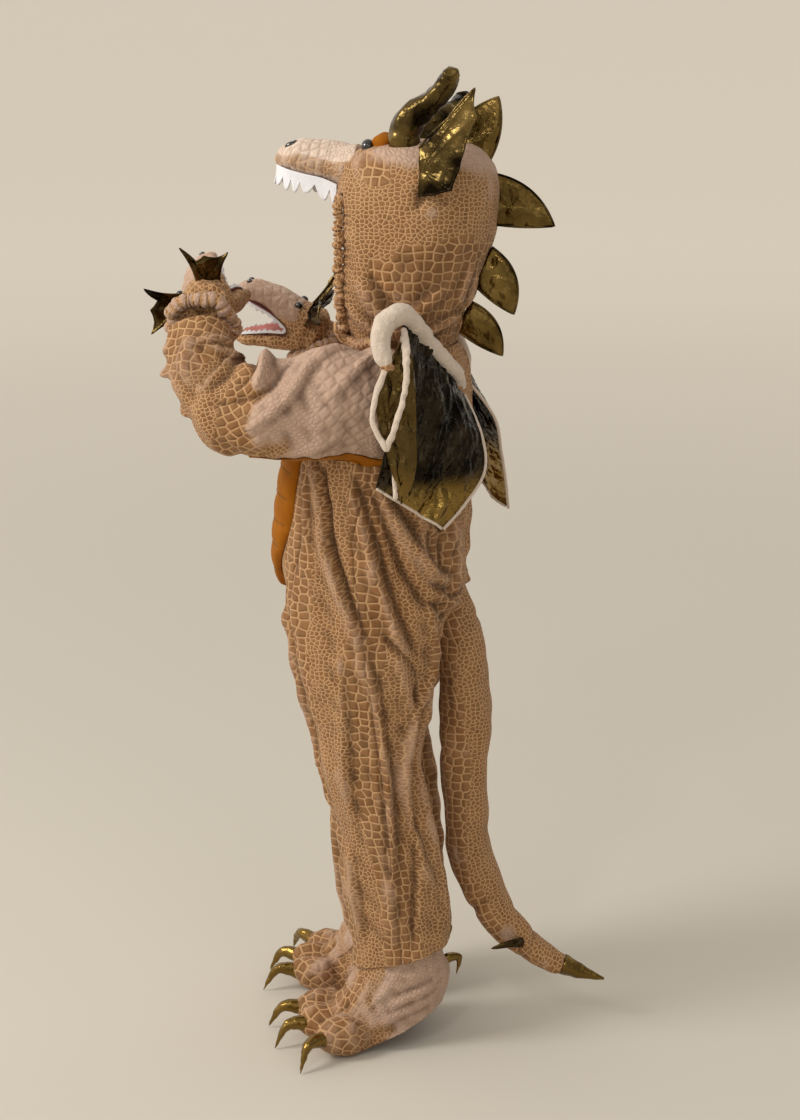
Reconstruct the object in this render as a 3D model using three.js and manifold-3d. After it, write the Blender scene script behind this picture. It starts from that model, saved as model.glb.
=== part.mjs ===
// Dragon costume for a child: hooded jumpsuit with hand puppets, folded wings, tail and shoe covers.
// Units are millimetres. +Z is up, the wearer faces -Y and the wearer's left is +X.
// The origin is the middle of the neck base, where the shoulders carry the suit.
import * as THREE from "three";
import Module from "manifold-3d";

const wasm = await Module();
wasm.setup();

// Shared sizes.
const WALL = 2.5;
const SEAM = 0.3;
const FELT = 1.4;
const TRIM = 0.35;
const FLOOR = -864;

// Colours.
const TAN = 0xa9784c;
const CREAM = 0xd9bfa6;
const GOLD = 0x4b4020;
const MUSTARD = 0xb8741f;
const WHITE = 0xf2f0ec;
const PINK = 0xc98274;
const BLACK = 0x0b0b0d;

// Small vector helpers.
const vec = (x, y, z) => new THREE.Vector3(x, y, z);
const mix = (a, b, t) => a + (b - a) * t;
const turn = (k, n) => (2 * Math.PI * k) / n;

function bell(distance, width) {
  return Math.exp(-(distance * distance) / (width * width));
}

// A row of a table at parameter t, with every column eased between its neighbours.
function rowAt(table, t) {
  const place = Math.min(Math.max(t, 0), 1) * (table.length - 1);
  const low = Math.min(Math.floor(place), table.length - 2);
  const part = place - low;
  const row = {};
  for (const key of Object.keys(table[0])) {
    const p0 = table[Math.max(low - 1, 0)][key];
    const p1 = table[low][key];
    const p2 = table[low + 1][key];
    const p3 = table[Math.min(low + 2, table.length - 1)][key];
    const c1 = (p2 - p0) / 2;
    const c2 = p0 - 2.5 * p1 + 2 * p2 - 0.5 * p3;
    const c3 = 1.5 * (p1 - p2) + 0.5 * (p3 - p0);
    row[key] = p1 + part * (c1 + part * (c2 + part * c3));
  }
  return row;
}

// The row of a table at a level z, where the z column falls from row to row.
function rowAtLevel(table, z) {
  let low = 0;
  while (low < table.length - 2 && z < table[low + 1].z) low += 1;
  const span = table[low + 1].z - table[low].z;
  const t = (low + (z - table[low].z) / span) / (table.length - 1);
  return rowAt(table, t);
}

// Mesh helpers.
// A body is a list of points and a list of triangles, both plain arrays.
function ringBody(rings) {
  const count = rings[0].length;
  const points = rings.flat();
  const faces = [];
  for (let i = 0; i + 1 < rings.length; i += 1) {
    for (let j = 0; j < count; j += 1) {
      const a = i * count + j;
      const b = i * count + ((j + 1) % count);
      const c = a + count;
      const d = b + count;
      faces.push([a, b, d], [a, d, c]);
    }
  }
  const first = points.length;
  points.push(middle(rings[0]));
  const last = points.length;
  points.push(middle(rings[rings.length - 1]));
  const base = (rings.length - 1) * count;
  for (let j = 0; j < count; j += 1) {
    const next = (j + 1) % count;
    faces.push([first, next, j], [last, base + j, base + next]);
  }
  return facingOut({ points, faces });
}

// A tube wall, open at both ends: outside rings, inside rings and two rims.
function wallBody(outside, inside) {
  const count = outside[0].length;
  const rows = outside.length;
  const points = [...outside.flat(), ...inside.flat()];
  const faces = [];
  const skip = rows * count;
  for (let i = 0; i + 1 < rows; i += 1) {
    for (let j = 0; j < count; j += 1) {
      const next = (j + 1) % count;
      const a = i * count + j;
      const b = i * count + next;
      faces.push([a, b, b + count], [a, b + count, a + count]);
      faces.push([skip + a, skip + b + count, skip + b], [skip + a, skip + a + count, skip + b + count]);
    }
  }
  const end = (rows - 1) * count;
  for (let j = 0; j < count; j += 1) {
    const next = (j + 1) % count;
    faces.push([j, skip + j, skip + next], [j, skip + next, next]);
    faces.push([end + j, end + next, skip + end + next], [end + j, skip + end + next, skip + end + j]);
  }
  return facingOut({ points, faces });
}

// A closed loop of rings, like a bent rope joined end to end.
function loopBody(rings) {
  const count = rings[0].length;
  const rows = rings.length;
  const points = rings.flat();
  const faces = [];
  for (let i = 0; i < rows; i += 1) {
    for (let j = 0; j < count; j += 1) {
      const next = (j + 1) % count;
      const a = i * count + j;
      const b = i * count + next;
      const c = ((i + 1) % rows) * count + j;
      const d = ((i + 1) % rows) * count + next;
      faces.push([a, b, d], [a, d, c]);
    }
  }
  return facingOut({ points, faces });
}

// A sheet between two grids of points that share their layout.
function sheetBody(front, back) {
  const rows = front.length;
  const cols = front[0].length;
  const points = [...front.flat(), ...back.flat()];
  const skip = rows * cols;
  const faces = [];
  const at = (i, j) => i * cols + j;
  for (let i = 0; i + 1 < rows; i += 1) {
    for (let j = 0; j + 1 < cols; j += 1) {
      faces.push([at(i, j), at(i, j + 1), at(i + 1, j + 1)], [at(i, j), at(i + 1, j + 1), at(i + 1, j)]);
      faces.push([skip + at(i, j), skip + at(i + 1, j + 1), skip + at(i, j + 1)]);
      faces.push([skip + at(i, j), skip + at(i + 1, j), skip + at(i + 1, j + 1)]);
    }
  }
  const rim = [];
  for (let j = 0; j < cols; j += 1) rim.push(at(0, j));
  for (let i = 1; i < rows; i += 1) rim.push(at(i, cols - 1));
  for (let j = cols - 2; j >= 0; j -= 1) rim.push(at(rows - 1, j));
  for (let i = rows - 2; i > 0; i -= 1) rim.push(at(i, 0));
  for (let k = 0; k < rim.length; k += 1) {
    const a = rim[k];
    const b = rim[(k + 1) % rim.length];
    faces.push([b, a, skip + a], [b, skip + a, skip + b]);
  }
  return facingOut({ points, faces });
}

// A flat outline given thickness on both sides of its plane.
function plateBody(outline, origin, across, upward, thick) {
  const flat = outline.map((p) => new THREE.Vector2(p[0], p[1]));
  if (THREE.ShapeUtils.area(flat) < 0) flat.reverse();
  const normal = across.clone().cross(upward).normalize();
  const place = (p, side) => origin.clone()
    .addScaledVector(across, p.x)
    .addScaledVector(upward, p.y)
    .addScaledVector(normal, side * thick / 2);
  const count = flat.length;
  const points = [...flat.map((p) => place(p, 1)), ...flat.map((p) => place(p, -1))];
  const faces = [];
  for (const [a, b, c] of THREE.ShapeUtils.triangulateShape(flat, [])) {
    faces.push([a, b, c], [count + a, count + c, count + b]);
  }
  for (let j = 0; j < count; j += 1) {
    const next = (j + 1) % count;
    faces.push([next, j, count + j], [next, count + j, count + next]);
  }
  return facingOut({ points, faces });
}

function middle(ring) {
  const sum = vec(0, 0, 0);
  for (const p of ring) sum.add(p);
  return sum.divideScalar(ring.length);
}

function volumeOf(body) {
  let sum = 0;
  for (const [a, b, c] of body.faces) {
    sum += body.points[a].dot(body.points[b].clone().cross(body.points[c])) / 6;
  }
  return sum;
}

function facingOut(body) {
  if (volumeOf(body) < 0) body.faces = body.faces.map(([a, b, c]) => [a, c, b]);
  return body;
}

// The same body with each point moved along the outward direction there.
function grown(body, step) {
  const push = body.points.map(() => vec(0, 0, 0));
  for (const [a, b, c] of body.faces) {
    const pa = body.points[a];
    const normal = body.points[b].clone().sub(pa).cross(body.points[c].clone().sub(pa));
    push[a].add(normal);
    push[b].add(normal);
    push[c].add(normal);
  }
  const points = body.points.map((p, i) => p.clone().addScaledVector(push[i].normalize(), step));
  return { points, faces: body.faces };
}

// The rings moved along their own outward direction, so a wall keeps its thickness.
function offsetRings(rings, step) {
  const count = rings[0].length;
  return rings.map((ring, i) => ring.map((p, j) => {
    const along = rings[Math.min(i + 1, rings.length - 1)][j].clone()
      .sub(rings[Math.max(i - 1, 0)][j]);
    const round = ring[(j + 1) % count].clone().sub(ring[(j + count - 1) % count]);
    const out = round.cross(along).normalize();
    if (out.dot(p.clone().sub(middle(ring))) < 0) out.negate();
    return p.clone().addScaledVector(out, step);
  }));
}

// Solids for joining and cutting.
function solid(body) {
  const vertProperties = new Float32Array(body.points.length * 3);
  body.points.forEach((p, i) => vertProperties.set([p.x, p.y, p.z], i * 3));
  const triVerts = new Uint32Array(body.faces.flat());
  const mesh = new wasm.Mesh({ numProp: 3, vertProperties, triVerts });
  return new wasm.Manifold(mesh);
}

function biggest(shape) {
  const parts = shape.decompose();
  parts.sort((a, b) => b.volume() - a.volume());
  return parts[0];
}

function bodyOf(shape) {
  const mesh = shape.getMesh();
  const points = [];
  for (let i = 0; i < mesh.vertProperties.length; i += mesh.numProp) {
    points.push(vec(mesh.vertProperties[i], mesh.vertProperties[i + 1], mesh.vertProperties[i + 2]));
  }
  const faces = [];
  for (let i = 0; i < mesh.triVerts.length; i += 3) {
    faces.push([mesh.triVerts[i], mesh.triVerts[i + 1], mesh.triVerts[i + 2]]);
  }
  return { points, faces };
}

function boxBody(low, high) {
  const ring = (z) => [
    vec(low.x, low.y, z), vec(high.x, low.y, z), vec(high.x, high.y, z), vec(low.x, high.y, z),
  ];
  return ringBody([ring(low.z), ring(high.z)]);
}

// A prism along X whose section is a polygon of y and z.
function prismBody(section, fromX, toX) {
  const outline = section.map((p) => [p.y, p.z]);
  const origin = vec((fromX + toX) / 2, 0, 0);
  return plateBody(outline, origin, vec(0, 1, 0), vec(0, 0, 1), toX - fromX);
}

// Jumpsuit.
// Levels of the trunk: half width, front and back, from neck to crotch.
const TRUNK = [
  { z: 16, half: 62, front: -72, back: 60 },
  { z: 2, half: 76, front: -78, back: 66 },
  { z: -18, half: 98, front: -92, back: 71 },
  { z: -50, half: 114, front: -116, back: 73 },
  { z: -95, half: 121, front: -132, back: 74 },
  { z: -143, half: 122, front: -143, back: 73 },
  { z: -200, half: 121, front: -151, back: 71 },
  { z: -255, half: 123, front: -154, back: 73 },
  { z: -300, half: 124, front: -143, back: 68 },
  { z: -335, half: 116, front: -129, back: 44 },
  { z: -380, half: 97, front: -106, back: 24 },
  { z: -418, half: 66, front: -82, back: 8 },
  { z: -436, half: 30, front: -52, back: -14 },
];
const TRUNK_RINGS = 13;
const TRUNK_POINTS = 24;
const TRUNK_POWER = 2.25;

// Levels of one leg, for the left side; the right leg mirrors x.
const LEG = [
  { z: -262, x: 62, y: -42, wide: 57, deep: 96 },
  { z: -300, x: 62, y: -42, wide: 60, deep: 98 },
  { z: -335, x: 62, y: -43, wide: 59, deep: 91 },
  { z: -375, x: 62, y: -42, wide: 58, deep: 83 },
  { z: -420, x: 61, y: -40, wide: 57, deep: 75 },
  { z: -460, x: 61, y: -40, wide: 55, deep: 64 },
  { z: -502, x: 61, y: -39, wide: 53, deep: 60 },
  { z: -555, x: 60, y: -28, wide: 51, deep: 61 },
  { z: -604, x: 60, y: -17, wide: 50, deep: 63 },
  { z: -650, x: 60, y: -9, wide: 50, deep: 64 },
  { z: -700, x: 60, y: -2, wide: 50, deep: 63 },
  { z: -748, x: 60, y: 1, wide: 51, deep: 61 },
];
const LEG_RINGS = 10;
const LEG_POINTS = 16;
// The right leg stands a little forward and out, more so towards the hem.
const RIGHT_STEP = { x: -16, y: -26, from: -320, to: -720 };
const HEM_DROP = 17;

// Drape folds: a soft trough along a line on one side of the suit, as y and z.
const FOLDS = [
  { side: 1, y0: -46, z0: -128, y1: 38, z1: -292, width: 15, depth: 8 },
  { side: 1, y0: -22, z0: -118, y1: 56, z1: -250, width: 13, depth: 6 },
  { side: 1, y0: -64, z0: -150, y1: 6, z1: -350, width: 15, depth: 7 },
  { side: 1, y0: -78, z0: -205, y1: -44, z1: -380, width: 14, depth: 6 },
  { side: 1, y0: -6, z0: -352, y1: -4, z1: -560, width: 15, depth: 6 },
  { side: 1, y0: -62, z0: -400, y1: -34, z1: -640, width: 15, depth: 5 },
  { side: 1, y0: 26, z0: -560, y1: 30, z1: -700, width: 14, depth: 6 },
  { side: -1, y0: -40, z0: -132, y1: 40, z1: -280, width: 15, depth: 7 },
  { side: -1, y0: -66, z0: -160, y1: 0, z1: -340, width: 15, depth: 7 },
  { side: -1, y0: -14, z0: -340, y1: -10, z1: -540, width: 15, depth: 6 },
  { side: -1, y0: 20, z0: -580, y1: 28, z1: -690, width: 14, depth: 6 },
];

function foldAt(p, outward) {
  let sum = 0;
  for (const fold of FOLDS) {
    const runY = fold.y1 - fold.y0;
    const runZ = fold.z1 - fold.z0;
    const long = Math.hypot(runY, runZ);
    const t = ((p.y - fold.y0) * runY + (p.z - fold.z0) * runZ) / (long * long);
    const inside = Math.min(Math.max(t, 0), 1);
    const away = Math.hypot(p.y - fold.y0 - inside * runY, p.z - fold.z0 - inside * runZ);
    const facing = Math.min(Math.max(outward.x * fold.side * 1.6, 0), 1);
    const ends = Math.sin(Math.PI * Math.min(Math.max(t, 0.06), 0.94));
    sum += fold.depth * bell(away, fold.width) * facing * Math.sqrt(ends);
  }
  return sum;
}

function creased(p, hub) {
  const outward = p.clone().sub(hub).setZ(0).normalize();
  return p.clone().addScaledVector(outward, -foldAt(p, outward));
}

function trunkPoint(angle, z) {
  const row = rowAtLevel(TRUNK, z);
  const c = Math.cos(angle);
  const s = Math.sin(angle);
  const power = 2 / TRUNK_POWER;
  const mid = (row.front + row.back) / 2;
  const deep = (row.back - row.front) / 2;
  const x = row.half * Math.sign(c) * Math.abs(c) ** power;
  const y = mid + deep * Math.sign(s) * Math.abs(s) ** power;
  return creased(vec(x, y, z), vec(0, mid, z));
}

function trunkRings() {
  const rings = [];
  const top = TRUNK[0].z;
  const low = TRUNK[TRUNK.length - 1].z;
  for (let i = 0; i < TRUNK_RINGS; i += 1) {
    const t = i / (TRUNK_RINGS - 1);
    const z = mix(top, low, mix(t, t * t * (3 - 2 * t), 0.5));
    const ring = [];
    for (let j = 0; j < TRUNK_POINTS; j += 1) ring.push(trunkPoint(turn(j, TRUNK_POINTS), z));
    rings.push(ring);
  }
  return rings;
}

function legRings(side) {
  const rings = [];
  for (let i = 0; i < LEG_RINGS; i += 1) {
    const t = i / (LEG_RINGS - 1);
    const row = rowAt(LEG, t);
    const drop = HEM_DROP * Math.max(0, (t - 0.8) / 0.2);
    const share = Math.min(Math.max((RIGHT_STEP.from - row.z) / (RIGHT_STEP.from - RIGHT_STEP.to), 0), 1);
    const step = side < 0 ? share : 0;
    const hub = vec(side * row.x + step * RIGHT_STEP.x, row.y + step * RIGHT_STEP.y, row.z);
    const ring = [];
    for (let j = 0; j < LEG_POINTS; j += 1) {
      const a = turn(j, LEG_POINTS);
      const c = Math.cos(a);
      const s = Math.sin(a);
      const x = hub.x + row.wide * Math.sign(c) * Math.abs(c) ** (2 / TRUNK_POWER);
      const y = hub.y + row.deep * Math.sign(s) * Math.abs(s) ** (2 / TRUNK_POWER);
      ring.push(creased(vec(x, y, row.z + drop * s), hub));
    }
    rings.push(ring);
  }
  return rings;
}

// The rings of the hollow inside a wall, run on past its open ends.
function hollowRings(rings, startRun, endRun) {
  const inside = offsetRings(rings, -WALL);
  const last = rings.length - 1;
  if (startRun > 0) {
    const way = middle(inside[0]).sub(middle(inside[1])).normalize();
    inside.unshift(inside[0].map((p) => p.clone().addScaledVector(way, startRun)));
  }
  if (endRun > 0) {
    const end = startRun > 0 ? last + 1 : last;
    const way = middle(inside[end]).sub(middle(inside[end - 1])).normalize();
    inside.push(inside[end].map((p) => p.clone().addScaledVector(way, endRun)));
  }
  return inside;
}

// Sleeves.
// A limb is a row of sections: middle, half width sideways and half depth.
const LEFT_UPPER_ARM = [
  { x: 50, y: 16, z: -48, wide: 42, deep: 52 },
  { x: 92, y: -12, z: -43, wide: 46, deep: 65 },
  { x: 122, y: -54, z: -37, wide: 45, deep: 65 },
  { x: 134, y: -104, z: -38, wide: 44, deep: 62 },
  { x: 137, y: -150, z: -43, wide: 44, deep: 57 },
  { x: 131, y: -194, z: -48, wide: 42, deep: 49 },
  { x: 127, y: -222, z: -52, wide: 33, deep: 37 },
  { x: 126, y: -236, z: -54, wide: 16, deep: 18 },
];
const LEFT_FOREARM = [
  { x: 126, y: -200, z: -48, wide: 30, deep: 32 },
  { x: 119, y: -214, z: -30, wide: 37, deep: 39 },
  { x: 108, y: -226, z: -4, wide: 38, deep: 40 },
  { x: 96, y: -232, z: 14, wide: 37, deep: 39 },
  { x: 79, y: -237, z: 37, wide: 36, deep: 38 },
];
const RIGHT_UPPER_ARM = [
  { x: -50, y: 16, z: -50, wide: 42, deep: 52 },
  { x: -92, y: -8, z: -52, wide: 46, deep: 63 },
  { x: -120, y: -38, z: -68, wide: 45, deep: 60 },
  { x: -134, y: -66, z: -88, wide: 43, deep: 52 },
  { x: -138, y: -84, z: -102, wide: 34, deep: 40 },
  { x: -139, y: -94, z: -110, wide: 16, deep: 18 },
];
const RIGHT_FOREARM = [
  { x: -138, y: -72, z: -92, wide: 30, deep: 31 },
  { x: -133, y: -90, z: -80, wide: 38, deep: 39 },
  { x: -124, y: -108, z: -60, wide: 38, deep: 39 },
  { x: -116, y: -118, z: -44, wide: 36, deep: 38 },
  { x: -110, y: -124, z: -32, wide: 34, deep: 36 },
];
const ARM_POINTS = 12;

// Rings square to a path of sections, with the side axis carried along the path.
function pathRings(table, steps, count, side) {
  const rings = [];
  let sideways = side.clone();
  for (let i = 0; i <= steps; i += 1) {
    const t = i / steps;
    const row = rowAt(table, t);
    const ahead = rowAt(table, Math.min(t + 0.02, 1));
    const behind = rowAt(table, Math.max(t - 0.02, 0));
    const way = vec(ahead.x - behind.x, ahead.y - behind.y, ahead.z - behind.z).normalize();
    sideways = sideways.clone().addScaledVector(way, -sideways.dot(way)).normalize();
    const upward = way.clone().cross(sideways).normalize();
    const ring = [];
    for (let j = 0; j < count; j += 1) {
      const a = turn(j, count);
      const rise = Math.sin(a) > 0 || row.low === undefined ? row.deep : row.low;
      ring.push(vec(row.x, row.y, row.z)
        .addScaledVector(sideways, row.wide * Math.cos(a))
        .addScaledVector(upward, rise * Math.sin(a)));
    }
    rings.push(ring);
  }
  return rings;
}

function sleeveSolids(upper, fore, upperSteps, foreSteps) {
  const side = vec(1, 0, 0);
  const upperRings = pathRings(upper, upperSteps, ARM_POINTS, side);
  const foreRings = pathRings(fore, foreSteps, ARM_POINTS, side);
  const full = solid(ringBody(upperRings)).add(solid(ringBody(foreRings)));
  const hollow = solid(ringBody(hollowRings(upperRings, 0, 0)))
    .add(solid(ringBody(hollowRings(foreRings, 0, 14))));
  return { full, hollow };
}

// Body panels.
const SIDE_SEAM = [
  { y: -8, z: 60 },
  { y: -12, z: -60 },
  { y: -50, z: -201 },
  { y: 9, z: -740 },
  { y: 12, z: -800 },
];

function rearRegion(shift) {
  const section = SIDE_SEAM.map((p) => ({ y: p.y + shift, z: p.z }));
  section.push({ y: 400, z: -800 }, { y: 400, z: 60 });
  return solid(prismBody(section, -400, 400));
}

function sideRegion(side, shift) {
  const low = vec(side > 0 ? shift : -400, -400, -900);
  const high = vec(side > 0 ? 400 : -shift, 400, 100);
  return solid(boxBody(low, high));
}

function suitPanels() {
  const trunk = trunkRings();
  const left = legRings(1);
  const right = legRings(-1);
  const trunkFull = solid(ringBody(trunk));
  const trunkHollow = solid(ringBody(hollowRings(trunk, 20, 0)));
  const full = trunkFull.add(solid(ringBody(left))).add(solid(ringBody(right)));
  const hollow = trunkHollow
    .add(solid(ringBody(hollowRings(left, 0, 16))))
    .add(solid(ringBody(hollowRings(right, 0, 16))));
  const armLeft = sleeveSolids(LEFT_UPPER_ARM, LEFT_FOREARM, 8, 4);
  const armRight = sleeveSolids(RIGHT_UPPER_ARM, RIGHT_FOREARM, 6, 4);
  const shell = full.subtract(hollow).subtract(armLeft.hollow).subtract(armRight.hollow);
  const trunkGrown = solid(grown(ringBody(trunk), SEAM));
  const rear = rearRegion(SEAM / 2);
  const fore = rearRegion(-SEAM / 2);
  const panels = {};
  for (const [word, side] of [["left", 1], ["right", -1]]) {
    const half = shell.intersect(sideRegion(side, SEAM / 2));
    panels[`suit_front_${word}`] = biggest(half.subtract(fore));
    panels[`suit_back_${word}`] = biggest(half.intersect(rear));
  }
  panels.sleeve_left = biggest(armLeft.full.subtract(armLeft.hollow).subtract(trunkGrown));
  panels.sleeve_right = biggest(armRight.full.subtract(armRight.hollow).subtract(trunkGrown));
  const hem = {
    left: wallBody(left, offsetRings(left, -WALL)),
    right: wallBody(right, offsetRings(right, -WALL)),
  };
  return { panels, full, armLeft, armRight, hem };
}

// Head form.
const HEAD_ROLL = 7;
const ROLL_FOOT = 30;
const ROLL_TOP = 110;

// The head leans to the wearer's right; the lean grows from the neck up.
function leaned(body) {
  const points = body.points.map((p) => {
    const share = Math.min(Math.max((p.z - ROLL_FOOT) / (ROLL_TOP - ROLL_FOOT), 0), 1);
    const a = -share * HEAD_ROLL * Math.PI / 180;
    const rise = p.z - ROLL_FOOT;
    const x = p.x * Math.cos(a) + rise * Math.sin(a);
    const z = ROLL_FOOT - p.x * Math.sin(a) + rise * Math.cos(a);
    return vec(x, p.y, z);
  });
  return { points, faces: body.faces };
}

const HOOD = [
  { z: 252, half: 22, front: -14, back: 46 },
  { z: 249, half: 48, front: -44, back: 68 },
  { z: 240, half: 72, front: -66, back: 86 },
  { z: 222, half: 88, front: -80, back: 99 },
  { z: 196, half: 96, front: -86, back: 105 },
  { z: 167, half: 98, front: -88, back: 105 },
  { z: 137, half: 96, front: -88, back: 100 },
  { z: 102, half: 88, front: -86, back: 86 },
  { z: 65, half: 76, front: -80, back: 74 },
  { z: 36, half: 63, front: -73, back: 62 },
  { z: 15, half: 59.8, front: -69.8, back: 57.6 },
  { z: 0, half: 58, front: -68, back: 55 },
];
const HOOD_EASE = 0.92;
const HOOD_RINGS = 11;
const HOOD_POINTS = 24;
const FACE = { y: -70, low: 20, high: 188 };

function hoodRings() {
  const rings = [];
  for (let i = 0; i < HOOD_RINGS; i += 1) {
    const row = rowAt(HOOD, i / (HOOD_RINGS - 1));
    const mid = (row.front + row.back) / 2;
    const deep = (row.back - row.front) / 2;
    const ring = [];
    for (let j = 0; j < HOOD_POINTS; j += 1) {
      const a = turn(j, HOOD_POINTS);
      const c = Math.cos(a);
      const s = Math.sin(a);
      const x = row.half * Math.sign(c) * Math.abs(c) ** HOOD_EASE;
      const y = mid + deep * Math.sign(s) * Math.abs(s) ** HOOD_EASE;
      ring.push(vec(x, y, row.z));
    }
    rings.push(ring);
  }
  return rings;
}

// Half width of the face opening at a level, where the hood meets the plane of its front edge.
function faceHalf(z) {
  const row = rowAtLevel(HOOD, z);
  const mid = (row.front + row.back) / 2;
  const deep = (row.back - row.front) / 2;
  const s = Math.min(1, (mid - FACE.y) / deep) ** (1 / HOOD_EASE);
  return row.half * Math.sqrt(1 - s * s) ** HOOD_EASE;
}

const hoodOuter = ringBody(hoodRings());
const hoodFull = solid(leaned(hoodOuter));
const hoodGrown = solid(leaned(grown(hoodOuter, SEAM)));

// Parts list.
const group = new THREE.Group();
group.name = "dragon_costume";

function addBody(name, body, colour, metal) {
  const geometry = new THREE.BufferGeometry();
  geometry.setAttribute("position",
    new THREE.Float32BufferAttribute(body.points.flatMap((p) => [p.x, p.y, p.z]), 3));
  geometry.setIndex(body.faces.flat());
  geometry.computeVertexNormals();
  const material = new THREE.MeshStandardMaterial({
    color: colour,
    roughness: metal ? 0.35 : 0.85,
    metalness: metal ? 0.9 : 0,
    name: `${name}_material`,
  });
  const mesh = new THREE.Mesh(geometry, material);
  mesh.name = name;
  group.add(mesh);
}

function addSolid(name, shape, colour, metal = false) {
  addBody(name, bodyOf(biggest(shape.simplify(TRIM))), colour, metal);
}

const suit = suitPanels();
for (const [name, shape] of Object.entries(suit.panels)) addSolid(name, shape.subtract(hoodGrown), TAN);

// Belly panel and collar.
const BELLY = { top: -6, bottom: -297, half: 66, channels: 9, thin: 3, thick: 11 };
const BELLY_ROWS = 18;
const BELLY_COLUMNS = 6;

// Half width of the pointed oval at a share of its height.
function bellyHalf(t) {
  const low = Math.min(1, (1 - t) / 0.42);
  return BELLY.half * Math.min(1, 0.55 + t * 2.4) * Math.sin(low * Math.PI / 2) ** 0.8;
}

function bellyPanel() {
  const under = [];
  const over = [];
  for (let i = 0; i <= BELLY_ROWS; i += 1) {
    const t = mix(0.001, 0.985, i / BELLY_ROWS);
    const z = mix(BELLY.top, BELLY.bottom, t);
    const row = rowAtLevel(TRUNK, z);
    const half = bellyHalf(t);
    const puff = (BELLY.thick - BELLY.thin) * Math.abs(Math.sin(Math.PI * BELLY.channels * t));
    const low = [];
    const high = [];
    for (let j = 0; j <= BELLY_COLUMNS; j += 1) {
      const u = mix(-1, 1, j / BELLY_COLUMNS);
      const spread = Math.min(0.98, Math.abs(u) * half / row.half);
      const angle = -Math.PI / 2 + Math.sign(u) * Math.asin(spread ** (TRUNK_POWER / 2));
      const p = trunkPoint(angle, z);
      const out = p.clone().sub(vec(0, (row.front + row.back) / 2, z)).setZ(0).normalize();
      const rim = Math.sqrt(Math.max(0, 1 - u * u));
      low.push(p.clone().addScaledVector(out, SEAM + 0.5));
      high.push(p.clone().addScaledVector(out, SEAM + 0.5 + BELLY.thin + puff * rim));
    }
    under.push(low);
    over.push(high);
  }
  return solid(sheetBody(over, under)).subtract(solid(grown(bodyOf(suit.full), SEAM)));
}
addSolid("belly_panel", biggest(bellyPanel()), MUSTARD);

const COLLAR = { half: 66, front: -80, y: -8, radius: 8, low: 17, high: 27, waves: 18 };

function collarRoll() {
  const rings = [];
  const steps = 14;
  for (let i = 0; i <= steps; i += 1) {
    const a = mix(-172, -8, i / steps) * Math.PI / 180;
    const reach = 1 + 0.02 * Math.sin(COLLAR.waves * a);
    const x = COLLAR.half * Math.cos(a) * reach;
    const y = COLLAR.y + (COLLAR.y - COLLAR.front) * Math.sin(a) * reach;
    const hub = vec(x, y, mix(COLLAR.high, COLLAR.low, Math.abs(Math.sin(a))));
    const out = vec(Math.cos(a), Math.sin(a), 0);
    const close = Math.min(1, 4 * Math.min(i, steps - i) / steps + 0.35);
    const ring = [];
    for (let j = 0; j < 5; j += 1) {
      const b = turn(j, 5);
      ring.push(hub.clone().addScaledVector(out, COLLAR.radius * close * Math.cos(b))
        .add(vec(0, 0, COLLAR.radius * close * Math.sin(b))));
    }
    rings.push(ring);
  }
  return solid(ringBody(rings));
}

// Hood halves.
function hoodHalves() {
  const rings = hoodRings();
  const inside = offsetRings(rings, -WALL);
  const low = inside[inside.length - 1];
  inside.push(low.map((p) => p.clone().setZ(p.z - 12)));
  const cap = inside[0].map((p) => p.clone().setZ(p.z - 0.6 * WALL));
  inside[0] = cap;
  const window = boxBody(vec(-140, -300, FACE.low), vec(140, FACE.y, FACE.high));
  const shell = solid(ringBody(rings)).subtract(solid(ringBody(inside))).subtract(solid(window));
  const parts = {};
  for (const [word, side] of [["left", 1], ["right", -1]]) {
    const corner = vec(side > 0 ? SEAM / 2 : -300, -300, -100);
    const opposite = vec(side > 0 ? 300 : -SEAM / 2, 300, 400);
    parts[`hood_${word}`] = biggest(shell.intersect(solid(boxBody(corner, opposite))));
  }
  return parts;
}
const hoodParts = hoodHalves();
for (const [name, shape] of Object.entries(hoodParts)) {
  addSolid(name, solid(leaned(bodyOf(shape))), TAN);
}

// The gathered casing that runs round the face opening.
const CASING = { radius: 5, swell: 1.5, waves: 16, steps: 32, low: 42, high: 180, inset: 1.5 };

function casingPath() {
  const side = [];
  for (let k = 0; k <= 5; k += 1) {
    const z = mix(CASING.low, CASING.high, k / 5);
    side.push(vec(faceHalf(z) - CASING.inset, 0, z));
  }
  const top = [vec(40, 0, CASING.high + 5), vec(0, 0, CASING.high + 5), vec(-40, 0, CASING.high + 5)];
  const back = side.map((p) => vec(-p.x, 0, p.z)).reverse();
  const chin = [vec(-12, 0, CASING.low - 5), vec(12, 0, CASING.low - 5)];
  return new THREE.CatmullRomCurve3([...side, ...top, ...back, ...chin], true, "centripetal");
}

function faceCasing() {
  const curve = casingPath();
  const rings = [];
  for (let i = 0; i < CASING.steps; i += 1) {
    const p = curve.getPointAt(i / CASING.steps);
    const way = curve.getTangentAt(i / CASING.steps);
    const out = vec(way.z, 0, -way.x).normalize();
    const swell = CASING.radius + (i % 2 === 0 ? CASING.swell : -CASING.swell);
    const hub = vec(p.x, FACE.y - CASING.radius - 0.8, p.z);
    const ring = [];
    for (let j = 0; j < 5; j += 1) {
      const b = turn(j, 5);
      ring.push(hub.clone()
        .addScaledVector(out, swell * Math.cos(b))
        .add(vec(0, swell * Math.sin(b), 0)));
    }
    rings.push(ring);
  }
  return solid(leaned(loopBody(rings)));
}

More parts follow.
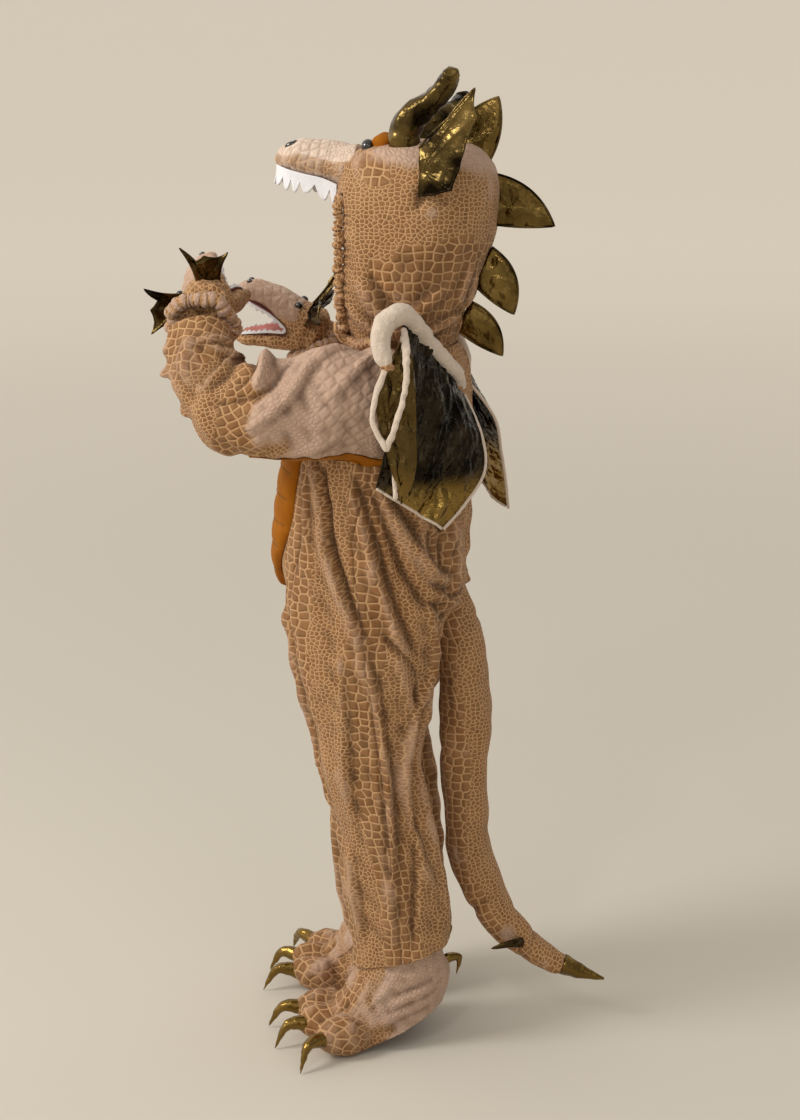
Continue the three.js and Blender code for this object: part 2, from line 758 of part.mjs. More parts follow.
// Sections of the stuffed upper jaw, from the brow forward.
const SNOUT = [
  { x: 0, y: -58, z: 218, wide: 50, deep: 28, low: 26 },
  { x: 0, y: -76, z: 216, wide: 46, deep: 31, low: 26 },
  { x: 0, y: -94, z: 218, wide: 38, deep: 31, low: 21 },
  { x: 0, y: -116, z: 221, wide: 34, deep: 29, low: 20 },
  { x: 0, y: -134, z: 223, wide: 31, deep: 26, low: 16 },
  { x: 0, y: -148, z: 223, wide: 25, deep: 20, low: 10 },
  { x: 0, y: -156, z: 222, wide: 15, deep: 11, low: 6 },
  { x: 0, y: -159, z: 221, wide: 5, deep: 4, low: 2 },
];

function snoutRings() {
  return pathRings(SNOUT, 8, 12, vec(1, 0, 0));
}

const snoutBody = ringBody(snoutRings());
const snoutGrown = solid(leaned(grown(snoutBody, SEAM)));
const snoutSolid = biggest(solid(leaned(snoutBody)).subtract(hoodGrown));
addSolid("snout", snoutSolid, CREAM);
const casing = biggest(faceCasing().subtract(hoodGrown).subtract(snoutGrown));
const casingGrown = solid(grown(bodyOf(casing), SEAM));
addSolid("face_casing", casing, TAN);
const collarSolid = collarRoll().subtract(hoodGrown).subtract(solid(grown(bodyOf(suit.full), SEAM)));
addSolid("collar_roll", biggest(collarSolid), CREAM);

// The felt tooth strip hangs from the lower edge of the upper jaw, its top tucked under the jaw.
const TOOTH = { teeth: 13, drop: 17, band: 8, tuck: 7, rise: 4, flare: 2 };

function toothStrip() {
  const path = new THREE.CatmullRomCurve3([
    vec(36, -82, 192), vec(33, -100, 199), vec(31, -124, 204), vec(26, -144, 209),
    vec(13, -156, 213), vec(0, -159, 214), vec(-13, -156, 213), vec(-26, -144, 209),
    vec(-31, -124, 204), vec(-33, -100, 199), vec(-36, -82, 192),
  ]);
  const inner = [];
  const outer = [];
  const count = TOOTH.teeth * 2;
  for (let i = 0; i <= count; i += 1) {
    const p = path.getPointAt(i / count);
    const way = path.getTangentAt(i / count);
    const out = vec(way.y, -way.x, 0).normalize();
    if (out.dot(vec(p.x, p.y + 90, 0)) < 0) out.negate();
    const drop = i % 2 === 1 ? TOOTH.drop : TOOTH.band;
    const high = p.clone().addScaledVector(out, -TOOTH.tuck).add(vec(0, 0, TOOTH.rise));
    const low = p.clone().addScaledVector(out, TOOTH.flare).add(vec(0, 0, -drop));
    outer.push([high.clone().addScaledVector(out, FELT), low.clone().addScaledVector(out, FELT)]);
    inner.push([high, low]);
  }
  return solid(leaned(sheetBody(outer, inner)));
}
addSolid("snout_teeth", biggest(toothStrip().subtract(snoutGrown).subtract(hoodGrown)
  .subtract(casingGrown)), WHITE);

// A dome made of rings around a pole, for eyes, brows and toes.
function dome(at, pole, wide, deep, tall, sideways) {
  const rings = [];
  const up = pole.clone().normalize();
  const u = sideways.clone().addScaledVector(up, -sideways.dot(up)).normalize();
  const v = up.clone().cross(u);
  for (const t of [-0.6, 0, 0.5, 0.9]) {
    const r = Math.sqrt(1 - t * t);
    const ring = [];
    for (let j = 0; j < 8; j += 1) {
      const a = turn(j, 8);
      ring.push(at.clone().addScaledVector(up, tall * t)
        .addScaledVector(u, wide * r * Math.cos(a)).addScaledVector(v, deep * r * Math.sin(a)));
    }
    rings.push(ring);
  }
  return ringBody(rings);
}

function browDome(side, step) {
  const pole = vec(side * 0.3, -0.1, 0.9);
  return dome(vec(side * 36, -27, 246), pole, 12 + step, 14 + step, 13 + step, vec(0, 1, 0));
}

for (const [word, side] of [["left", 1], ["right", -1]]) {
  const eye = dome(vec(side * 36, -46, 243), vec(side * 0.5, -0.5, 0.8), 9, 8, 8, vec(0, 1, 0));
  const brow = browDome(side, 0);
  const eyeGrown = solid(leaned(grown(eye, SEAM)));
  addSolid(`eye_${word}`, biggest(solid(leaned(eye)).subtract(hoodGrown).subtract(snoutGrown)), BLACK);
  addSolid(`brow_${word}`, biggest(solid(leaned(brow)).subtract(hoodGrown).subtract(snoutGrown)
    .subtract(eyeGrown)), MUSTARD);
}

// Horns, ears and spikes.
const HORN_LEFT = [
  { x: 50, y: 2, z: 236, wide: 17, deep: 18 },
  { x: 52, y: -2, z: 256, wide: 17, deep: 19 },
  { x: 56, y: 8, z: 276, wide: 16, deep: 18 },
  { x: 62, y: 30, z: 294, wide: 14, deep: 14 },
  { x: 70, y: 48, z: 312, wide: 12, deep: 12 },
  { x: 78, y: 55, z: 326, wide: 10, deep: 10 },
  { x: 80, y: 57, z: 333, wide: 4, deep: 4 },
];
const HORN_RIGHT = [
  { x: -50, y: 2, z: 236, wide: 17, deep: 18 },
  { x: -56, y: 0, z: 254, wide: 17, deep: 18 },
  { x: -68, y: 10, z: 268, wide: 16, deep: 17 },
  { x: -84, y: 28, z: 280, wide: 14, deep: 14 },
  { x: -100, y: 42, z: 290, wide: 12, deep: 12 },
  { x: -112, y: 48, z: 302, wide: 10, deep: 10 },
  { x: -115, y: 49, z: 308, wide: 4, deep: 4 },
];
const hornSolids = {};
for (const [word, table] of [["left", HORN_LEFT], ["right", HORN_RIGHT]]) {
  const horn = ringBody(pathRings(table, 8, 10, vec(1, 0, 0)));
  const browGrown = browDome(Math.sign(table[0].x), 0.5);
  hornSolids[word] = solid(leaned(horn)).subtract(hoodGrown).subtract(solid(leaned(browGrown)));
  addSolid(`horn_${word}`, biggest(hornSolids[word]), GOLD, true);
}

// The fin outline of a hood ear: across runs out and back, up runs along the root.
const EAR = [
  [0, 0], [22, 2], [44, 8], [53, 30], [59, 52], [65, 72], [74, 90], [69, 103], [71, 121], [37, 86], [0, 54],
];

for (const [word, side] of [["left", 1], ["right", -1]]) {
  const root = vec(side * 94, 22, side > 0 ? 188 : 158);
  const across = vec(side * 0.5, 0.866, 0);
  const ear = leaned(plateBody(EAR, root, across, vec(0, 0, 1), 6));
  addSolid(`ear_${word}`, biggest(solid(ear).subtract(hoodGrown)), GOLD, true);
}

// Spikes on the middle seam: the two root corners, the tip and how far each edge bows.
const SPIKES = [
  { name: "spike_crown", y0: 40, z0: 244, y1: 92, z1: 226, tipY: 102, tipZ: 302, bow0: 10, bow1: -8 },
  { name: "spike_upper", y0: 96, z0: 214, y1: 102, z1: 154, tipY: 171, tipZ: 154, bow0: 14, bow1: -2 },
  { name: "spike_middle", y0: 98, z0: 128, y1: 78, z1: 84, tipY: 126, tipZ: 50, bow0: 16, bow1: -3 },
  { name: "spike_lower", y0: 74, z0: 64, y1: 60, z1: 28, tipY: 113, tipZ: 0, bow0: 14, bow1: -3 },
];
const SPIKE_THICK = 7;

function spikeBody(row) {
  const rings = [];
  const start = vec(0, row.y0, row.z0);
  const end = vec(0, row.y1, row.z1);
  const tip = vec(0, row.tipY, row.tipZ);
  const hub = start.clone().add(end).multiplyScalar(0.5);
  const inward = hub.clone().sub(tip).normalize().multiplyScalar(14);
  for (let i = 0; i <= 6; i += 1) {
    const t = i / 6;
    const lift = Math.sin(Math.PI * t);
    const reach = 1 - (1 - t) ** 1.2;
    const edge0 = start.clone().add(inward).lerp(tip, reach);
    const edge1 = end.clone().add(inward).lerp(tip, reach);
    const spread = start.clone().sub(end).normalize();
    edge0.addScaledVector(spread, row.bow0 * lift);
    edge1.addScaledVector(spread, -row.bow1 * lift);
    const halfWide = Math.max(edge0.distanceTo(edge1) / 2, 1.5);
    const mid = edge0.clone().add(edge1).multiplyScalar(0.5);
    const axis = t === 1 ? spread : edge0.clone().sub(edge1).normalize();
    const thick = Math.max(1.2, SPIKE_THICK * (1 - t) ** 0.6);
    const ring = [];
    for (let j = 0; j < 8; j += 1) {
      const a = turn(j, 8);
      ring.push(mid.clone()
        .addScaledVector(axis, halfWide * Math.cos(a))
        .add(vec(thick * Math.sin(a), 0, 0)));
    }
    rings.push(ring);
  }
  return ringBody(rings);
}
for (const row of SPIKES) {
  addSolid(row.name, biggest(solid(leaned(spikeBody(row))).subtract(hoodGrown)), GOLD, true);
}

// Sleeve gussets.
// An orange strip under each upper sleeve, laid 0.3 mm off the sleeve.
const GUSSET = { first: 16, last: 20, thick: 1.8 };

function gusset(table, from, to, other) {
  const rings = pathRings(table, 9, 24, vec(1, 0, 0));
  const near = offsetRings(rings, 2 * SEAM);
  const far = offsetRings(rings, 2 * SEAM + GUSSET.thick);
  const pick = (grid) => grid.slice(from, to)
    .map((ring) => ring.slice(GUSSET.first, GUSSET.last + 1));
  return solid(sheetBody(pick(far), pick(near))).subtract(other);
}
const suitGrown = solid(grown(bodyOf(suit.full), SEAM));
const armGrownLeft = solid(grown(bodyOf(suit.armLeft.full), SEAM));
const armGrownRight = solid(grown(bodyOf(suit.armRight.full), SEAM));
addSolid("gusset_left", biggest(gusset(LEFT_UPPER_ARM, 2, 6, suitGrown).subtract(armGrownLeft)), MUSTARD);
addSolid("gusset_right", biggest(gusset(RIGHT_UPPER_ARM, 3, 8, suitGrown).subtract(armGrownRight)), MUSTARD);

// Tail.
const TAIL = [
  { x: 0, y: 46, z: -276, wide: 20, deep: 20 },
  { x: 0, y: 54, z: -306, wide: 22, deep: 22 },
  { x: 0, y: 62, z: -345, wide: 28, deep: 29 },
  { x: 0, y: 68, z: -390, wide: 31, deep: 32 },
  { x: 0, y: 72, z: -436, wide: 32, deep: 34 },
  { x: 0, y: 72, z: -500, wide: 30, deep: 31 },
  { x: 0, y: 72, z: -565, wide: 29, deep: 29 },
  { x: 0, y: 80, z: -635, wide: 28, deep: 29 },
  { x: 0, y: 102, z: -698, wide: 25, deep: 26 },
  { x: 0, y: 133, z: -742, wide: 22, deep: 22 },
  { x: 0, y: 166, z: -768, wide: 17, deep: 18 },
  { x: 0, y: 199, z: -784, wide: 13, deep: 13 },
];
const TAIL_TIP = [
  { x: 0, y: 199.4, z: -784.2, wide: 13, deep: 13 },
  { x: 0, y: 216, z: -791, wide: 10, deep: 10 },
  { x: 0, y: 232, z: -796, wide: 6.5, deep: 6.5 },
  { x: 0, y: 250, z: -801, wide: 1.5, deep: 1.5 },
];
const tailBody = ringBody(pathRings(TAIL, 12, 12, vec(1, 0, 0)));
const tailGrown = solid(grown(tailBody, SEAM));
addSolid("tail", biggest(solid(tailBody).subtract(suitGrown)), TAN);
const tailTip = solid(ringBody(pathRings(TAIL_TIP, 3, 10, vec(1, 0, 0))));
addSolid("tail_tip", biggest(tailTip.subtract(tailGrown)), GOLD, true);

// A curved claw: middle line by three points, round sections that close at the tip.
function claw(root, bend, tip, radius) {
  const line = new THREE.QuadraticBezierCurve3(root, bend, tip);
  const rings = [];
  let side = vec(0, 0, 1).cross(tip.clone().sub(root)).normalize();
  for (const t of [0, 0.3, 0.65, 1]) {
    const way = line.getTangent(t);
    side = side.clone().addScaledVector(way, -side.dot(way)).normalize();
    const up = way.clone().cross(side);
    const r = Math.max(1.2, radius * (1 - t) ** 0.7);
    const ring = [];
    for (let j = 0; j < 7; j += 1) {
      const a = turn(j, 7);
      ring.push(line.getPoint(t)
        .addScaledVector(side, r * Math.cos(a))
        .addScaledVector(up, r * 0.85 * Math.sin(a)));
    }
    rings.push(ring);
  }
  return ringBody(rings);
}

for (const [word, side] of [["left", 1], ["right", -1]]) {
  const spur = claw(vec(side * 12, 150, -752), vec(side * 34, 138, -744), vec(side * 40, 112, -750), 8);
  addSolid(`tail_spur_${word}`, biggest(solid(spur).subtract(tailGrown)), GOLD, true);
}

// Wings.
// Sections of the stuffed wing arm for the left side, from the back seam to the paw.
const WING_ARM = [
  { x: 22, y: 64, z: -34, wide: 9, deep: 9 },
  { x: 46, y: 60, z: -10, wide: 10, deep: 10 },
  { x: 82, y: 40, z: 24, wide: 10, deep: 10 },
  { x: 116, y: 24, z: 56, wide: 11, deep: 12 },
  { x: 142, y: 12, z: 74, wide: 12, deep: 13 },
  { x: 162, y: -4, z: 66, wide: 12, deep: 13 },
  { x: 172, y: -8, z: 44, wide: 10, deep: 11 },
  { x: 176, y: -2, z: 26, wide: 8, deep: 9 },
  { x: 176, y: 1, z: 20, wide: 4, deep: 5 },
];
// Edges of the main membrane, from the arm down.
const WING_REAR_EDGE = [
  vec(26, 68, -36), vec(50, 94, -84), vec(64, 100, -126),
  vec(92, 80, -160), vec(116, 58, -184),
];
const RIGHT_REAR_EDGE = [
  vec(26, 68, -36), vec(62, 98, -90), vec(92, 104, -140),
  vec(124, 107, -188), vec(150, 108, -228),
];
const WING_FRONT_EDGE = [
  vec(140, 14, 70), vec(156, 12, 6), vec(164, 2, -50),
  vec(166, -6, -92), vec(166, -14, -124),
];
// Edges of the folded outer membrane.
const FOLD_REAR_EDGE = [
  vec(152, 20, 56), vec(164, 30, 10), vec(170, 33, -50),
  vec(170, 32, -106), vec(170, 16, -142),
];
const FOLD_FRONT_EDGE = [
  vec(178, 0, 26), vec(186, -10, -10), vec(190, -8, -40),
  vec(192, 0, -66), vec(184, 10, -110),
];
// Middle lines of the two padded ribs on the fold.
const RIB_LONG = [
  vec(150, 16, 58), vec(174, 22, 30), vec(186, 22, -4),
  vec(198, 12, -46), vec(200, 3, -70),
];
const RIB_SHORT = [
  vec(176, 2, 24), vec(192, -10, -10),
  vec(200, -12, -40), vec(200, 3, -70),
];
const MEMBRANE = 1.6;
const RIPPLE = 4;

function mirrored(p, side) {
  return vec(p.x * side, p.y, p.z);
}

function edgeCurve(points, side) {
  return new THREE.CatmullRomCurve3(points.map((p) => mirrored(p, side)), false, "centripetal");
}

// A membrane between two edges, with shallow ripples that run down it.
function membrane(rear, front, side, rows, cols, waves) {
  const one = edgeCurve(rear, side);
  const two = edgeCurve(front, side);
  const near = [];
  const far = [];
  for (let i = 0; i <= rows; i += 1) {
    const a = one.getPoint(i / rows);
    const b = two.getPoint(i / rows);
    const across = b.clone().sub(a).normalize();
    const out = across.clone().cross(vec(0, 0, 1)).normalize();
    if (out.x * side < 0) out.negate();
    const inner = [];
    const outer = [];
    for (let j = 0; j <= cols; j += 1) {
      const u = j / cols;
      const ripple = RIPPLE * Math.sin(Math.PI * waves * u) * Math.sin(Math.PI * u);
      const p = a.clone().lerp(b, u).addScaledVector(out, ripple);
      inner.push(p.clone().addScaledVector(out, -MEMBRANE / 2));
      outer.push(p.clone().addScaledVector(out, MEMBRANE / 2));
    }
    near.push(inner);
    far.push(outer);
  }
  return solid(sheetBody(far, near));
}

function ribBody(points, side, radius) {
  const curve = edgeCurve(points, side);
  const table = [];
  for (let k = 0; k <= 6; k += 1) {
    const p = curve.getPoint(k / 6);
    const r = k === 0 || k === 6 ? radius * 0.6 : radius;
    table.push({ x: p.x, y: p.y, z: p.z, wide: r, deep: r });
  }
  return ringBody(pathRings(table, 6, 6, vec(1, 0, 0)));
}

function wing(word, side) {
  const table = WING_ARM.map((row) => ({ ...row, x: row.x * side }));
  const arm = ringBody(pathRings(table, 11, 8, vec(0, 1, 0)));
  const armGrown = solid(grown(arm, SEAM));
  const sleeveGrown = side > 0 ? armGrownLeft : armGrownRight;
  const clear = (shape) => shape.subtract(suitGrown).subtract(hoodGrown).subtract(sleeveGrown);
  const ribs = solid(ribBody(RIB_LONG, side, 5.5)).add(solid(ribBody(RIB_SHORT, side, 5))).subtract(armGrown);
  const ribBig = biggest(clear(ribs));
  const ribsGrown = solid(grown(bodyOf(ribBig), 2 * SEAM));
  const fold = membrane(FOLD_REAR_EDGE, FOLD_FRONT_EDGE, side, 5, 4, 2);
  const foldBig = biggest(clear(fold).subtract(armGrown).subtract(ribsGrown));
  const foldGrown = solid(grown(bodyOf(foldBig), SEAM));
  const rear = side > 0 ? WING_REAR_EDGE : RIGHT_REAR_EDGE;
  const main = membrane(rear, WING_FRONT_EDGE, side, 5, 6, 3);
  addSolid(`wing_arm_${word}`, biggest(clear(solid(arm))), CREAM);
  addSolid(`wing_ribs_${word}`, ribBig, CREAM);
  addSolid(`wing_fold_${word}`, foldBig, GOLD, true);
  addSolid(`wing_membrane_${word}`, biggest(clear(main).subtract(armGrown).subtract(ribsGrown)
    .subtract(foldGrown)), GOLD, true);
}
wing("left", 1);
wing("right", -1);

// Hand puppets.
// Sections in the puppet's own frame: ahead along the muzzle, crown up, side left.
const PUPPET_UPPER = [
  { ahead: 2, crown: -1, aside: 0, wide: 34, deep: 30, low: 30 },
  { ahead: 22, crown: 11, aside: 0, wide: 33, deep: 22, low: 20 },
  { ahead: 50, crown: 22, aside: 0, wide: 28, deep: 18, low: 13 },
  { ahead: 76, crown: 26, aside: 0, wide: 24, deep: 14, low: 11 },
  { ahead: 93, crown: 24, aside: 0, wide: 14, deep: 9, low: 7 },
  { ahead: 99, crown: 22, aside: 0, wide: 5, deep: 3, low: 3 },
];
const PUPPET_JAW = [
  { ahead: -6, crown: -14, aside: 0, wide: 22, deep: 12, low: 12 },
  { ahead: 18, crown: -20, aside: 0, wide: 27, deep: 12, low: 14 },
  { ahead: 50, crown: -26, aside: 0, wide: 25, deep: 9, low: 12 },
  { ahead: 75, crown: -33, aside: 0, wide: 20, deep: 7, low: 10 },
  { ahead: 87, crown: -36, aside: 0, wide: 8, deep: 4, low: 5 },
];
const MOUTH = [
  { ahead: 88, crown: 15, half: 12 },
  { ahead: 70, crown: 12, half: 19 },
  { ahead: 46, crown: 6, half: 23 },
  { ahead: 25, crown: -7, half: 24 },
  { ahead: 46, crown: -13.5, half: 22 },
  { ahead: 66, crown: -21, half: 18 },
  { ahead: 80, crown: -27, half: 12 },
];
// Half the thickness of the mouth lining.
const LINING = 0.75;
const PUPPET_EAR = [
  [-14, 0], [-28, 46], [-15, 40], [0, 43], [11, 33], [29, 49], [14, 0],
];
const PUPPETS = [
  {
    word: "left",
    hub: vec(29, -238, 58),
    ahead: vec(-0.98, 0, 0.17),
    crown: vec(0, -0.7, 0.7),
    wrist: [
      { ahead: -36, crown: -10, aside: 8, wide: 27, deep: 27, low: 27 },
      { ahead: -18, crown: -5, aside: 4, wide: 31, deep: 30, low: 30 },
    ],
  },
  {
    word: "right",
    hub: vec(-108, -138, 6),
    ahead: vec(0, -0.97, 0.24),
    crown: vec(0, 0.24, 0.97),
    wrist: [
      { ahead: -20, crown: -22, aside: 0, wide: 27, deep: 27, low: 27 },
      { ahead: -11, crown: -12, aside: 0, wide: 31, deep: 29, low: 29 },
    ],
  },
];

function puppetFrame(puppet) {
  const ahead = puppet.ahead.clone().normalize();
  const crown = puppet.crown.clone().addScaledVector(ahead, -puppet.crown.dot(ahead)).normalize();
  const aside = crown.clone().cross(ahead);
  const place = (a, c, s) => puppet.hub.clone()
    .addScaledVector(ahead, a).addScaledVector(crown, c).addScaledVector(aside, s);
  return { ahead, crown, aside, place };
}

function placedTable(table, place) {
  return table.map((row) => {
    const p = place(row.ahead, row.crown, row.aside);
    return { x: p.x, y: p.y, z: p.z, wide: row.wide, deep: row.deep, low: row.low };
  });
}

function mouthLining(place) {
  const near = [];
  const far = [];
  const last = MOUTH.length - 1;
  for (let i = 0; i <= last; i += 1) {
    const row = MOUTH[i];
    const before = MOUTH[Math.max(i - 1, 0)];
    const after = MOUTH[Math.min(i + 1, last)];
    const runA = after.ahead - before.ahead;
    const runC = after.crown - before.crown;
    const long = Math.hypot(runA, runC);
    const low = [];
    const high = [];
    for (const u of [-1, 0, 1]) {
      const a = -runC / long * LINING;
      const c = runA / long * LINING;
      low.push(place(row.ahead + a, row.crown + c, u * row.half));
      high.push(place(row.ahead - a, row.crown - c, u * row.half));
    }
    near.push(low);
    far.push(high);
  }
  return solid(sheetBody(near, far));
}

// A gathered roll round a wrist.
function cuffRoll(hub, axis, radius, tube, waves) {
  const u = axis.clone().cross(vec(0, 1, 0)).normalize();
  const v = axis.clone().cross(u).normalize();
  const rings = [];
  for (let i = 0; i < waves * 2; i += 1) {
    const a = turn(i, waves * 2);
    const out = u.clone().multiplyScalar(Math.cos(a)).addScaledVector(v, Math.sin(a));
    const thick = tube * (i % 2 === 0 ? 1.08 : 0.88);
    const ring = [];
    for (let j = 0; j < 5; j += 1) {
      const b = turn(j, 5);
      ring.push(hub.clone()
        .addScaledVector(out, radius + thick * Math.cos(b))
        .addScaledVector(axis, thick * Math.sin(b)));
    }
    rings.push(ring);
  }
  return solid(loopBody(rings));
}

function puppet(row) {
  const { ahead, crown, aside, place } = puppetFrame(row);
  const upper = pathRings(placedTable([...row.wrist, ...PUPPET_UPPER], place), 9, 10, aside);
  const jaw = pathRings(placedTable(PUPPET_JAW, place), 4, 8, aside);
  const full = solid(ringBody(upper)).add(solid(ringBody(jaw)));
  const hollow = solid(ringBody(hollowRings(upper, 12, 0))).add(solid(ringBody(hollowRings(jaw, 0, 0))));
  const sleeveGrown = row.word === "left" ? armGrownLeft : armGrownRight;
  const head = biggest(full.subtract(hollow).subtract(sleeveGrown));
  const fullGrown = solid(grown(bodyOf(full), SEAM));
  const start = place(row.wrist[0].ahead, row.wrist[0].crown, row.wrist[0].aside);
  const next = place(row.wrist[1].ahead, row.wrist[1].crown, row.wrist[1].aside);
  const axis = next.clone().sub(start).normalize();
  const roll = cuffRoll(start.clone().addScaledVector(axis, 3), axis, 37, 9.5, 11);
  addSolid(`puppet_head_${row.word}`, head, TAN);
  const cuff = biggest(roll.subtract(fullGrown).subtract(sleeveGrown));
  const cuffGrown = solid(grown(bodyOf(cuff), SEAM));
  addSolid(`puppet_cuff_${row.word}`, cuff, CREAM);
  addSolid(`puppet_mouth_${row.word}`, biggest(mouthLining(place).subtract(fullGrown)), PINK);
  for (const [ear, sign] of [["inner", -1], ["outer", 1]]) {
    const way = crown.clone().multiplyScalar(0.75).addScaledVector(aside, 0.8 * sign)
      .addScaledVector(ahead, -0.5).normalize();
    const across = ahead.clone().cross(way).normalize().multiplyScalar(sign);
    const root = place(4, 16, sign * 20);
    const plate = solid(plateBody(PUPPET_EAR, root, across, way, 5));
    addSolid(`puppet_ear_${row.word}_${ear}`,
      biggest(plate.subtract(fullGrown).subtract(cuffGrown).subtract(sleeveGrown)), GOLD, true);
  }
}
for (const row of PUPPETS) puppet(row);

// Shoe covers.
// Sections in the foot's own frame: ahead of the heel, outward, half length, half width.
const COVER = [
  { z: -732, ahead: 34, out: 5, long: 50, wide: 42 },
  { z: -756, ahead: 34, out: 4, long: 53, wide: 45 },
  { z: -780, ahead: 36, out: 2, long: 62, wide: 49 },
  { z: -804, ahead: 46, out: 0, long: 72, wide: 51 },
  { z: -824, ahead: 60, out: -1, long: 82, wide: 54 },
  { z: -840, ahead: 64, out: -2, long: 84, wide: 55 },
];
const COVER_SLOPE = 19;
const COVER_POINTS = 14;
const TOES = [
  { name: "outer", ahead: 124, out: 40, tipAhead: 188, tipOut: 76 },
  { name: "middle", ahead: 132, out: -3, tipAhead: 200, tipOut: 2 },
  { name: "inner", ahead: 124, out: -42, tipAhead: 192, tipOut: -58 },
];
const TOE_SIZE = { wide: 25, deep: 36, tall: 23, z: -838 };
const FEET = [
  { word: "left", side: 1, x: 40, y: 30, splay: 26, ankleAhead: 35, ankleOut: 5 },
  { word: "right", side: -1, x: -72, y: 2, splay: 5, ankleAhead: 27, ankleOut: 2 },
];

function shoeCover(foot) {
  const a = foot.splay * Math.PI / 180;
  const ahead = vec(foot.side * Math.sin(a), -Math.cos(a), 0);
  const out = vec(foot.side * Math.cos(a), Math.sin(a), 0);
  const place = (f, r, z) => vec(foot.x, foot.y, z).addScaledVector(ahead, f).addScaledVector(out, r);
  const rings = COVER.map((row, i) => {
    const ring = [];
    const slope = COVER_SLOPE * Math.max(0, i - 2) / (COVER.length - 3);
    const share = Math.max(0, 1 - i / 3);
    const midAhead = mix(row.ahead, foot.ankleAhead, share);
    const midOut = mix(row.out, foot.ankleOut, share);
    for (let j = 0; j < COVER_POINTS; j += 1) {
      const b = turn(j, COVER_POINTS);
      const c = Math.cos(b);
      const s = Math.sin(b);
      const lift = -slope * c;
      ring.push(place(midAhead + row.long * Math.sign(c) * Math.abs(c) ** 0.95,
        midOut + row.wide * Math.sign(s) * Math.abs(s) ** 0.95, row.z + lift));
    }
    return ring;
  });
  const full = solid(ringBody(rings));
  const hollow = solid(ringBody(hollowRings(rings, 14, 14)));
  const hem = solid(grown(suit.hem[foot.word], SEAM));
  let cover = full.subtract(hollow);
  let toes = null;
  for (const toe of TOES) {
    const lump = solid(dome(place(toe.ahead, toe.out, TOE_SIZE.z), ahead.clone().add(vec(0, 0, 0.25)),
      TOE_SIZE.wide, TOE_SIZE.tall, TOE_SIZE.deep, out));
    toes = toes === null ? lump : toes.add(lump);
  }
  cover = biggest(cover.add(toes.subtract(hollow)).subtract(hem));
  const coverGrown = solid(grown(bodyOf(cover), SEAM));
  addSolid(`shoe_cover_${foot.word}`, cover, CREAM);
  for (const toe of TOES) {
    const root = place(toe.ahead + 22, toe.out + 0.15 * (toe.tipOut - toe.out), -836);
    const tip = place(toe.tipAhead, toe.tipOut, FLOOR + 3);
    const bend = place(toe.ahead + 56, mix(toe.out, toe.tipOut, 0.7), -828);
    const nail = biggest(solid(claw(root, bend, tip, 11)).subtract(coverGrown));
    addSolid(`claw_${toe.name}_${foot.word}`, nail, GOLD, true);
  }
  const heel = claw(place(-14, 0, -776), place(-42, 0, -772), place(-40, 0, -796), 8);
  addSolid(`claw_heel_${foot.word}`, biggest(solid(heel).subtract(coverGrown)), GOLD, true);
}
for (const foot of FEET) shoeCover(foot);

export default group;
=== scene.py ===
"""Child's dragon costume: jumpsuit with hood and head trim, hand puppets, wings, tail, shoe covers.

The panel in the sidebar lists one operator for each group of pieces. Sizes in the tables are millimetres.
"""

import math

import bmesh
import bpy
import numpy as np
from mathutils import Matrix, Vector
from mathutils.bvhtree import BVHTree
from mathutils.kdtree import KDTree


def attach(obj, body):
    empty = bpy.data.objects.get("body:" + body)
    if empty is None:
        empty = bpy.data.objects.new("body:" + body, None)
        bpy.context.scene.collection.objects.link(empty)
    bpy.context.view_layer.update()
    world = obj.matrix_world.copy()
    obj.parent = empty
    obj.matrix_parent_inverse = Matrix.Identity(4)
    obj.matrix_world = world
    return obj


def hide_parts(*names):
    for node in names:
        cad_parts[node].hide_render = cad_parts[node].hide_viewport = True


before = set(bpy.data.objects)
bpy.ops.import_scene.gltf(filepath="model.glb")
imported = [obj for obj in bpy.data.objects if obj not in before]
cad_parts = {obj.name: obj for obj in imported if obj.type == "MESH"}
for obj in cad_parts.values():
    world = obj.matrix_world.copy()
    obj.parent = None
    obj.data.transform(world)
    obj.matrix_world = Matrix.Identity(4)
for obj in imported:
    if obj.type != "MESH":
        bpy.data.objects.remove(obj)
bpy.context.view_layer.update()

bl_info = {
    "name": "Dragon costume",
    "version": (1, 0, 0),
    "blender": (4, 5, 0),
    "location": "View3D > Sidebar > Costume",
    "description": "Builds a child's plush dragon costume piece by piece",
    "category": "Add Mesh",
}

MM = 0.001
FLOOR = -862.5
BODY = "root"
SIDES = (("left", 1), ("right", -1))


# Sizes that the maker works from, in millimetres.

# Levels of the trunk: height, half width, front, back.
TRUNK = (
    (16, 62, -72, 60), (2, 76, -78, 66), (-18, 98, -92, 71), (-50, 114, -116, 73), (-95, 121, -132, 74),
    (-143, 122, -143, 73), (-200, 121, -151, 71), (-255, 123, -154, 73), (-300, 124, -143, 68),
    (-335, 116, -129, 44), (-380, 97, -106, 24), (-418, 66, -82, 8), (-436, 30, -52, -14),
)
TRUNK_POWER = 2.25
# Levels of one leg: height, sideways, forward, half width, half depth.
LEG = (
    (-262, 62, -42, 57, 96), (-300, 62, -42, 60, 98), (-335, 62, -43, 59, 91), (-375, 62, -42, 58, 83),
    (-420, 61, -40, 57, 75), (-460, 61, -40, 55, 64), (-502, 61, -39, 53, 60), (-555, 60, -28, 51, 61),
    (-604, 60, -17, 50, 63), (-650, 60, -9, 50, 64), (-700, 60, -2, 50, 63), (-748, 60, 1, 51, 61),
)
RIGHT_STEP = (-16, -26, -320, -720)
HEM_DROP = 17
SIDE_SEAM = ((60, -8), (-60, -12), (-201, -50), (-740, 9), (-800, 12))

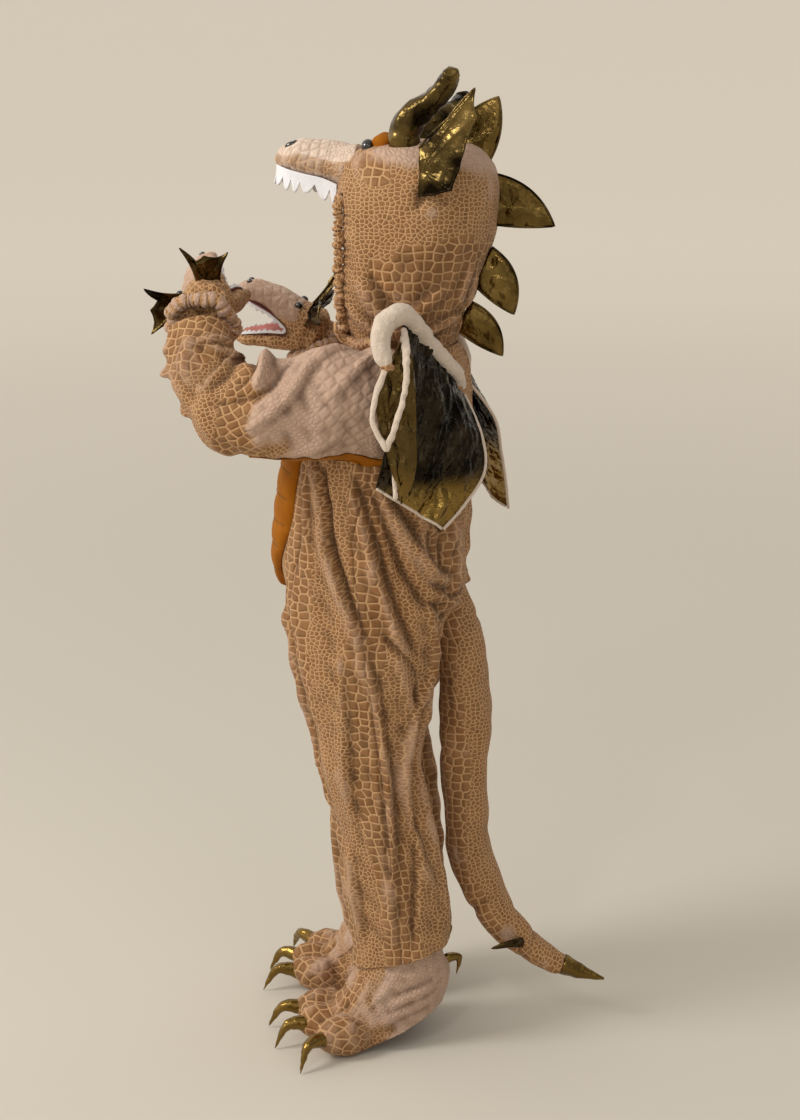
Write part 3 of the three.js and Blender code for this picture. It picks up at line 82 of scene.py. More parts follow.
# Sleeves: middle line, half width sideways, half depth.
UPPER_ARM = {
    "left": (
        (50, 16, -48, 42, 52), (92, -12, -43, 46, 65), (122, -54, -37, 45, 65), (134, -104, -38, 44, 62),
        (137, -150, -43, 44, 57), (131, -194, -48, 42, 49), (127, -222, -52, 33, 37),
        (126, -236, -54, 16, 18),
    ),
    "right": (
        (-50, 16, -50, 42, 52), (-92, -8, -52, 46, 63), (-120, -38, -68, 45, 60),
        (-134, -66, -88, 43, 52),
        (-138, -84, -102, 34, 40), (-139, -94, -110, 16, 18),
    ),
}
FOREARM = {
    "left": (
        (126, -200, -48, 30, 32), (119, -214, -30, 37, 39), (108, -226, -4, 38, 40),
        (96, -232, 14, 37, 39),
        (79, -237, 37, 36, 38),
    ),
    "right": (
        (-138, -72, -92, 30, 31), (-133, -90, -80, 38, 39), (-124, -108, -60, 38, 39),
        (-116, -118, -44, 36, 38),
        (-110, -124, -32, 34, 36),
    ),
}

# Hood levels: height, half width, front, back. The head leans to the wearer's right from the neck up.
HOOD = (
    (252.6, 2, 14, 20), (252, 22, -14, 46), (249, 48, -44, 68), (240, 72, -66, 86), (222, 88, -80, 99),
    (196, 96, -86, 105), (167, 98, -88, 105), (137, 96, -88, 100), (102, 88, -86, 86), (65, 76, -80, 74),
    (36, 63, -73, 62), (15, 59.8, -69.8, 57.6), (0, 58, -68, 55),
)
HOOD_EASE = 0.92
FACE_Y = -70
FACE_LOW = 20
FACE_HIGH = 188
HEAD_ROLL = 7
ROLL_FOOT = 30
ROLL_TOP = 110

# Stuffed upper jaw: middle line, half width, depth above and below.
SNOUT = (
    (0, -58, 218, 50, 28, 26), (0, -76, 216, 46, 31, 26), (0, -94, 218, 38, 31, 21),
    (0, -116, 221, 34, 29, 20),
    (0, -134, 223, 31, 26, 16), (0, -148, 223, 25, 20, 10), (0, -156, 222, 15, 11, 6),
    (0, -159, 221, 5, 4, 2),
)
HORN = {
    "left": (
        (50, 2, 236, 17, 18), (52, -2, 256, 17, 19), (56, 8, 276, 16, 18), (62, 30, 294, 14, 14),
        (70, 48, 312, 12, 12), (78, 55, 326, 10, 10), (80, 57, 333, 5, 5),
    ),
    "right": (
        (-50, 2, 236, 17, 18), (-56, 0, 254, 17, 18), (-68, 10, 268, 16, 17), (-84, 28, 280, 14, 14),
        (-100, 42, 290, 12, 12), (-112, 48, 302, 10, 10), (-115, 49, 308, 5, 5),
    ),
}
EAR = (
    (0, 0), (22, 2), (44, 8), (53, 30), (59, 52), (65, 72), (74, 90), (69, 103), (71, 121),
    (37, 86), (0, 54),
)
# Spikes: name, root corners as forward and height, tip, bow of each edge.
SPIKES = (
    ("spike_crown", (40, 244), (92, 226), (102, 302), 10, -8),
    ("spike_upper", (96, 214), (102, 154), (171, 154), 14, -2),
    ("spike_middle", (98, 128), (78, 84), (126, 50), 16, -3),
    ("spike_lower", (74, 64), (60, 28), (113, 0), 14, -3),
)
TAIL = (
    (0, 46, -276, 20, 20), (0, 54, -306, 22, 22), (0, 62, -345, 28, 29), (0, 68, -390, 31, 32),
    (0, 72, -436, 32, 34), (0, 72, -500, 30, 31), (0, 72, -565, 29, 29), (0, 80, -635, 28, 29),
    (0, 102, -698, 25, 26), (0, 133, -742, 22, 22), (0, 166, -768, 17, 18), (0, 199, -784, 13, 13),
)
TAIL_TIP = (
    (0, 199.4, -784.2, 13, 13), (0, 216, -791, 10, 10), (0, 232, -796, 6.5, 6.5),
    (0, 250, -801, 1.5, 1.5),
)

# Wings, for the left side; the right side mirrors across.
WING_ARM = (
    (22, 64, -34, 9, 9), (46, 60, -10, 10, 10), (82, 40, 24, 10, 10), (116, 24, 56, 11, 12),
    (142, 12, 74, 12, 13),
    (162, -4, 66, 12, 13), (172, -8, 44, 10, 11), (176, -2, 26, 8, 9), (176, 1, 20, 4, 5),
)
REAR_EDGE = {
    "left": ((26, 68, -36), (50, 94, -84), (64, 100, -126), (92, 80, -160), (116, 58, -184)),
    "right": ((26, 68, -36), (62, 98, -90), (92, 104, -140), (124, 107, -188), (150, 108, -228)),
}
FRONT_EDGE = ((140, 14, 70), (156, 12, 6), (164, 2, -50), (166, -6, -92), (166, -14, -124))
FOLD_REAR = ((152, 20, 56), (164, 30, 10), (170, 33, -50), (170, 32, -106), (170, 16, -142))
FOLD_FRONT = ((178, 0, 26), (186, -10, -10), (190, -8, -40), (192, 0, -66), (184, 10, -110))
WING_STRIP = ((150, 16, 50), (158, 18, 10), (166, 16, -40), (171, 10, -90), (172, 10, -132))
RIB_LONG = ((150, 16, 58), (174, 22, 30), (186, 22, -4), (198, 12, -46), (200, 3, -70))
RIB_SHORT = ((176, 2, 24), (192, -10, -10), (200, -12, -40), (200, 3, -70))

# Hand puppets, in their own frame: ahead, crown, aside, half width, depth above and below.
PUPPET_UPPER = (
    (2, -1, 0, 34, 30, 30), (22, 11, 0, 33, 22, 20), (50, 22, 0, 28, 18, 13), (76, 26, 0, 24, 14, 11),
    (93, 24, 0, 14, 9, 7), (99, 22, 0, 5, 3, 3),
)
PUPPET_JAW = (
    (-6, -14, 0, 22, 12, 12), (18, -20, 0, 27, 12, 14), (50, -26, 0, 25, 9, 12), (75, -33, 0, 20, 7, 10),
    (87, -36, 0, 8, 4, 5),
)
PUPPET_MOUTH = (
    (88, 15, 12), (70, 12, 19), (46, 6, 23), (25, -7, 24), (46, -13.5, 22), (66, -21, 18), (80, -27, 12),
)
PUPPET_EAR = ((-14, 0), (-28, 46), (-15, 40), (0, 43), (11, 33), (29, 49), (14, 0))
PUPPETS = {
    "left": {
        "hub": (29, -238, 58), "ahead": (-0.98, 0, 0.17), "crown": (0, -0.7, 0.7),
        "wrist": ((-36, -10, 8, 27, 27, 27), (-18, -5, 4, 31, 30, 30)),
    },
    "right": {
        "hub": (-108, -138, 6), "ahead": (0, -0.97, 0.24), "crown": (0, 0.24, 0.97),
        "wrist": ((-20, -22, 0, 27, 27, 27), (-11, -12, 0, 31, 29, 29)),
    },
}

# Shoe covers, in the foot's own frame: height, ahead of the heel, outward, half length, half width.
COVER = (
    (-732, 34, 5, 50, 42), (-756, 34, 4, 53, 45), (-780, 36, 2, 62, 49), (-804, 46, 0, 72, 51),
    (-824, 60, -1, 82, 54), (-840, 64, -2, 84, 55),
)
COVER_SLOPE = 19
TOES = (("outer", 124, 40, 188, 76), ("middle", 132, -3, 200, 2), ("inner", 124, -42, 192, -58))
FEET = {
    "left": {"side": 1, "x": 40, "y": 30, "splay": 26, "ankle": (35, 5)},
    "right": {"side": -1, "x": -72, "y": 2, "splay": 5, "ankle": (27, 2)},
}

# The CAD nodes of a puppet's ears, first the one towards its own left.
EAR_NODES = {
    "left": ("puppet_ear_left_outer", "puppet_ear_left_inner"),
    "right": ("puppet_ear_right_outer", "puppet_ear_right_inner"),
}


# Numbers for forms.

def unit(v):
    """Vectors of length one, row by row."""
    v = np.asarray(v, float)
    length = np.linalg.norm(v, axis=-1, keepdims=True)
    return v / np.maximum(length, 1e-9)


def blend(a, b, t):
    return a + (b - a) * t


def ramp(value, low, high):
    """0 below low, 1 above high, smooth between."""
    t = np.clip((np.asarray(value, float) - low) / (high - low), 0, 1)
    return t * t * (3 - 2 * t)


def rows_at(table, share):
    """Rows of a table at shares of its length, every column eased between its neighbours."""
    rows = np.asarray(table, float)
    place = np.clip(np.asarray(share, float), 0, 1) * (len(rows) - 1)
    low = np.minimum(place.astype(int), len(rows) - 2)
    part = (place - low)[..., None]
    p0 = rows[np.maximum(low - 1, 0)]
    p1 = rows[low]
    p2 = rows[low + 1]
    p3 = rows[np.minimum(low + 2, len(rows) - 1)]
    c1 = (p2 - p0) / 2
    c2 = p0 - 2.5 * p1 + 2 * p2 - 0.5 * p3
    c3 = 1.5 * (p1 - p2) + 0.5 * (p3 - p0)
    return p1 + part * (c1 + part * (c2 + part * c3))


def at_level(table, height):
    """Rows of a table whose first column is a falling height."""
    rows = np.asarray(table, float)
    place = np.interp(-np.asarray(height, float), -rows[:, 0], np.arange(len(rows)))
    return rows_at(table, place / (len(rows) - 1))


def oval(angle, power=2.0):
    """Cosine and sine of a rounded square, a circle at power 2."""
    c = np.cos(angle)
    s = np.sin(angle)
    return np.sign(c) * np.abs(c) ** (2 / power), np.sign(s) * np.abs(s) ** (2 / power)


def half_turn(angle):
    """The same angle between minus and plus half a turn."""
    return (angle + math.pi) % (2 * math.pi) - math.pi


def around(count):
    return np.linspace(0, 2 * math.pi, count, endpoint=False)


def smooth_path(points, count):
    return rows_at(points, np.linspace(0, 1, count))


def path_length(points):
    steps = np.linalg.norm(np.diff(points, axis=0), axis=1)
    return np.concatenate([[0], np.cumsum(steps)])


def lumps(points, size, seed=0):
    """A soft uneven field from -1 to 1 with lumps of about that size."""
    spread = np.random.default_rng(seed)
    total = np.zeros(len(points))
    for _ in range(7):
        way = unit(spread.normal(size=3)) * (2 * math.pi / size) * spread.uniform(0.6, 1.3)
        total += np.sin(points @ way + spread.uniform(0, 6.3))
    return total / 3.2


# A hollow this deep, in millimetres, takes the full shade of a fold.
FOLD_SHADE = 0.9


class Form:
    """Points in millimetres, faces, and what each corner or point carries."""

    def __init__(self, points, faces, corners=None, values=None):
        self.points = np.asarray(points, float).reshape(-1, 3)
        self.faces = [tuple(int(k) for k in face) for face in faces]
        total = sum(len(face) for face in self.faces)
        self.corners = np.zeros((total, 2)) if corners is None else np.asarray(corners, float).reshape(-1, 2)
        self.values = dict(values or {})

    def normals(self):
        """Outward direction at each point, from the faces round it."""
        total = np.zeros_like(self.points)
        for size in set(len(face) for face in self.faces):
            group = np.array([face for face in self.faces if len(face) == size])
            if size == 3:
                cross = np.cross(self.points[group[:, 1]] - self.points[group[:, 0]],
                                 self.points[group[:, 2]] - self.points[group[:, 0]])
            else:
                half = size // 2
                cross = np.cross(self.points[group[:, half]] - self.points[group[:, 0]],
                                 self.points[group[:, -1]] - self.points[group[:, 1]])
            for k in range(size):
                for axis in range(3):
                    total[:, axis] += np.bincount(group[:, k], cross[:, axis], len(self.points))
        return unit(total)

    def volume(self):
        total = 0.0
        for face in self.faces:
            a = self.points[face[0]]
            for k in range(1, len(face) - 1):
                total += float(np.dot(a, np.cross(self.points[face[k]], self.points[face[k + 1]])))
        return total / 6

    def turned(self):
        """The same form with every face the other way round."""
        starts = np.cumsum([0] + [len(face) for face in self.faces])
        order = np.concatenate([np.arange(starts[k], starts[k + 1])[::-1] for k in range(len(self.faces))])
        return Form(self.points, [face[::-1] for face in self.faces], self.corners[order], self.values)

    def outward(self):
        return self.turned() if self.volume() < 0 else self

    def build(self, name, material):
        """The form as a Blender object, in metres, smooth shaded."""
        if name in bpy.data.objects:
            name += "_sewn"
        mesh = bpy.data.meshes.new(name)
        mesh.from_pydata((self.points * MM).tolist(), [], self.faces)
        # Painted shade: how deep each point lies in a hollow is kept here to darken the colour there.
        if "nap" in self.values:
            quads = np.array([face for face in self.faces if len(face) == 4])
            sunk = np.einsum("ij,ij->i", relaxed(self.points, quads, 5) - self.points, self.normals())
            self.values["fold"] = np.clip(sunk / FOLD_SHADE + self.values.get("fold", 0), 0, 1)
        layer = mesh.uv_layers.new(name="cloth")
        layer.data.foreach_set("uv", (self.corners * MM).ravel())
        for key, value in self.values.items():
            attribute = mesh.attributes.new(key, "FLOAT", "POINT")
            attribute.data.foreach_set("value", np.asarray(value, np.float32))
        mesh.polygons.foreach_set("use_smooth", np.ones(len(mesh.polygons), bool))
        mesh.update()
        thing = bpy.data.objects.new(name, mesh)
        bpy.context.scene.collection.objects.link(thing)
        mesh.materials.append(material)
        return thing


def joined(*forms):
    """Several forms as one."""
    points = []
    faces = []
    corners = []
    keys = set()
    for form in forms:
        keys.update(form.values)
    values = {key: [] for key in keys}
    base = 0
    for form in forms:
        points.append(form.points)
        faces.extend(tuple(k + base for k in face) for face in form.faces)
        corners.append(form.corners)
        for key in keys:
            values[key].append(np.asarray(form.values.get(key, np.zeros(len(form.points))), float))
        base += len(form.points)
    values = {key: np.concatenate(value) for key, value in values.items()}
    return Form(np.concatenate(points), faces, np.concatenate(corners), values)


def grid_form(grid, wrap=True):
    """A form from a grid of points: rows along it, columns round it, its ends closed if it wraps."""
    rows, cols = grid.shape[:2]
    span = cols if wrap else cols - 1
    i, j = np.meshgrid(np.arange(rows - 1), np.arange(span), indexing="ij")
    i = i.ravel()
    j = j.ravel()
    k = (j + 1) % cols
    faces = np.stack([i * cols + j, i * cols + k, (i + 1) * cols + k, (i + 1) * cols + j], 1)
    ring = np.concatenate([grid, grid[:, :1]], 1) if wrap else grid
    wide = ring.shape[1]
    across = np.zeros((rows, wide))
    across[:, 1:] = np.cumsum(np.linalg.norm(np.diff(ring, axis=1), axis=2), axis=1)
    across -= across.mean(1, keepdims=True)
    along = np.repeat(path_length(grid.mean(1))[:, None], wide, 1)
    spots = np.stack([i * wide + j, i * wide + j + 1, (i + 1) * wide + j + 1, (i + 1) * wide + j], 1)
    flat = np.stack([across.ravel(), along.ravel()], 1)
    corners = flat[spots.ravel()]
    faces = faces.tolist()
    if not wrap:
        return Form(grid, faces, corners)
    first = np.arange(cols)[::-1]
    last = np.arange(cols)
    faces.append(first.tolist())
    faces.append(((rows - 1) * cols + last).tolist())
    corners = np.concatenate([corners, flat[first], flat[(rows - 1) * wide + last]])
    return Form(grid, faces, corners).outward()


def limb(table, steps, count, side, far=0.0, round_near=False, round_far=False):
    """Rings square to a middle line: x, y, z, half width, half depth and, if given, the depth below."""
    share = np.linspace(0, 1, steps + 1)
    rows = rows_at(table, share)
    ahead = rows_at(table, np.minimum(share + 0.02, 1))
    behind = rows_at(table, np.maximum(share - 0.02, 0))
    way = unit((ahead - behind)[:, :3])
    c, s = oval(around(count))
    sideways = np.asarray(side, float)
    rings = []
    frames = []
    for i in range(steps + 1):
        sideways = unit(sideways - sideways @ way[i] * way[i])
        upward = np.cross(way[i], sideways)
        below = rows[i, 5] if rows.shape[1] > 5 else rows[i, 4]
        rise = np.where(s > 0, rows[i, 4], below)
        rings.append(rows[i, :3] + np.outer(rows[i, 3] * c, sideways) + np.outer(rise * s, upward))
        frames.append((sideways.copy(), upward))
    grid = np.array(rings)
    middles = rows[:, :3]
    if far > 0:
        grid = np.concatenate([grid, [grid[-1] + way[-1] * far]])
    if round_near:
        grid = np.concatenate([round_end(grid[0], middles[0], -way[0])[::-1], grid])
    if round_far:
        grid = np.concatenate([grid, round_end(grid[-1], middles[-1], way[-1])])
    return grid, frames


def round_end(ring, middle, way):
    """Rings that close a tube with a rounded end."""
    reach = np.linalg.norm(ring - middle, axis=1).mean()
    more = []
    for a in (0.45, 0.85, 1.2, 1.45):
        more.append(middle + (ring - middle) * math.cos(a) + way * reach * math.sin(a) * 0.8)
    return np.array(more)


def fused(name, forms, voxel):
    """One closed skin round several forms, as points and four-sided faces."""
    raw = joined(*forms).build(name, plain_material())
    modifier = raw.modifiers.new("fuse", "REMESH")
    modifier.mode = "VOXEL"
    modifier.voxel_size = voxel * MM
    modifier.adaptivity = 0
    points, faces = evaluated_arrays(raw)
    bpy.data.objects.remove(raw)
    return points, faces


def evaluated_arrays(thing):
    bpy.context.view_layer.update()
    graph = bpy.context.evaluated_depsgraph_get()
    mesh = bpy.data.meshes.new_from_object(thing.evaluated_get(graph))
    points = np.empty(len(mesh.vertices) * 3)
    mesh.vertices.foreach_get("co", points)
    loops = np.empty(len(mesh.loops), int)
    mesh.loops.foreach_get("vertex_index", loops)
    sizes = np.empty(len(mesh.polygons), int)
    mesh.polygons.foreach_get("loop_total", sizes)
    starts = np.concatenate([[0], np.cumsum(sizes)[:-1]])
    four = sizes == 4
    faces = loops[starts[four][:, None] + np.arange(4)]
    bpy.data.meshes.remove(mesh)
    return points.reshape(-1, 3) / MM, faces


def relaxed(points, faces, times, amount=0.5):
    """Points eased towards the middle of their neighbours."""
    edges = np.concatenate([faces[:, [0, 1]], faces[:, [1, 2]], faces[:, [2, 3]], faces[:, [3, 0]]])
    count = np.bincount(edges.ravel(), minlength=len(points)).astype(float)
    for _ in range(times):
        total = np.zeros_like(points)
        for axis in range(points.shape[1]):
            total[:, axis] += np.bincount(edges[:, 0], points[edges[:, 1], axis], len(points))
            total[:, axis] += np.bincount(edges[:, 1], points[edges[:, 0], axis], len(points))
        target = total / np.maximum(count, 1)[:, None]
        points = points + (target - points) * amount
    return points


def quad_normals(points, faces):
    cross = np.cross(points[faces[:, 2]] - points[faces[:, 0]], points[faces[:, 3]] - points[faces[:, 1]])
    total = np.zeros_like(points)
    for k in range(4):
        for axis in range(3):
            total[:, axis] += np.bincount(faces[:, k], cross[:, axis], len(points))
    return unit(total)


def away_from(points, path):
    """Distance to a line, share along it and the nearest point's direction, for each point."""
    best = np.full(len(points), 1e9)
    share = np.zeros(len(points))
    offset = np.zeros_like(points)
    way = np.zeros_like(points)
    last = len(path) - 1
    for k in range(last):
        run = path[k + 1] - path[k]
        t = np.clip((points - path[k]) @ run / max(run @ run, 1e-9), 0, 1)
        gap = points - (path[k] + t[:, None] * run)
        distance = np.linalg.norm(gap, axis=1)
        near = distance < best
        best[near] = distance[near]
        share[near] = (k + t[near]) / last
        offset[near] = gap[near]
        way[near] = unit(run)
    return best, share, offset, way


def crease_rise(points, normals, creases):
    """Height of listed folds, ridges or troughs, soft on one side and sharp on the other."""
    total = np.zeros(len(points))
    for path, soft, sharp, rise in creases:
        line = smooth_path(path, 14)
        reach = 3 * max(soft, sharp)
        low = line.min(0) - reach
        high = line.max(0) + reach
        near = np.all((points > low) & (points < high), axis=1)
        if not near.any():
            continue
        distance, share, offset, way = away_from(points[near], line)
        side = np.einsum("ij,ij->i", np.cross(way, normals[near]), offset)
        width = np.where(side > 0, soft, sharp)
        taper = np.sqrt(np.clip(np.sin(math.pi * np.clip(share, 0.02, 0.98)), 0, 1))
        total[near] += rise * np.exp(-(distance / width) ** 2) * taper
    return total


def leaned(points):
    """The head's lean to the wearer's right."""
    points = np.asarray(points, float)
    share = np.clip((points[..., 2] - ROLL_FOOT) / (ROLL_TOP - ROLL_FOOT), 0, 1)
    a = -share * math.radians(HEAD_ROLL)
    rise = points[..., 2] - ROLL_FOOT
    x = points[..., 0] * np.cos(a) + rise * np.sin(a)
    z = ROLL_FOOT - points[..., 0] * np.sin(a) + rise * np.cos(a)
    return np.stack([x, points[..., 1], z], -1)


# Shader sums and nodes.

class Term:
    """A number on a surface, so that sums in Python become Math nodes."""

    def __init__(self, paint, socket):
        self.paint = paint
        self.socket = socket

    def _sum(self, operation, first, second):
        return self.paint.math(operation, first, second)

    def __add__(self, other):
        return self._sum("ADD", self, other)

    __radd__ = __add__

    def __mul__(self, other):
        return self._sum("MULTIPLY", self, other)

    __rmul__ = __mul__

    def __sub__(self, other):
        return self._sum("SUBTRACT", self, other)

    def __rsub__(self, other):
        return self._sum("SUBTRACT", other, self)


class Paint:
    """One material and the nodes in it."""

    def __init__(self, name):
        self.material = bpy.data.materials.new(name)
        self.material.use_nodes = True
        self.tree = self.material.node_tree
        self.tree.nodes.clear()
        self.output = self.tree.nodes.new("ShaderNodeOutputMaterial")
        self.shader = self.tree.nodes.new("ShaderNodeBsdfPrincipled")
        self.tree.links.new(self.shader.outputs[0], self.output.inputs[0])

    def node(self, kind, settings=None, inputs=None):
        made = self.tree.nodes.new(kind)
        for key, value in (settings or {}).items():
            setattr(made, key, value)
        for key, value in (inputs or {}).items():
            self.feed(made.inputs[key], value)
        return made

    def feed(self, socket, value):
        if isinstance(value, Term):
            self.tree.links.new(value.socket, socket)
        elif isinstance(value, bpy.types.NodeSocket):
            self.tree.links.new(value, socket)
        elif socket.type == "RGBA" and len(value) == 3:
            socket.default_value = (*value, 1)
        else:
            socket.default_value = value

    def math(self, operation, first, second=0.0):
        made = self.node("ShaderNodeMath", {"operation": operation}, {0: first, 1: second})
        return Term(self, made.outputs[0])

    def step(self, value, low, high):
        made = self.node("ShaderNodeMapRange", {"interpolation_type": "SMOOTHSTEP"},
                         {"Value": value, "From Min": low, "From Max": high})
        return Term(self, made.outputs["Result"])

    def noise(self, vector, scale, detail=2.0, rough=0.5):
        made = self.node("ShaderNodeTexNoise", {"noise_dimensions": "3D"},
                         {"Vector": vector, "Scale": scale, "Detail": detail, "Roughness": rough})
        return Term(self, made.outputs["Fac"])

    def colour(self, factor, first, second):
        made = self.node("ShaderNodeMix", {"data_type": "RGBA", "blend_type": "MIX"},
                         {0: factor, 6: first, 7: second})
        return made.outputs[2]

    def carried(self, name):
        made = self.node("ShaderNodeAttribute", {"attribute_type": "GEOMETRY", "attribute_name": name})
        return Term(self, made.outputs["Fac"])

    def scaled(self, vector, factors):
        made = self.node("ShaderNodeVectorMath", {"operation": "MULTIPLY"}, {0: vector, 1: factors})
        return made.outputs[0]

    def place(self):
        return self.node("ShaderNodeTexCoord").outputs["Object"]

    def cloth(self):
        return self.node("ShaderNodeUVMap", {"uv_map": "cloth"}).outputs["UV"]

    def bump(self, height, distance, strength=1.0, under=None):
        made = self.node("ShaderNodeBump", None,
                         {"Height": height, "Distance": distance, "Strength": strength})
        if under is not None:
            self.feed(made.inputs["Normal"], under)
        return made.outputs["Normal"]

    def finish(self, **sockets):
        for name, value in sockets.items():
            self.feed(self.shader.inputs[name.replace("_", " ")], value)
        return self.material


def tint(red, green, blue):
    """A colour as seen on a screen, made linear."""
    return tuple(c / 12.92 if c <= 0.04045 else ((c + 0.055) / 1.055) ** 2.4 for c in (red, green, blue))


def plain_material():
    found = bpy.data.materials.get("working cloth")
    return found or Paint("working cloth").finish(Base_Color=(0.5, 0.4, 0.3))


# Cloths.


def scale_cells(paint, spot, wide, uneven, flat):
    """Distance to the nearest net line and a steady number for each scale."""
    tall = 0.84 * wide
    dims = "2D" if flat else "3D"
    vector = paint.scaled(spot, (1, wide / tall, 1))
    edge = paint.node("ShaderNodeTexVoronoi", {"voronoi_dimensions": dims, "feature": "DISTANCE_TO_EDGE"},
                      {"Vector": vector, "Scale": 1 / wide, "Randomness": uneven})
    cell = paint.node("ShaderNodeTexVoronoi", {"voronoi_dimensions": dims, "feature": "F1"},
                      {"Vector": vector, "Scale": 1 / wide, "Randomness": uneven})
    own = paint.node("ShaderNodeSeparateColor", None, {"Color": cell.outputs["Color"]})
    return Term(paint, edge.outputs["Distance"]), Term(paint, own.outputs[0])


def scale_plush(name, flat=True, nap=(0.76, 0.645, 0.565)):
    """Short plush printed with tan scales on a cream net; cream pile in places, partly a painted sheen, and
    painted shade in the hollows.
    """
    tan = tuple(sizes().tan)
    net = tuple(sizes().cream)
    paint = Paint(name)
    spot = paint.cloth() if flat else paint.place()
    place = paint.place()
    wobble = paint.noise(place, 24, 2)
    big = paint.step(paint.carried("big") + (wobble - 0.5) * 0.7, 0.46, 0.54)
    edge_big, own_big = scale_cells(paint, spot, sizes().large_scale, 0.5, flat)
    edge_small, own_small = scale_cells(paint, spot, sizes().small_scale, 0.8, flat)
    line_big = 1 - paint.step(edge_big, 0.035, 0.12)
    line_small = 1 - paint.step(edge_small, 0.03, 0.18)
    line = line_small + (line_big - line_small) * big
    own = own_small + (own_big - own_small) * big
    pillow_big = paint.step(edge_big, 0.0, 0.34)
    pillow_small = paint.step(edge_small, 0.0, 0.36) * 0.55
    pillow = pillow_small + (pillow_big - pillow_small) * big
    drift = paint.noise(place, 9, 3)
    brush = paint.noise(paint.scaled(place, (1, 1, 0.45)), 60, 3, 0.6)
    dark = tuple(0.52 * c for c in tint(*tan))
    light = tuple(min(1, 1.2 * c) for c in tint(*tan))
    scales = paint.colour(own * 0.35 + drift * 0.9 - 0.12, dark, light)
    scales = paint.colour(brush * 0.5 - 0.06, scales, tint(*net))
    printed = paint.colour(line * 0.74, scales, tint(*net))
    # Cream pile where the piece's attribute asks for it: real cream pile on some pieces, painted sheen on
    # ridges, gathers and tops on others.
    cream = paint.colour(line * 0.30 + (own - 0.5) * 0.2 + (brush - 0.5) * 0.5 + 0.05, tint(*nap),
                         tint(0.60, 0.46, 0.375))
    share = paint.step(paint.carried("nap") + (brush - 0.5) * 0.5 + (drift - 0.5) * 0.4, 0.3, 0.7)
    colour = paint.colour(share, printed, cream)
    # Painted shade: the colour darkens towards deep brown in hollows and folds.
    colour = paint.colour(paint.carried("fold") * 0.66, colour, tint(0.27, 0.17, 0.09))
    fuzz = paint.noise(place, 1500, 2, 0.7)
    normal = paint.bump(fuzz, 0.0006, 0.55)
    normal = paint.bump(pillow + brush * 0.5, 0.0016, 0.75, normal)
    rough = 0.62 + brush * 0.22
    return paint.finish(Base_Color=colour, Roughness=rough, Normal=normal, Sheen_Weight=0.14,
                        Sheen_Roughness=0.42, Sheen_Tint=(1.0, 0.90, 0.80), Specular_IOR_Level=0.25)


def fleece(name, colour=(0.92, 0.87, 0.81), shade=(0.79, 0.71, 0.64)):
    """Curly cream pile of the wing arms and finger strips."""
    paint = Paint(name)
    place = paint.place()
    curl = paint.noise(place, 190, 4, 0.65)
    drift = paint.noise(place, 26, 2)
    mixed = paint.colour(curl * 0.9 + (drift - 0.5) * 0.5 - 0.05, tint(*shade), tint(*colour))
    normal = paint.bump(paint.noise(place, 1300, 2, 0.7), 0.0006, 0.5)
    normal = paint.bump(curl, 0.004, 0.7, normal)
    return paint.finish(Base_Color=mixed, Roughness=0.9, Normal=normal, Sheen_Weight=0.45,
                        Sheen_Roughness=0.5, Sheen_Tint=(1.0, 0.95, 0.9), Specular_IOR_Level=0.2)


def lame(name, colour=(0.54, 0.45, 0.26), shade=(0.11, 0.084, 0.048), crinkle=0.62, grain=38):
    """Coated metallic cloth, creased and shiny, gold where the piece carries a band."""
    paint = Paint(name)
    place = paint.place()
    warp = paint.noise(place, grain, 3, 0.55)
    folds = paint.node("ShaderNodeTexVoronoi", {"voronoi_dimensions": "3D", "feature": "DISTANCE_TO_EDGE"},
                       {"Vector": place, "Scale": grain * 0.9, "Randomness": 1.0})
    ridge = Term(paint, folds.outputs["Distance"])
    drift = paint.noise(place, 22, 3)
    # Painted reflection: near-black patches of base colour stand for dark surroundings reflected in the
    # metal, gold between them.
    mixed = paint.colour(drift * 2.4 - 0.9, tint(*shade), tint(*colour))
    mixed = paint.colour(paint.carried("band") * 0.9, mixed, tint(0.56, 0.45, 0.23))
    weave = paint.noise(place, 2400, 1, 0.5)
    normal = paint.bump(weave, 0.0002, 0.4)
    normal = paint.bump(ridge + warp * 1.2, 0.006, crinkle, normal)
    rough = 0.10 + drift * 0.14
    return paint.finish(Base_Color=mixed, Roughness=rough, Normal=normal, Metallic=1.0)


def velour(name, colour=(0.66, 0.395, 0.01), shade=(0.50, 0.268, 0.0)):
    """Orange brown cut pile."""
    paint = Paint(name)
    place = paint.place()
    brush = paint.noise(paint.scaled(place, (1, 1, 0.5)), 70, 3, 0.6)
    mixed = paint.colour(brush * 1.1 - 0.05, tint(*shade), tint(*colour))
    normal = paint.bump(paint.noise(place, 1900, 2, 0.7), 0.0005, 0.5)
    normal = paint.bump(brush, 0.002, 0.4, normal)
    return paint.finish(Base_Color=mixed, Roughness=0.85, Normal=normal, Sheen_Weight=0.15,
                        Sheen_Roughness=0.35, Sheen_Tint=(1.0, 0.7, 0.25), Specular_IOR_Level=0.2)


def felt(name, colour=(0.95, 0.95, 0.96), shade=(0.84, 0.84, 0.87)):
    """Matte pressed wool or brushed lining."""
    paint = Paint(name)
    place = paint.place()
    fibres = paint.noise(place, 420, 4, 0.7)
    mixed = paint.colour(fibres * 1.2 - 0.1, tint(*shade), tint(*colour))
    normal = paint.bump(fibres, 0.0008, 0.6)
    return paint.finish(Base_Color=mixed, Roughness=0.95, Normal=normal, Sheen_Weight=0.2,
                        Sheen_Roughness=0.5, Specular_IOR_Level=0.15)


def gloss(name, colour=(0.015, 0.015, 0.018)):
    """Shiny moulded button."""
    paint = Paint(name)
    place = paint.place()
    drift = paint.noise(place, 260, 2)
    mixed = paint.colour(drift, tint(*colour), tuple(2.2 * c for c in tint(*colour)))
    normal = paint.bump(drift, 0.0002, 0.2)
    return paint.finish(Base_Color=mixed, Roughness=0.07 + drift * 0.05, Normal=normal, Coat_Weight=0.8,
                        Specular_IOR_Level=0.6)


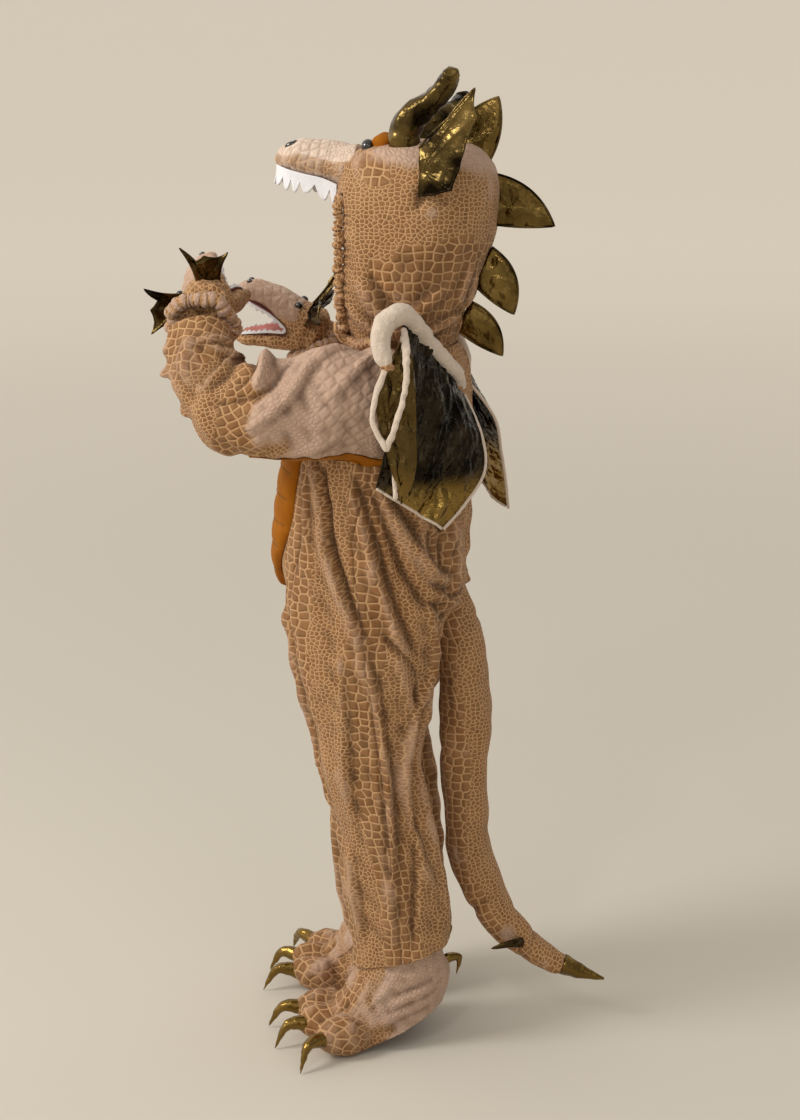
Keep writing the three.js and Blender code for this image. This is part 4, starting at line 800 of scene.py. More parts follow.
def thread(name, colour=(0.55, 0.37, 0.20)):
    """Twisted sewing thread and cord."""
    paint = Paint(name)
    place = paint.place()
    twist = paint.noise(place, 1200, 2, 0.6)
    mixed = paint.colour(twist, tuple(0.6 * c for c in tint(*colour)), tint(*colour))
    normal = paint.bump(twist, 0.0004, 0.5)
    return paint.finish(Base_Color=mixed, Roughness=0.7, Normal=normal, Specular_IOR_Level=0.3)


CLOTHS = {
    "scale_plush": lambda: scale_plush("scale plush"),
    "pale_plush": lambda: scale_plush("pale scale plush", nap=(0.88, 0.80, 0.73)),
    "scale_roll": lambda: scale_plush("scale plush by place", flat=False),
    "nap_plush": lambda: fleece("fleece"),
    "gold_lame": lambda: lame("gold lame"),
    "dark_lame": lambda: lame("dark lame", (0.27, 0.235, 0.18), (0.075, 0.062, 0.045), 0.7, 52),
    "orange_velour": lambda: velour("orange velour"),
    "white_felt": lambda: felt("white felt"),
    "mouth_cloth": lambda: felt("mouth cloth", (0.80, 0.50, 0.46), (0.68, 0.36, 0.32)),
    "palate_cloth": lambda: felt("palate cloth", (0.86, 0.72, 0.70), (0.74, 0.56, 0.54)),
    "lining": lambda: felt("lining", (0.80, 0.73, 0.64), (0.68, 0.60, 0.50)),
    "eye_gloss": lambda: gloss("eye gloss"),
    "tan_thread": lambda: thread("tan thread"),
    "gold_thread": lambda: thread("gold thread", (0.50, 0.42, 0.22)),
    "cream_thread": lambda: thread("cream thread", (0.86, 0.80, 0.72)),
}
MADE = {}


def cloth(key):
    if key not in MADE:
        MADE[key] = CLOTHS[key]()
    return MADE[key]


def placed(thing, nodes=()):
    """Give a finished piece its body and hide the CAD nodes it stands for."""
    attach(thing, BODY)
    if nodes:
        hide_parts(*nodes)
    return thing


def piece(form, name, key, nodes=()):
    """Build and place a form."""
    thing = placed(form.build(name, cloth(key)), nodes)
    return thing


def settled(thing):
    """The piece with its modifiers worked into its mesh."""
    bpy.context.view_layer.update()
    graph = bpy.context.evaluated_depsgraph_get()
    mesh = bpy.data.meshes.new_from_object(thing.evaluated_get(graph))
    thing.modifiers.clear()
    old = thing.data
    thing.data = mesh
    bpy.data.meshes.remove(old)
    mesh.name = thing.name
    return thing


def walled(thing, wall):
    """Give a skin a cloth wall on its inner side."""
    solid = thing.modifiers.new("wall", "SOLIDIFY")
    solid.thickness = wall * MM
    solid.offset = -1
    return settled(thing)


def cut_sheet(thing):
    """Hand back the piece as it is."""
    return thing


# Jumpsuit.

# Folds of the trunk and legs: where they lie, soft and sharp flank, and rise, a trough below zero.
# On a side each point is forward and height, on the front and back it is sideways and height.
FOLDS = (
    ("left", ((-99, -112), (-86, -154), (-82, -203), (-68, -245), (-56, -279),
    (-40, -316)), 13, 4.5, 6.5),
    ("left", ((-92, -112), (-80, -154), (-75, -203), (-61, -245), (-49, -279), (-33, -318)), 4, 5, -5),
    ("left", ((-84, -112), (-83, -150), (-82, -186)), 6, 5, -5),
    ("left", ((-56, -120), (-35, -186), (-24, -226), (-9, -275), (12, -339), (30, -400)), 12, 6, 6),
    ("left", ((-46, -128), (-25, -190), (-13, -232), (3, -283), (24, -345)), 6, 7, -5),
    ("left", ((-27, -140), (-3, -205), (15, -248), (38, -290)), 9, 9, -8),
    ("left", ((-23, -122), (12, -192), (42, -244), (62, -262)), 13, 6, 7.5),
    ("left", ((2, -128), (34, -182), (58, -214)), 10, 6, 4.5),
    ("left", ((38, -286), (44, -330), (38, -372), (22, -424)), 9, 6, 5),
    ("left", ((-14, -318), (12, -345), (26, -390), (30, -440)), 9, 6, -4.5),
    ("left", ((-42, -330), (-24, -388), (-14, -470), (-6, -560), (-2, -670), (0, -735)), 14, 6, 5.5),
    ("left", ((-30, -392), (-20, -470), (-13, -560), (-8, -640)), 5, 6, -3.5),
    ("left", ((4, -350), (20, -420), (32, -490), (40, -570), (44, -655)), 13, 6, 5.5),
    ("left", ((-66, -340), (-62, -420), (-58, -520), (-46, -600)), 12, 7, 3.5),
    ("left", ((-58, -600), (-48, -660), (-44, -730)), 10, 6, 4),
    ("left", ((20, -560), (24, -640), (20, -735)), 9, 6, -4),
    ("left", ((-110, -122), (-108, -170), (-106, -220)), 9, 6, 4),
    ("left", ((40, -268), (50, -274), (60, -276)), 4, 3, 3),
    ("left", ((38, -280), (48, -286), (58, -288)), 4, 3, -3),
    ("left", ((36, -290), (46, -297), (54, -300)), 4, 3, 3),
    ("left", ((60, -150), (62, -200), (56, -240)), 9, 6, 3.5),
    ("front", ((84, -140), (82, -200), (74, -262), (66, -330)), 10, 6, 5),
    ("front", ((94, -150), (94, -214), (86, -290), (80, -350)), 7, 6, -4),
    ("front", ((72, -312), (76, -390), (70, -470), (74, -560)), 12, 6, 5),
    ("front", ((54, -330), (52, -420), (56, -520), (50, -600)), 7, 8, -4),
    ("front", ((36, -310), (38, -400), (34, -500), (38, -600), (36, -720)), 12, 6, 4.5),
    ("front", ((60, -560), (66, -640), (62, -735)), 11, 6, 4.5),
    ("front", ((-40, -306), (-8, -322), (34, -308)), 8, 6, 4),
    ("front", ((-48, -326), (-6, -346), (42, -328)), 7, 6, -4),
    ("front", ((30, -330), (14, -352), (6, -392)), 8, 6, 4),
    ("back", ((44, -116), (50, -176), (46, -236), (50, -284)), 12, 7, 5),
    ("back", ((76, -112), (80, -182), (74, -248)), 9, 7, -4.5),
    ("back", ((96, -132), (100, -196), (92, -258)), 10, 6, 4),
    ("back", ((90, -266), (60, -290), (30, -282)), 9, 6, 5.5),
    ("back", ((88, -286), (58, -312), (28, -308)), 7, 7, -5),
    ("back", ((70, -330), (76, -410), (70, -500), (74, -600), (68, -700)), 12, 7, 5),
    ("back", ((46, -350), (50, -440), (46, -540), (50, -650)), 7, 7, -4),
    ("back", ((92, -400), (98, -500), (94, -600)), 9, 6, 4),
)

# Folds of the sleeves: share of the length and angle round it in degrees, 90 on top, 180 to the inner side.
ARM_FOLDS = (
    (((0.16, 96), (0.24, 60), (0.30, 20)), 10, 5, 4), (((0.20, 120), (0.30, 84), (0.38, 48)), 8, 5, 4),
    (((0.44, 130), (0.47, 100), (0.46, 66), (0.49, 40)), 9, 4, 7),
    (((0.50, 135), (0.53, 104), (0.51, 72), (0.54, 42)), 7, 4, -6),
    (((0.56, 140), (0.58, 108), (0.57, 70), (0.60, 30)), 9, 4, 8),
    (((0.62, 140), (0.63, 112), (0.62, 78)), 6, 4, -7),
    (((0.66, 150), (0.67, 118), (0.66, 84)), 8, 4, 7),
    (((0.71, 150), (0.71, 120), (0.72, 80)), 6, 4, -5),
    (((0.76, 150), (0.75, 116), (0.78, 60)), 9, 4, 5),
    (((0.36, 60), (0.42, 20), (0.52, -14)), 9, 5, 4), (((0.40, 82), (0.47, 36), (0.58, 0)), 8, 5, -4),
    (((0.28, -20), (0.38, -44), (0.50, -60)), 10, 6, 3),
    (((0.62, -40), (0.64, -80), (0.62, -120)), 8, 4, 6),
    (((0.69, -40), (0.71, -80), (0.69, -130)), 7, 4, -5),
    (((0.75, -30), (0.78, -76), (0.76, -130)), 8, 4, 6),
    (((0.82, -40), (0.84, -80), (0.82, -120)), 6, 4, -4),
    (((0.88, -20), (0.89, -80), (0.88, -140)), 8, 4, 4),
    (((0.30, 170), (0.40, 200), (0.52, 190)), 9, 6, 4), (((0.64, 20), (0.76, 10), (0.90, 30)), 9, 6, 4),
    (((0.58, 180), (0.70, 196), (0.82, 180)), 8, 5, -4),
    (((0.14, 230), (0.26, 250), (0.38, 236)), 9, 6, 4),
    (((0.84, 110), (0.86, 70), (0.84, 30)), 7, 4, 4), (((0.10, 40), (0.15, 0), (0.15, -50)), 8, 6, -3),
)
ARM_BLUR = 24
UNDER_SEAM = -1.57


def leg_rows(side):
    """Middle, half width and half depth of a leg, the right one taking its step forward."""
    rows = []
    for z, x, y, wide, deep in LEG:
        if side > 0:
            rows.append((x, y, z, wide, deep))
            continue
        share = min(max((RIGHT_STEP[2] - z) / (RIGHT_STEP[2] - RIGHT_STEP[3]), 0), 1)
        rows.append((-x + RIGHT_STEP[0] * share, y + RIGHT_STEP[1] * share, z, wide, deep))
    return rows


def trunk_form():
    levels = np.concatenate([[30], np.linspace(TRUNK[0][0], TRUNK[-1][0], 60)])
    rows = at_level(TRUNK, levels)
    c, s = oval(around(72), TRUNK_POWER)
    grid = []
    for level, (_, half, front, back) in zip(levels, rows):
        middle = (front + back) / 2
        deep = (back - front) / 2
        grid.append(np.stack([half * c, middle + deep * s, np.full(72, level)], 1))
    return grid_form(np.array(grid))


def leg_form(side):
    table = [(z, x, y, wide, deep) for x, y, z, wide, deep in leg_rows(side)]
    low = table[-1]
    table.append((low[0] - 40, *low[1:]))
    levels = np.linspace(table[0][0], table[-1][0], 70)
    rows = at_level(table, levels)
    c, s = oval(around(48), 2.15)
    grid = [np.stack([x + wide * c, y + deep * s, np.full(48, level)], 1)
            for level, (_, x, y, wide, deep) in zip(levels, rows)]
    return grid_form(np.array(grid))


def arm_line(side):
    """Middle line of a sleeve from shoulder to wrist, with its frames and mean radius."""
    upper = [row[:5] for row in UPPER_ARM[side][:-3]]
    fore = [row[:5] for row in FOREARM[side][1:]]
    table = upper + fore
    count = 44
    rows = rows_at(table, np.linspace(0, 1, count))
    line = rows[:, :3]
    way = unit(np.gradient(line, axis=0))
    sideways = np.array([1.0, 0, 0])
    frames = []
    for k in range(count):
        sideways = unit(sideways - sideways @ way[k] * way[k])
        frames.append((way[k], sideways.copy(), np.cross(way[k], sideways)))
    return line, frames, rows[:, 3:5]


def arm_angle(points, side):
    """Length along the sleeve, angle round it and share of it, averaged over its near middle line."""
    line, frames, _ = arm_line(side)
    steps = np.arange(5, 0, -1)[:, None] * 14
    before = line[0] - frames[0][0] * steps
    after = line[-1] + frames[-1][0] * steps[::-1]
    whole = np.concatenate([before, line, after])
    sideways = np.array([frames[0][1]] * 5 + [f[1] for f in frames] + [frames[-1][1]] * 5)
    upward = np.array([frames[0][2]] * 5 + [f[2] for f in frames] + [frames[-1][2]] * 5)
    run = path_length(whole)
    away = ((points[:, None] - whole) ** 2).sum(2)
    weight = np.exp((away.min(1, keepdims=True) - away) / (2 * ARM_BLUR ** 2))
    weight /= weight.sum(1, keepdims=True)
    offset = points - weight @ whole
    across = np.einsum("ij,ij->i", offset, weight @ sideways)
    angle = np.arctan2(np.einsum("ij,ij->i", offset, weight @ upward), across)
    length = weight @ run - run[5]
    return length, angle, length / (run[-6] - run[5])


def arm_spot(side, share, degrees):
    line, frames, widths = arm_line(side)
    k = int(round(share * (len(line) - 1)))
    _, sideways, upward = frames[k]
    a = math.radians(degrees)
    return line[k] + sideways * widths[k, 0] * math.cos(a) + upward * widths[k, 1] * math.sin(a)


def cast_spot(tree, view, a, b):
    """A point on the garment's outside, cast from the middle of the trunk or leg."""
    z = b
    if view in ("left", "right"):
        side = 1 if view == "left" else -1
        start = Vector((0, a, z)) if z > -330 else Vector((side * 62, a, z))
        if z <= -330 and side < 0:
            start = Vector((-66 - 12 * (-330 - z) / 400, a, z))
        way = Vector((side, 0, 0))
    else:
        deep = -40 if z > -330 else -20
        start = Vector((a, deep, z))
        way = Vector((0, -1 if view == "front" else 1, 0))
    spot, _, _, _ = tree.ray_cast(start, way, 260)
    if spot is None:
        spot = tree.find_nearest(start + way * 60)[0]
    return tuple(spot)


def out_of_step(path, seed, reach):
    """A fold's twin for the other side, moved and stretched a little so that no two match."""
    path = np.array(path, float)
    spread = np.random.default_rng(seed)
    middle = path.mean(0)
    return middle + (path - middle) * spread.uniform(0.8, 1.15) + spread.uniform(-1, 1, 2) * reach


def trunk_creases(tree):
    """Folds of the left, front and back, with their uneven twins."""
    made = []
    for number, (view, path, soft, sharp, rise) in enumerate(FOLDS):
        soft, sharp = 0.85 * soft, 0.75 * sharp
        made.append(([cast_spot(tree, view, a, b) for a, b in path], soft, sharp, rise))
        other = out_of_step(path, 200 + number, (5, 9))
        if view == "left":
            step = np.clip((-320 - other[:, 1]) / 400, 0, 1)
            spots = [cast_spot(tree, "right", a - 26 * s, b) for (a, b), s in zip(other, step)]
        else:
            spots = [cast_spot(tree, view, -a, b) for a, b in other]
        made.append((spots, soft, sharp, 0.9 * rise))
    return made


def arm_creases():
    made = []
    for number, (path, soft, sharp, rise) in enumerate(ARM_FOLDS):
        made.append(([arm_spot("left", share, degrees) for share, degrees in path], soft, sharp, rise))
        other = out_of_step(path, 300 + number, (0.03, 14))
        spots = [arm_spot("right", np.clip(share, 0.06, 0.94), 180 - degrees) for share, degrees in other]
        made.append((spots, soft, sharp, 0.9 * rise))
    return made


def border_edges(faces, labels):
    """Edges between faces with different labels."""
    edges = np.concatenate([faces[:, [0, 1]], faces[:, [1, 2]], faces[:, [2, 3]], faces[:, [3, 0]]])
    owner = np.tile(labels, 4)
    edges = np.sort(edges, axis=1)
    order = np.lexsort((edges[:, 1], edges[:, 0]))
    edges = edges[order]
    owner = owner[order]
    same = np.all(edges[1:] == edges[:-1], axis=1) & (owner[1:] != owner[:-1])
    return edges[1:][same]


def smooth_borders(points, edges, times):
    count = np.bincount(edges.ravel(), minlength=len(points)).astype(float)
    on = count > 0
    for _ in range(times):
        total = np.zeros_like(points)
        for axis in range(3):
            total[:, axis] += np.bincount(edges[:, 0], points[edges[:, 1], axis], len(points))
            total[:, axis] += np.bincount(edges[:, 1], points[edges[:, 0], axis], len(points))
        points[on] += (total[on] / count[on, None] - points[on]) * 0.5
    return on


def seam_forward(z):
    """Forward place of the side seam at a height."""
    table = np.array(SIDE_SEAM, float)
    return np.interp(-np.asarray(z), -table[:, 0], table[:, 1])


def trimmed(thing, centre, normal, reach):
    """Cut away what lies past a plane near its centre."""
    mesh = bmesh.new()
    mesh.from_mesh(thing.data)
    middle = Vector(centre) * MM
    near = [v for v in mesh.verts if (v.co - middle).length < reach * MM]
    edges = {e for v in near for e in v.link_edges}
    faces = {f for v in near for f in v.link_faces}
    bmesh.ops.bisect_plane(mesh, geom=near + list(edges) + list(faces), plane_co=middle,
                           plane_no=Vector(normal), clear_outer=True)
    mesh.to_mesh(thing.data)
    mesh.free()


def body_angle(spots, side):
    """Angle about a hub that moves from the trunk into a leg, and how far into the leg it is."""
    z = spots[:, 2]
    down = ramp(-z, 280, 450)
    rows = at_level(TRUNK, np.clip(z, -330, 16))
    legs = at_level([(r[2], r[0], r[1], r[3], r[4]) for r in leg_rows(side)], z)
    hub_x = blend(0, legs[:, 1], down)
    hub_y = blend((rows[:, 2] + rows[:, 3]) / 2, legs[:, 2], down)
    return np.arctan2(spots[:, 1] - hub_y, (spots[:, 0] - hub_x) * side), down


def body_cloth(points, faces, side):
    """Corner places on the unrolled cloth of the trunk and legs, and how far round it each point is."""
    angle, down = body_angle(points, side)
    middle = body_angle(points[faces].mean(1), side)[0][:, None]
    radius = blend(118, 60, down)
    u = (middle + half_turn(angle[faces] - middle)) * radius[faces]
    return np.stack([u, points[faces, 2]], -1), angle * radius


SLEEVE_RADIUS = 44


def arm_cloth(points, faces, side):
    """Corner places on the unrolled cloth of a sleeve, with each point's angle and share."""
    length, angle, share = arm_angle(points, side)
    middle = arm_angle(points[faces].mean(1), side)[1][:, None]
    u = (middle + half_turn(angle[faces] - middle)) * SLEEVE_RADIUS
    return np.stack([u, length[faces]], -1), angle, share


def unrolled(thing, turn_of):
    """Lay a tube of cloth flat from its seam, where turn_of is 0, so that the print keeps its size."""
    mesh = bmesh.new()
    mesh.from_mesh(thing.data)
    centres = np.array([face.calc_center_median() for face in mesh.faces]) / MM
    turn = half_turn(turn_of(centres))
    mesh.faces.index_update()
    for edge in mesh.edges:
        places = [turn[face.index] for face in edge.link_faces]
        across = len(places) == 2 and places[0] * places[1] < 0
        edge.seam = bool(across and max(np.abs(places)) < 1.5)
    mesh.to_mesh(thing.data)
    surface = sum(face.calc_area() for face in mesh.faces)
    mesh.free()
    bpy.ops.object.select_all(action="DESELECT")
    thing.select_set(True)
    bpy.context.view_layer.objects.active = thing
    bpy.ops.object.mode_set(mode="EDIT")
    bpy.ops.mesh.select_all(action="SELECT")
    bpy.ops.uv.unwrap(method="MINIMUM_STRETCH", fill_holes=False, iterations=12, margin=0)
    bpy.ops.object.mode_set(mode="OBJECT")
    layer = thing.data.uv_layers["cloth"].data
    flat = np.empty(len(layer) * 2)
    layer.foreach_get("uv", flat)
    spots = flat.reshape(-1, 2)
    covered = 0.0
    for polygon in thing.data.polygons:
        x, y = spots[list(polygon.loop_indices)].T
        covered += abs(x @ np.roll(y, 1) - y @ np.roll(x, 1)) / 2
    layer.foreach_set("uv", flat * math.sqrt(surface / max(covered, 1e-9)))


def part_of(points, faces, chosen, corners, values):
    """The chosen faces as a form of their own."""
    kept = faces[chosen]
    used, back = np.unique(kept.ravel(), return_inverse=True)
    return Form(points[used], back.reshape(-1, 4), corners[chosen].reshape(-1, 2),
                {key: value[used] for key, value in values.items()})


def suit_skin():
    """The whole suit as one skin, with its folds."""
    forms = [trunk_form(), leg_form(1), leg_form(-1)]
    for side in ("left", "right"):
        upper, _ = limb(UPPER_ARM[side], 34, 32, (1, 0, 0))
        fore, _ = limb(FOREARM[side], 24, 32, (1, 0, 0), far=16)
        forms += [grid_form(upper), grid_form(fore)]
    points, faces = fused("suit skin", forms, sizes().skin_cell / MM)
    points = relaxed(points, faces, 6, 0.5)
    normals = quad_normals(points, faces)
    tree = BVHTree.FromPolygons(points.tolist(), faces.tolist())
    labels = suit_labels(points, faces)
    sleeve_share = np.zeros(len(points))
    for k in range(4):
        np.maximum.at(sleeve_share, faces[labels >= 4, k], 1.0)
    sleeve_share = relaxed(sleeve_share[:, None], faces, 6, 0.6)[:, 0]
    body = crease_rise(points, normals, trunk_creases(tree))
    arms = crease_rise(points, normals, arm_creases())
    behind_belly = (ramp(-np.abs(points[:, 0]), -102, -82) * ramp(-points[:, 1], 60, 84)
                    * ramp(-points[:, 2], -10, 6) * ramp(points[:, 2], -318, -296))
    body *= ramp(-points[:, 2], -16, 10)
    rise = body * (1 - sleeve_share) + arms * sleeve_share
    rise += 1.6 * lumps(points, 70, 3) + 0.8 * lumps(points, 26, 5)
    rise *= (1 - 0.92 * behind_belly) * sizes().fold_depth
    near_hem = ramp(-points[:, 2], 700, 745)
    rise *= 1 - 0.5 * near_hem
    points = points + normals * rise[:, None]
    edges = border_edges(faces, labels)
    smooth_borders(points, edges, 10)
    seam = np.zeros(len(points))
    seam[np.unique(edges)] = 1
    spread = relaxed(seam[:, None], faces, 2, 0.6)[:, 0]
    normals = quad_normals(points, faces)
    points = points - normals * (sizes().seam_depth / MM * np.minimum(spread * 1.6, 1))[:, None]
    return points, faces, labels, rise


def suit_labels(points, faces):
    """0 to 3 for front and back, left and right; 4 and 5 for the sleeves."""
    centre = points[faces].mean(1)
    labels = np.where(centre[:, 1] > seam_forward(centre[:, 2]), 2, 0) + np.where(centre[:, 0] > 0, 0, 1)
    rows = at_level(TRUNK, np.clip(centre[:, 2], -436, 16))
    middle = (rows[:, 2] + rows[:, 3]) / 2
    deep = (rows[:, 3] - rows[:, 2]) / 2
    size = (np.abs(centre[:, 0] / rows[:, 1]) ** TRUNK_POWER
            + np.abs((centre[:, 1] - middle) / deep) ** TRUNK_POWER) ** (1 / TRUNK_POWER)
    off_trunk = np.abs(size - 1) * np.sqrt(centre[:, 0] ** 2 + (centre[:, 1] - middle) ** 2)
    gaps = []
    near = np.where(centre[:, 2] > -190)[0]
    for side in ("left", "right"):
        gap = np.full(len(centre), 1e9)
        for table in (UPPER_ARM[side], FOREARM[side]):
            grid, _ = limb(table, 60, 48, (1, 0, 0))
            spots = grid.reshape(-1, 3)
            tree = KDTree(len(spots))
            for n, spot in enumerate(spots):
                tree.insert(spot, n)
            tree.balance()
            found = np.array([tree.find(centre[n])[2] for n in near])
            gap[near] = np.minimum(gap[near], found)
        gaps.append(gap)
    arm = np.minimum(*gaps) < off_trunk
    labels[arm] = np.where(gaps[0] <= gaps[1], 4, 5)[arm]
    return labels


def build_suit():
    points, faces, labels, rise = suit_skin()
    names = ("suit_front_left", "suit_front_right", "suit_back_left", "suit_back_right",
             "sleeve_left", "sleeve_right")
    # Painted sheen and shade: the cream pile share rises on fold ridges and falls in fold troughs.
    ridge = np.clip(rise / 14, -0.25, 0.3)
    for number, name in enumerate(names):
        chosen = labels == number
        side = 1 if name.endswith("left") else -1
        word = "left" if side > 0 else "right"
        if number < 4:
            corners, around_body = body_cloth(points, faces, side)
            band = np.sin(around_body / 15.5 + 0.9 + 0.5 * lumps(points, 260, 11))
            values = {"big": 0.5 + 0.42 * band, "nap": 0.10 + ridge}
        else:
            corners, angle, share = arm_cloth(points, faces, word)
            # Painted sheen: cream pile on the upper sleeve, less of it on the underside, together with the
            # sheen and shade on fold ridges and troughs.
            cream = 1 - ramp(share, 0.46, 0.62)
            under = ramp(np.cos(angle + math.pi / 2), 0.25, 0.9) * ramp(share, 0.35, 0.5)
            cream = np.clip(cream - 0.7 * under, 0, 1)
            band = 0.5 + 0.4 * np.sin(share * 21 + 0.6 + np.cos(angle) * 0.8)
            values = {"big": band, "nap": 0.12 + 0.85 * cream + ridge}
        form = part_of(points, faces, chosen, corners, values)
        thing = form.build(name, cloth("scale_plush"))
        if number < 4:
            trimmed(thing, (0, 0, 16), (0, 0, 1), 200)
            x, y, _, _, deep = leg_rows(side)[-1]
            trimmed(thing, (x, y, -748), (0, HEM_DROP / deep, -1), 120)
        else:
            end = FOREARM[word][-1]
            before = FOREARM[word][-2]
            way = unit(np.array(end[:3]) - np.array(before[:3]))
            trimmed(thing, end[:3], way, 75)
            unrolled(thing, lambda spots: arm_angle(spots, word)[1] - UNDER_SEAM)
        walled(thing, sizes().wall / MM)
        placed(thing, (name,))
        if number < 4:
            cut_sheet(thing)
        else:
            cut_sheet(thing)
    build_gussets(BVHTree.FromPolygons(points.tolist(), faces.tolist()))


# Shared shapes.

def tube_along(points, radius, sides=8, closed=False):
    """A round cord along a line; radius may be one number or one for each point."""
    line = np.asarray(points, float)
    reach = np.broadcast_to(np.asarray(radius, float), (len(line),))
    if closed:
        way = unit(np.roll(line, -1, 0) - np.roll(line, 1, 0))
    else:
        way = unit(np.gradient(line, axis=0))
    start = np.array([0.3, 0.5, 0.8])
    sideways = unit(start - start @ way[0] * way[0])
    rings = []
    a = around(sides)
    for k in range(len(line)):
        sideways = unit(sideways - sideways @ way[k] * way[k])
        upward = np.cross(way[k], sideways)
        rings.append(line[k] + reach[k] * (np.outer(np.cos(a), sideways) + np.outer(np.sin(a), upward)))
    grid = np.array(rings)
    return ring_form(grid) if closed else grid_form(grid)


def ring_form(grid):
    """A grid closed both ways."""
    rows, cols = grid.shape[:2]
    i, j = np.meshgrid(np.arange(rows), np.arange(cols), indexing="ij")
    i = i.ravel()
    j = j.ravel()
    m = (i + 1) % rows
    k = (j + 1) % cols
    faces = np.stack([i * cols + j, i * cols + k, m * cols + k, m * cols + j], 1)
    u = np.stack([j, j + 1, j + 1, j], 1) * 3.0
    v = np.stack([i, i, i + 1, i + 1], 1) * 3.0
    form = Form(grid.reshape(-1, 3), faces.tolist(), np.stack([u, v], -1).reshape(-1, 2))
    return form.outward()


def egg(centre, pole, wide, deep, tall, rows=14, cols=20):
    """A rounded button: half sizes across, along and up its pole."""
    up = unit(np.array(pole, float))
    side = unit(np.cross((0, 1, 0), up))
    ahead = np.cross(up, side)
    lat = np.linspace(-math.pi / 2 + 0.12, math.pi / 2 - 0.12, rows)
    a = around(cols)
    grid = np.array([np.asarray(centre, float)
                     + math.cos(t) * (np.outer(wide * np.cos(a), side) + np.outer(deep * np.sin(a), ahead))
                     + tall * math.sin(t) * up for t in lat])
    return grid_form(grid)


def with_values(form, **values):
    for key, value in values.items():
        form.values[key] = np.broadcast_to(np.asarray(value, float), (len(form.points),)).copy()
    return form


def raised(form, rise):
    """The form with each point moved outwards by its rise."""
    form.points = form.points + form.normals() * rise[:, None]
    return form


def corner_shares(outline, corners, chosen):
    """Shares along an outline at which it passes the chosen corners."""
    last = len(outline) - 1
    return [np.argmin(np.linalg.norm(outline - corners[k], axis=1)) / last for k in chosen]


def plate(outline, root, thick, across, up, origin, ribs=(), rings=9, dip=1.4):
    """A flat padded shape spanned from a root point, with ribs out to some of its corners."""
    outline = np.asarray(outline, float)
    count = len(outline)
    root = np.asarray(root, float)
    across = np.asarray(across, float)
    up = np.asarray(up, float)
    facing = np.cross(across, up)
    shares = np.linspace(0, 1, rings) ** 0.85
    top = []
    back = []
    rib = np.zeros(count)
    for place, width in ribs:
        gap = np.abs(np.arange(count) - place * (count - 1))
        rib = np.maximum(rib, np.exp(-(gap / width) ** 2))
    for r in shares:
        flat = root + (outline - root) * r
        fill = thick / 2 * math.sqrt(max(1 - r ** 4, 0.03))
        height = fill + (rib - 0.5) * dip * math.sin(math.pi * min(r * 1.05, 1))
        middle = origin + np.outer(flat[:, 0], across) + np.outer(flat[:, 1], up)
        top.append(middle + np.outer(height, facing))
        back.append(middle - np.outer(height, facing))
    return grid_form(np.array(top[1:] + back[:0:-1]))


def flat_outline(corners, count, curl=0.0, closed=True):
    """Points along a cornered outline, each side bowed inwards a little."""
    corners = np.asarray(corners, float)
    middle = corners.mean(0)
    line = []
    pairs = list(zip(corners, np.roll(corners, -1, 0))) if closed else list(zip(corners[:-1], corners[1:]))
    total = sum(np.linalg.norm(b - a) for a, b in pairs)
    for a, b in pairs:
        steps = max(2, int(round(count * np.linalg.norm(b - a) / total)))
        run = b - a
        inward = np.array([-run[1], run[0]])
        if inward @ (middle - (a + b) / 2) < 0:
            inward = -inward
        for t in np.linspace(0, 1, steps, endpoint=False):
            line.append(a + run * t + inward * curl * math.sin(math.pi * t))
    if not closed:
        line.append(corners[-1])
    return np.array(line)


def stitch_tree():
    """Geometry Nodes: a run of short thread stitches along a line."""
    tree = bpy.data.node_groups.new("stitch run", "GeometryNodeTree")
    face = tree.interface
    face.new_socket("Geometry", in_out="INPUT", socket_type="NodeSocketGeometry")
    sizes = {}
    for name, value in (("Pitch", 0.004), ("Length", 0.0028), ("Radius", 0.0004)):
        socket = face.new_socket(name, in_out="INPUT", socket_type="NodeSocketFloat")
        socket.default_value = value
        sizes[name] = socket.identifier
    socket = face.new_socket("Thread", in_out="INPUT", socket_type="NodeSocketMaterial")
    sizes["Thread"] = socket.identifier
    face.new_socket("Geometry", in_out="OUTPUT", socket_type="NodeSocketGeometry")

    def add(kind, **settings):
        node = tree.nodes.new(kind)
        for key, value in settings.items():
            setattr(node, key, value)
        return node

    source = add("NodeGroupInput")
    line = add("GeometryNodeMeshToCurve")
    spaced = add("GeometryNodeResampleCurve", mode="LENGTH")
    stitch = add("GeometryNodeMeshCylinder")
    stitch.inputs["Vertices"].default_value = 5
    turned = add("FunctionNodeAlignRotationToVector", axis="Z")
    tangent = add("GeometryNodeInputTangent")
    spread = add("GeometryNodeInstanceOnPoints")
    real = add("GeometryNodeRealizeInstances")
    paint = add("GeometryNodeSetMaterial")
    out = add("NodeGroupOutput")
    link = tree.links.new
    link(source.outputs["Geometry"], line.inputs["Mesh"])
    link(line.outputs["Curve"], spaced.inputs["Curve"])
    link(source.outputs["Pitch"], spaced.inputs["Length"])
    link(source.outputs["Length"], stitch.inputs["Depth"])
    link(source.outputs["Radius"], stitch.inputs["Radius"])
    link(tangent.outputs[0], turned.inputs["Vector"])
    link(spaced.outputs["Curve"], spread.inputs["Points"])
    link(stitch.outputs["Mesh"], spread.inputs["Instance"])
    link(turned.outputs["Rotation"], spread.inputs["Rotation"])
    link(spread.outputs["Instances"], real.inputs["Geometry"])
    link(real.outputs["Geometry"], paint.inputs["Geometry"])
    link(source.outputs["Thread"], paint.inputs["Material"])
    link(paint.outputs["Geometry"], out.inputs["Geometry"])
    return tree, sizes


STITCHES = {}


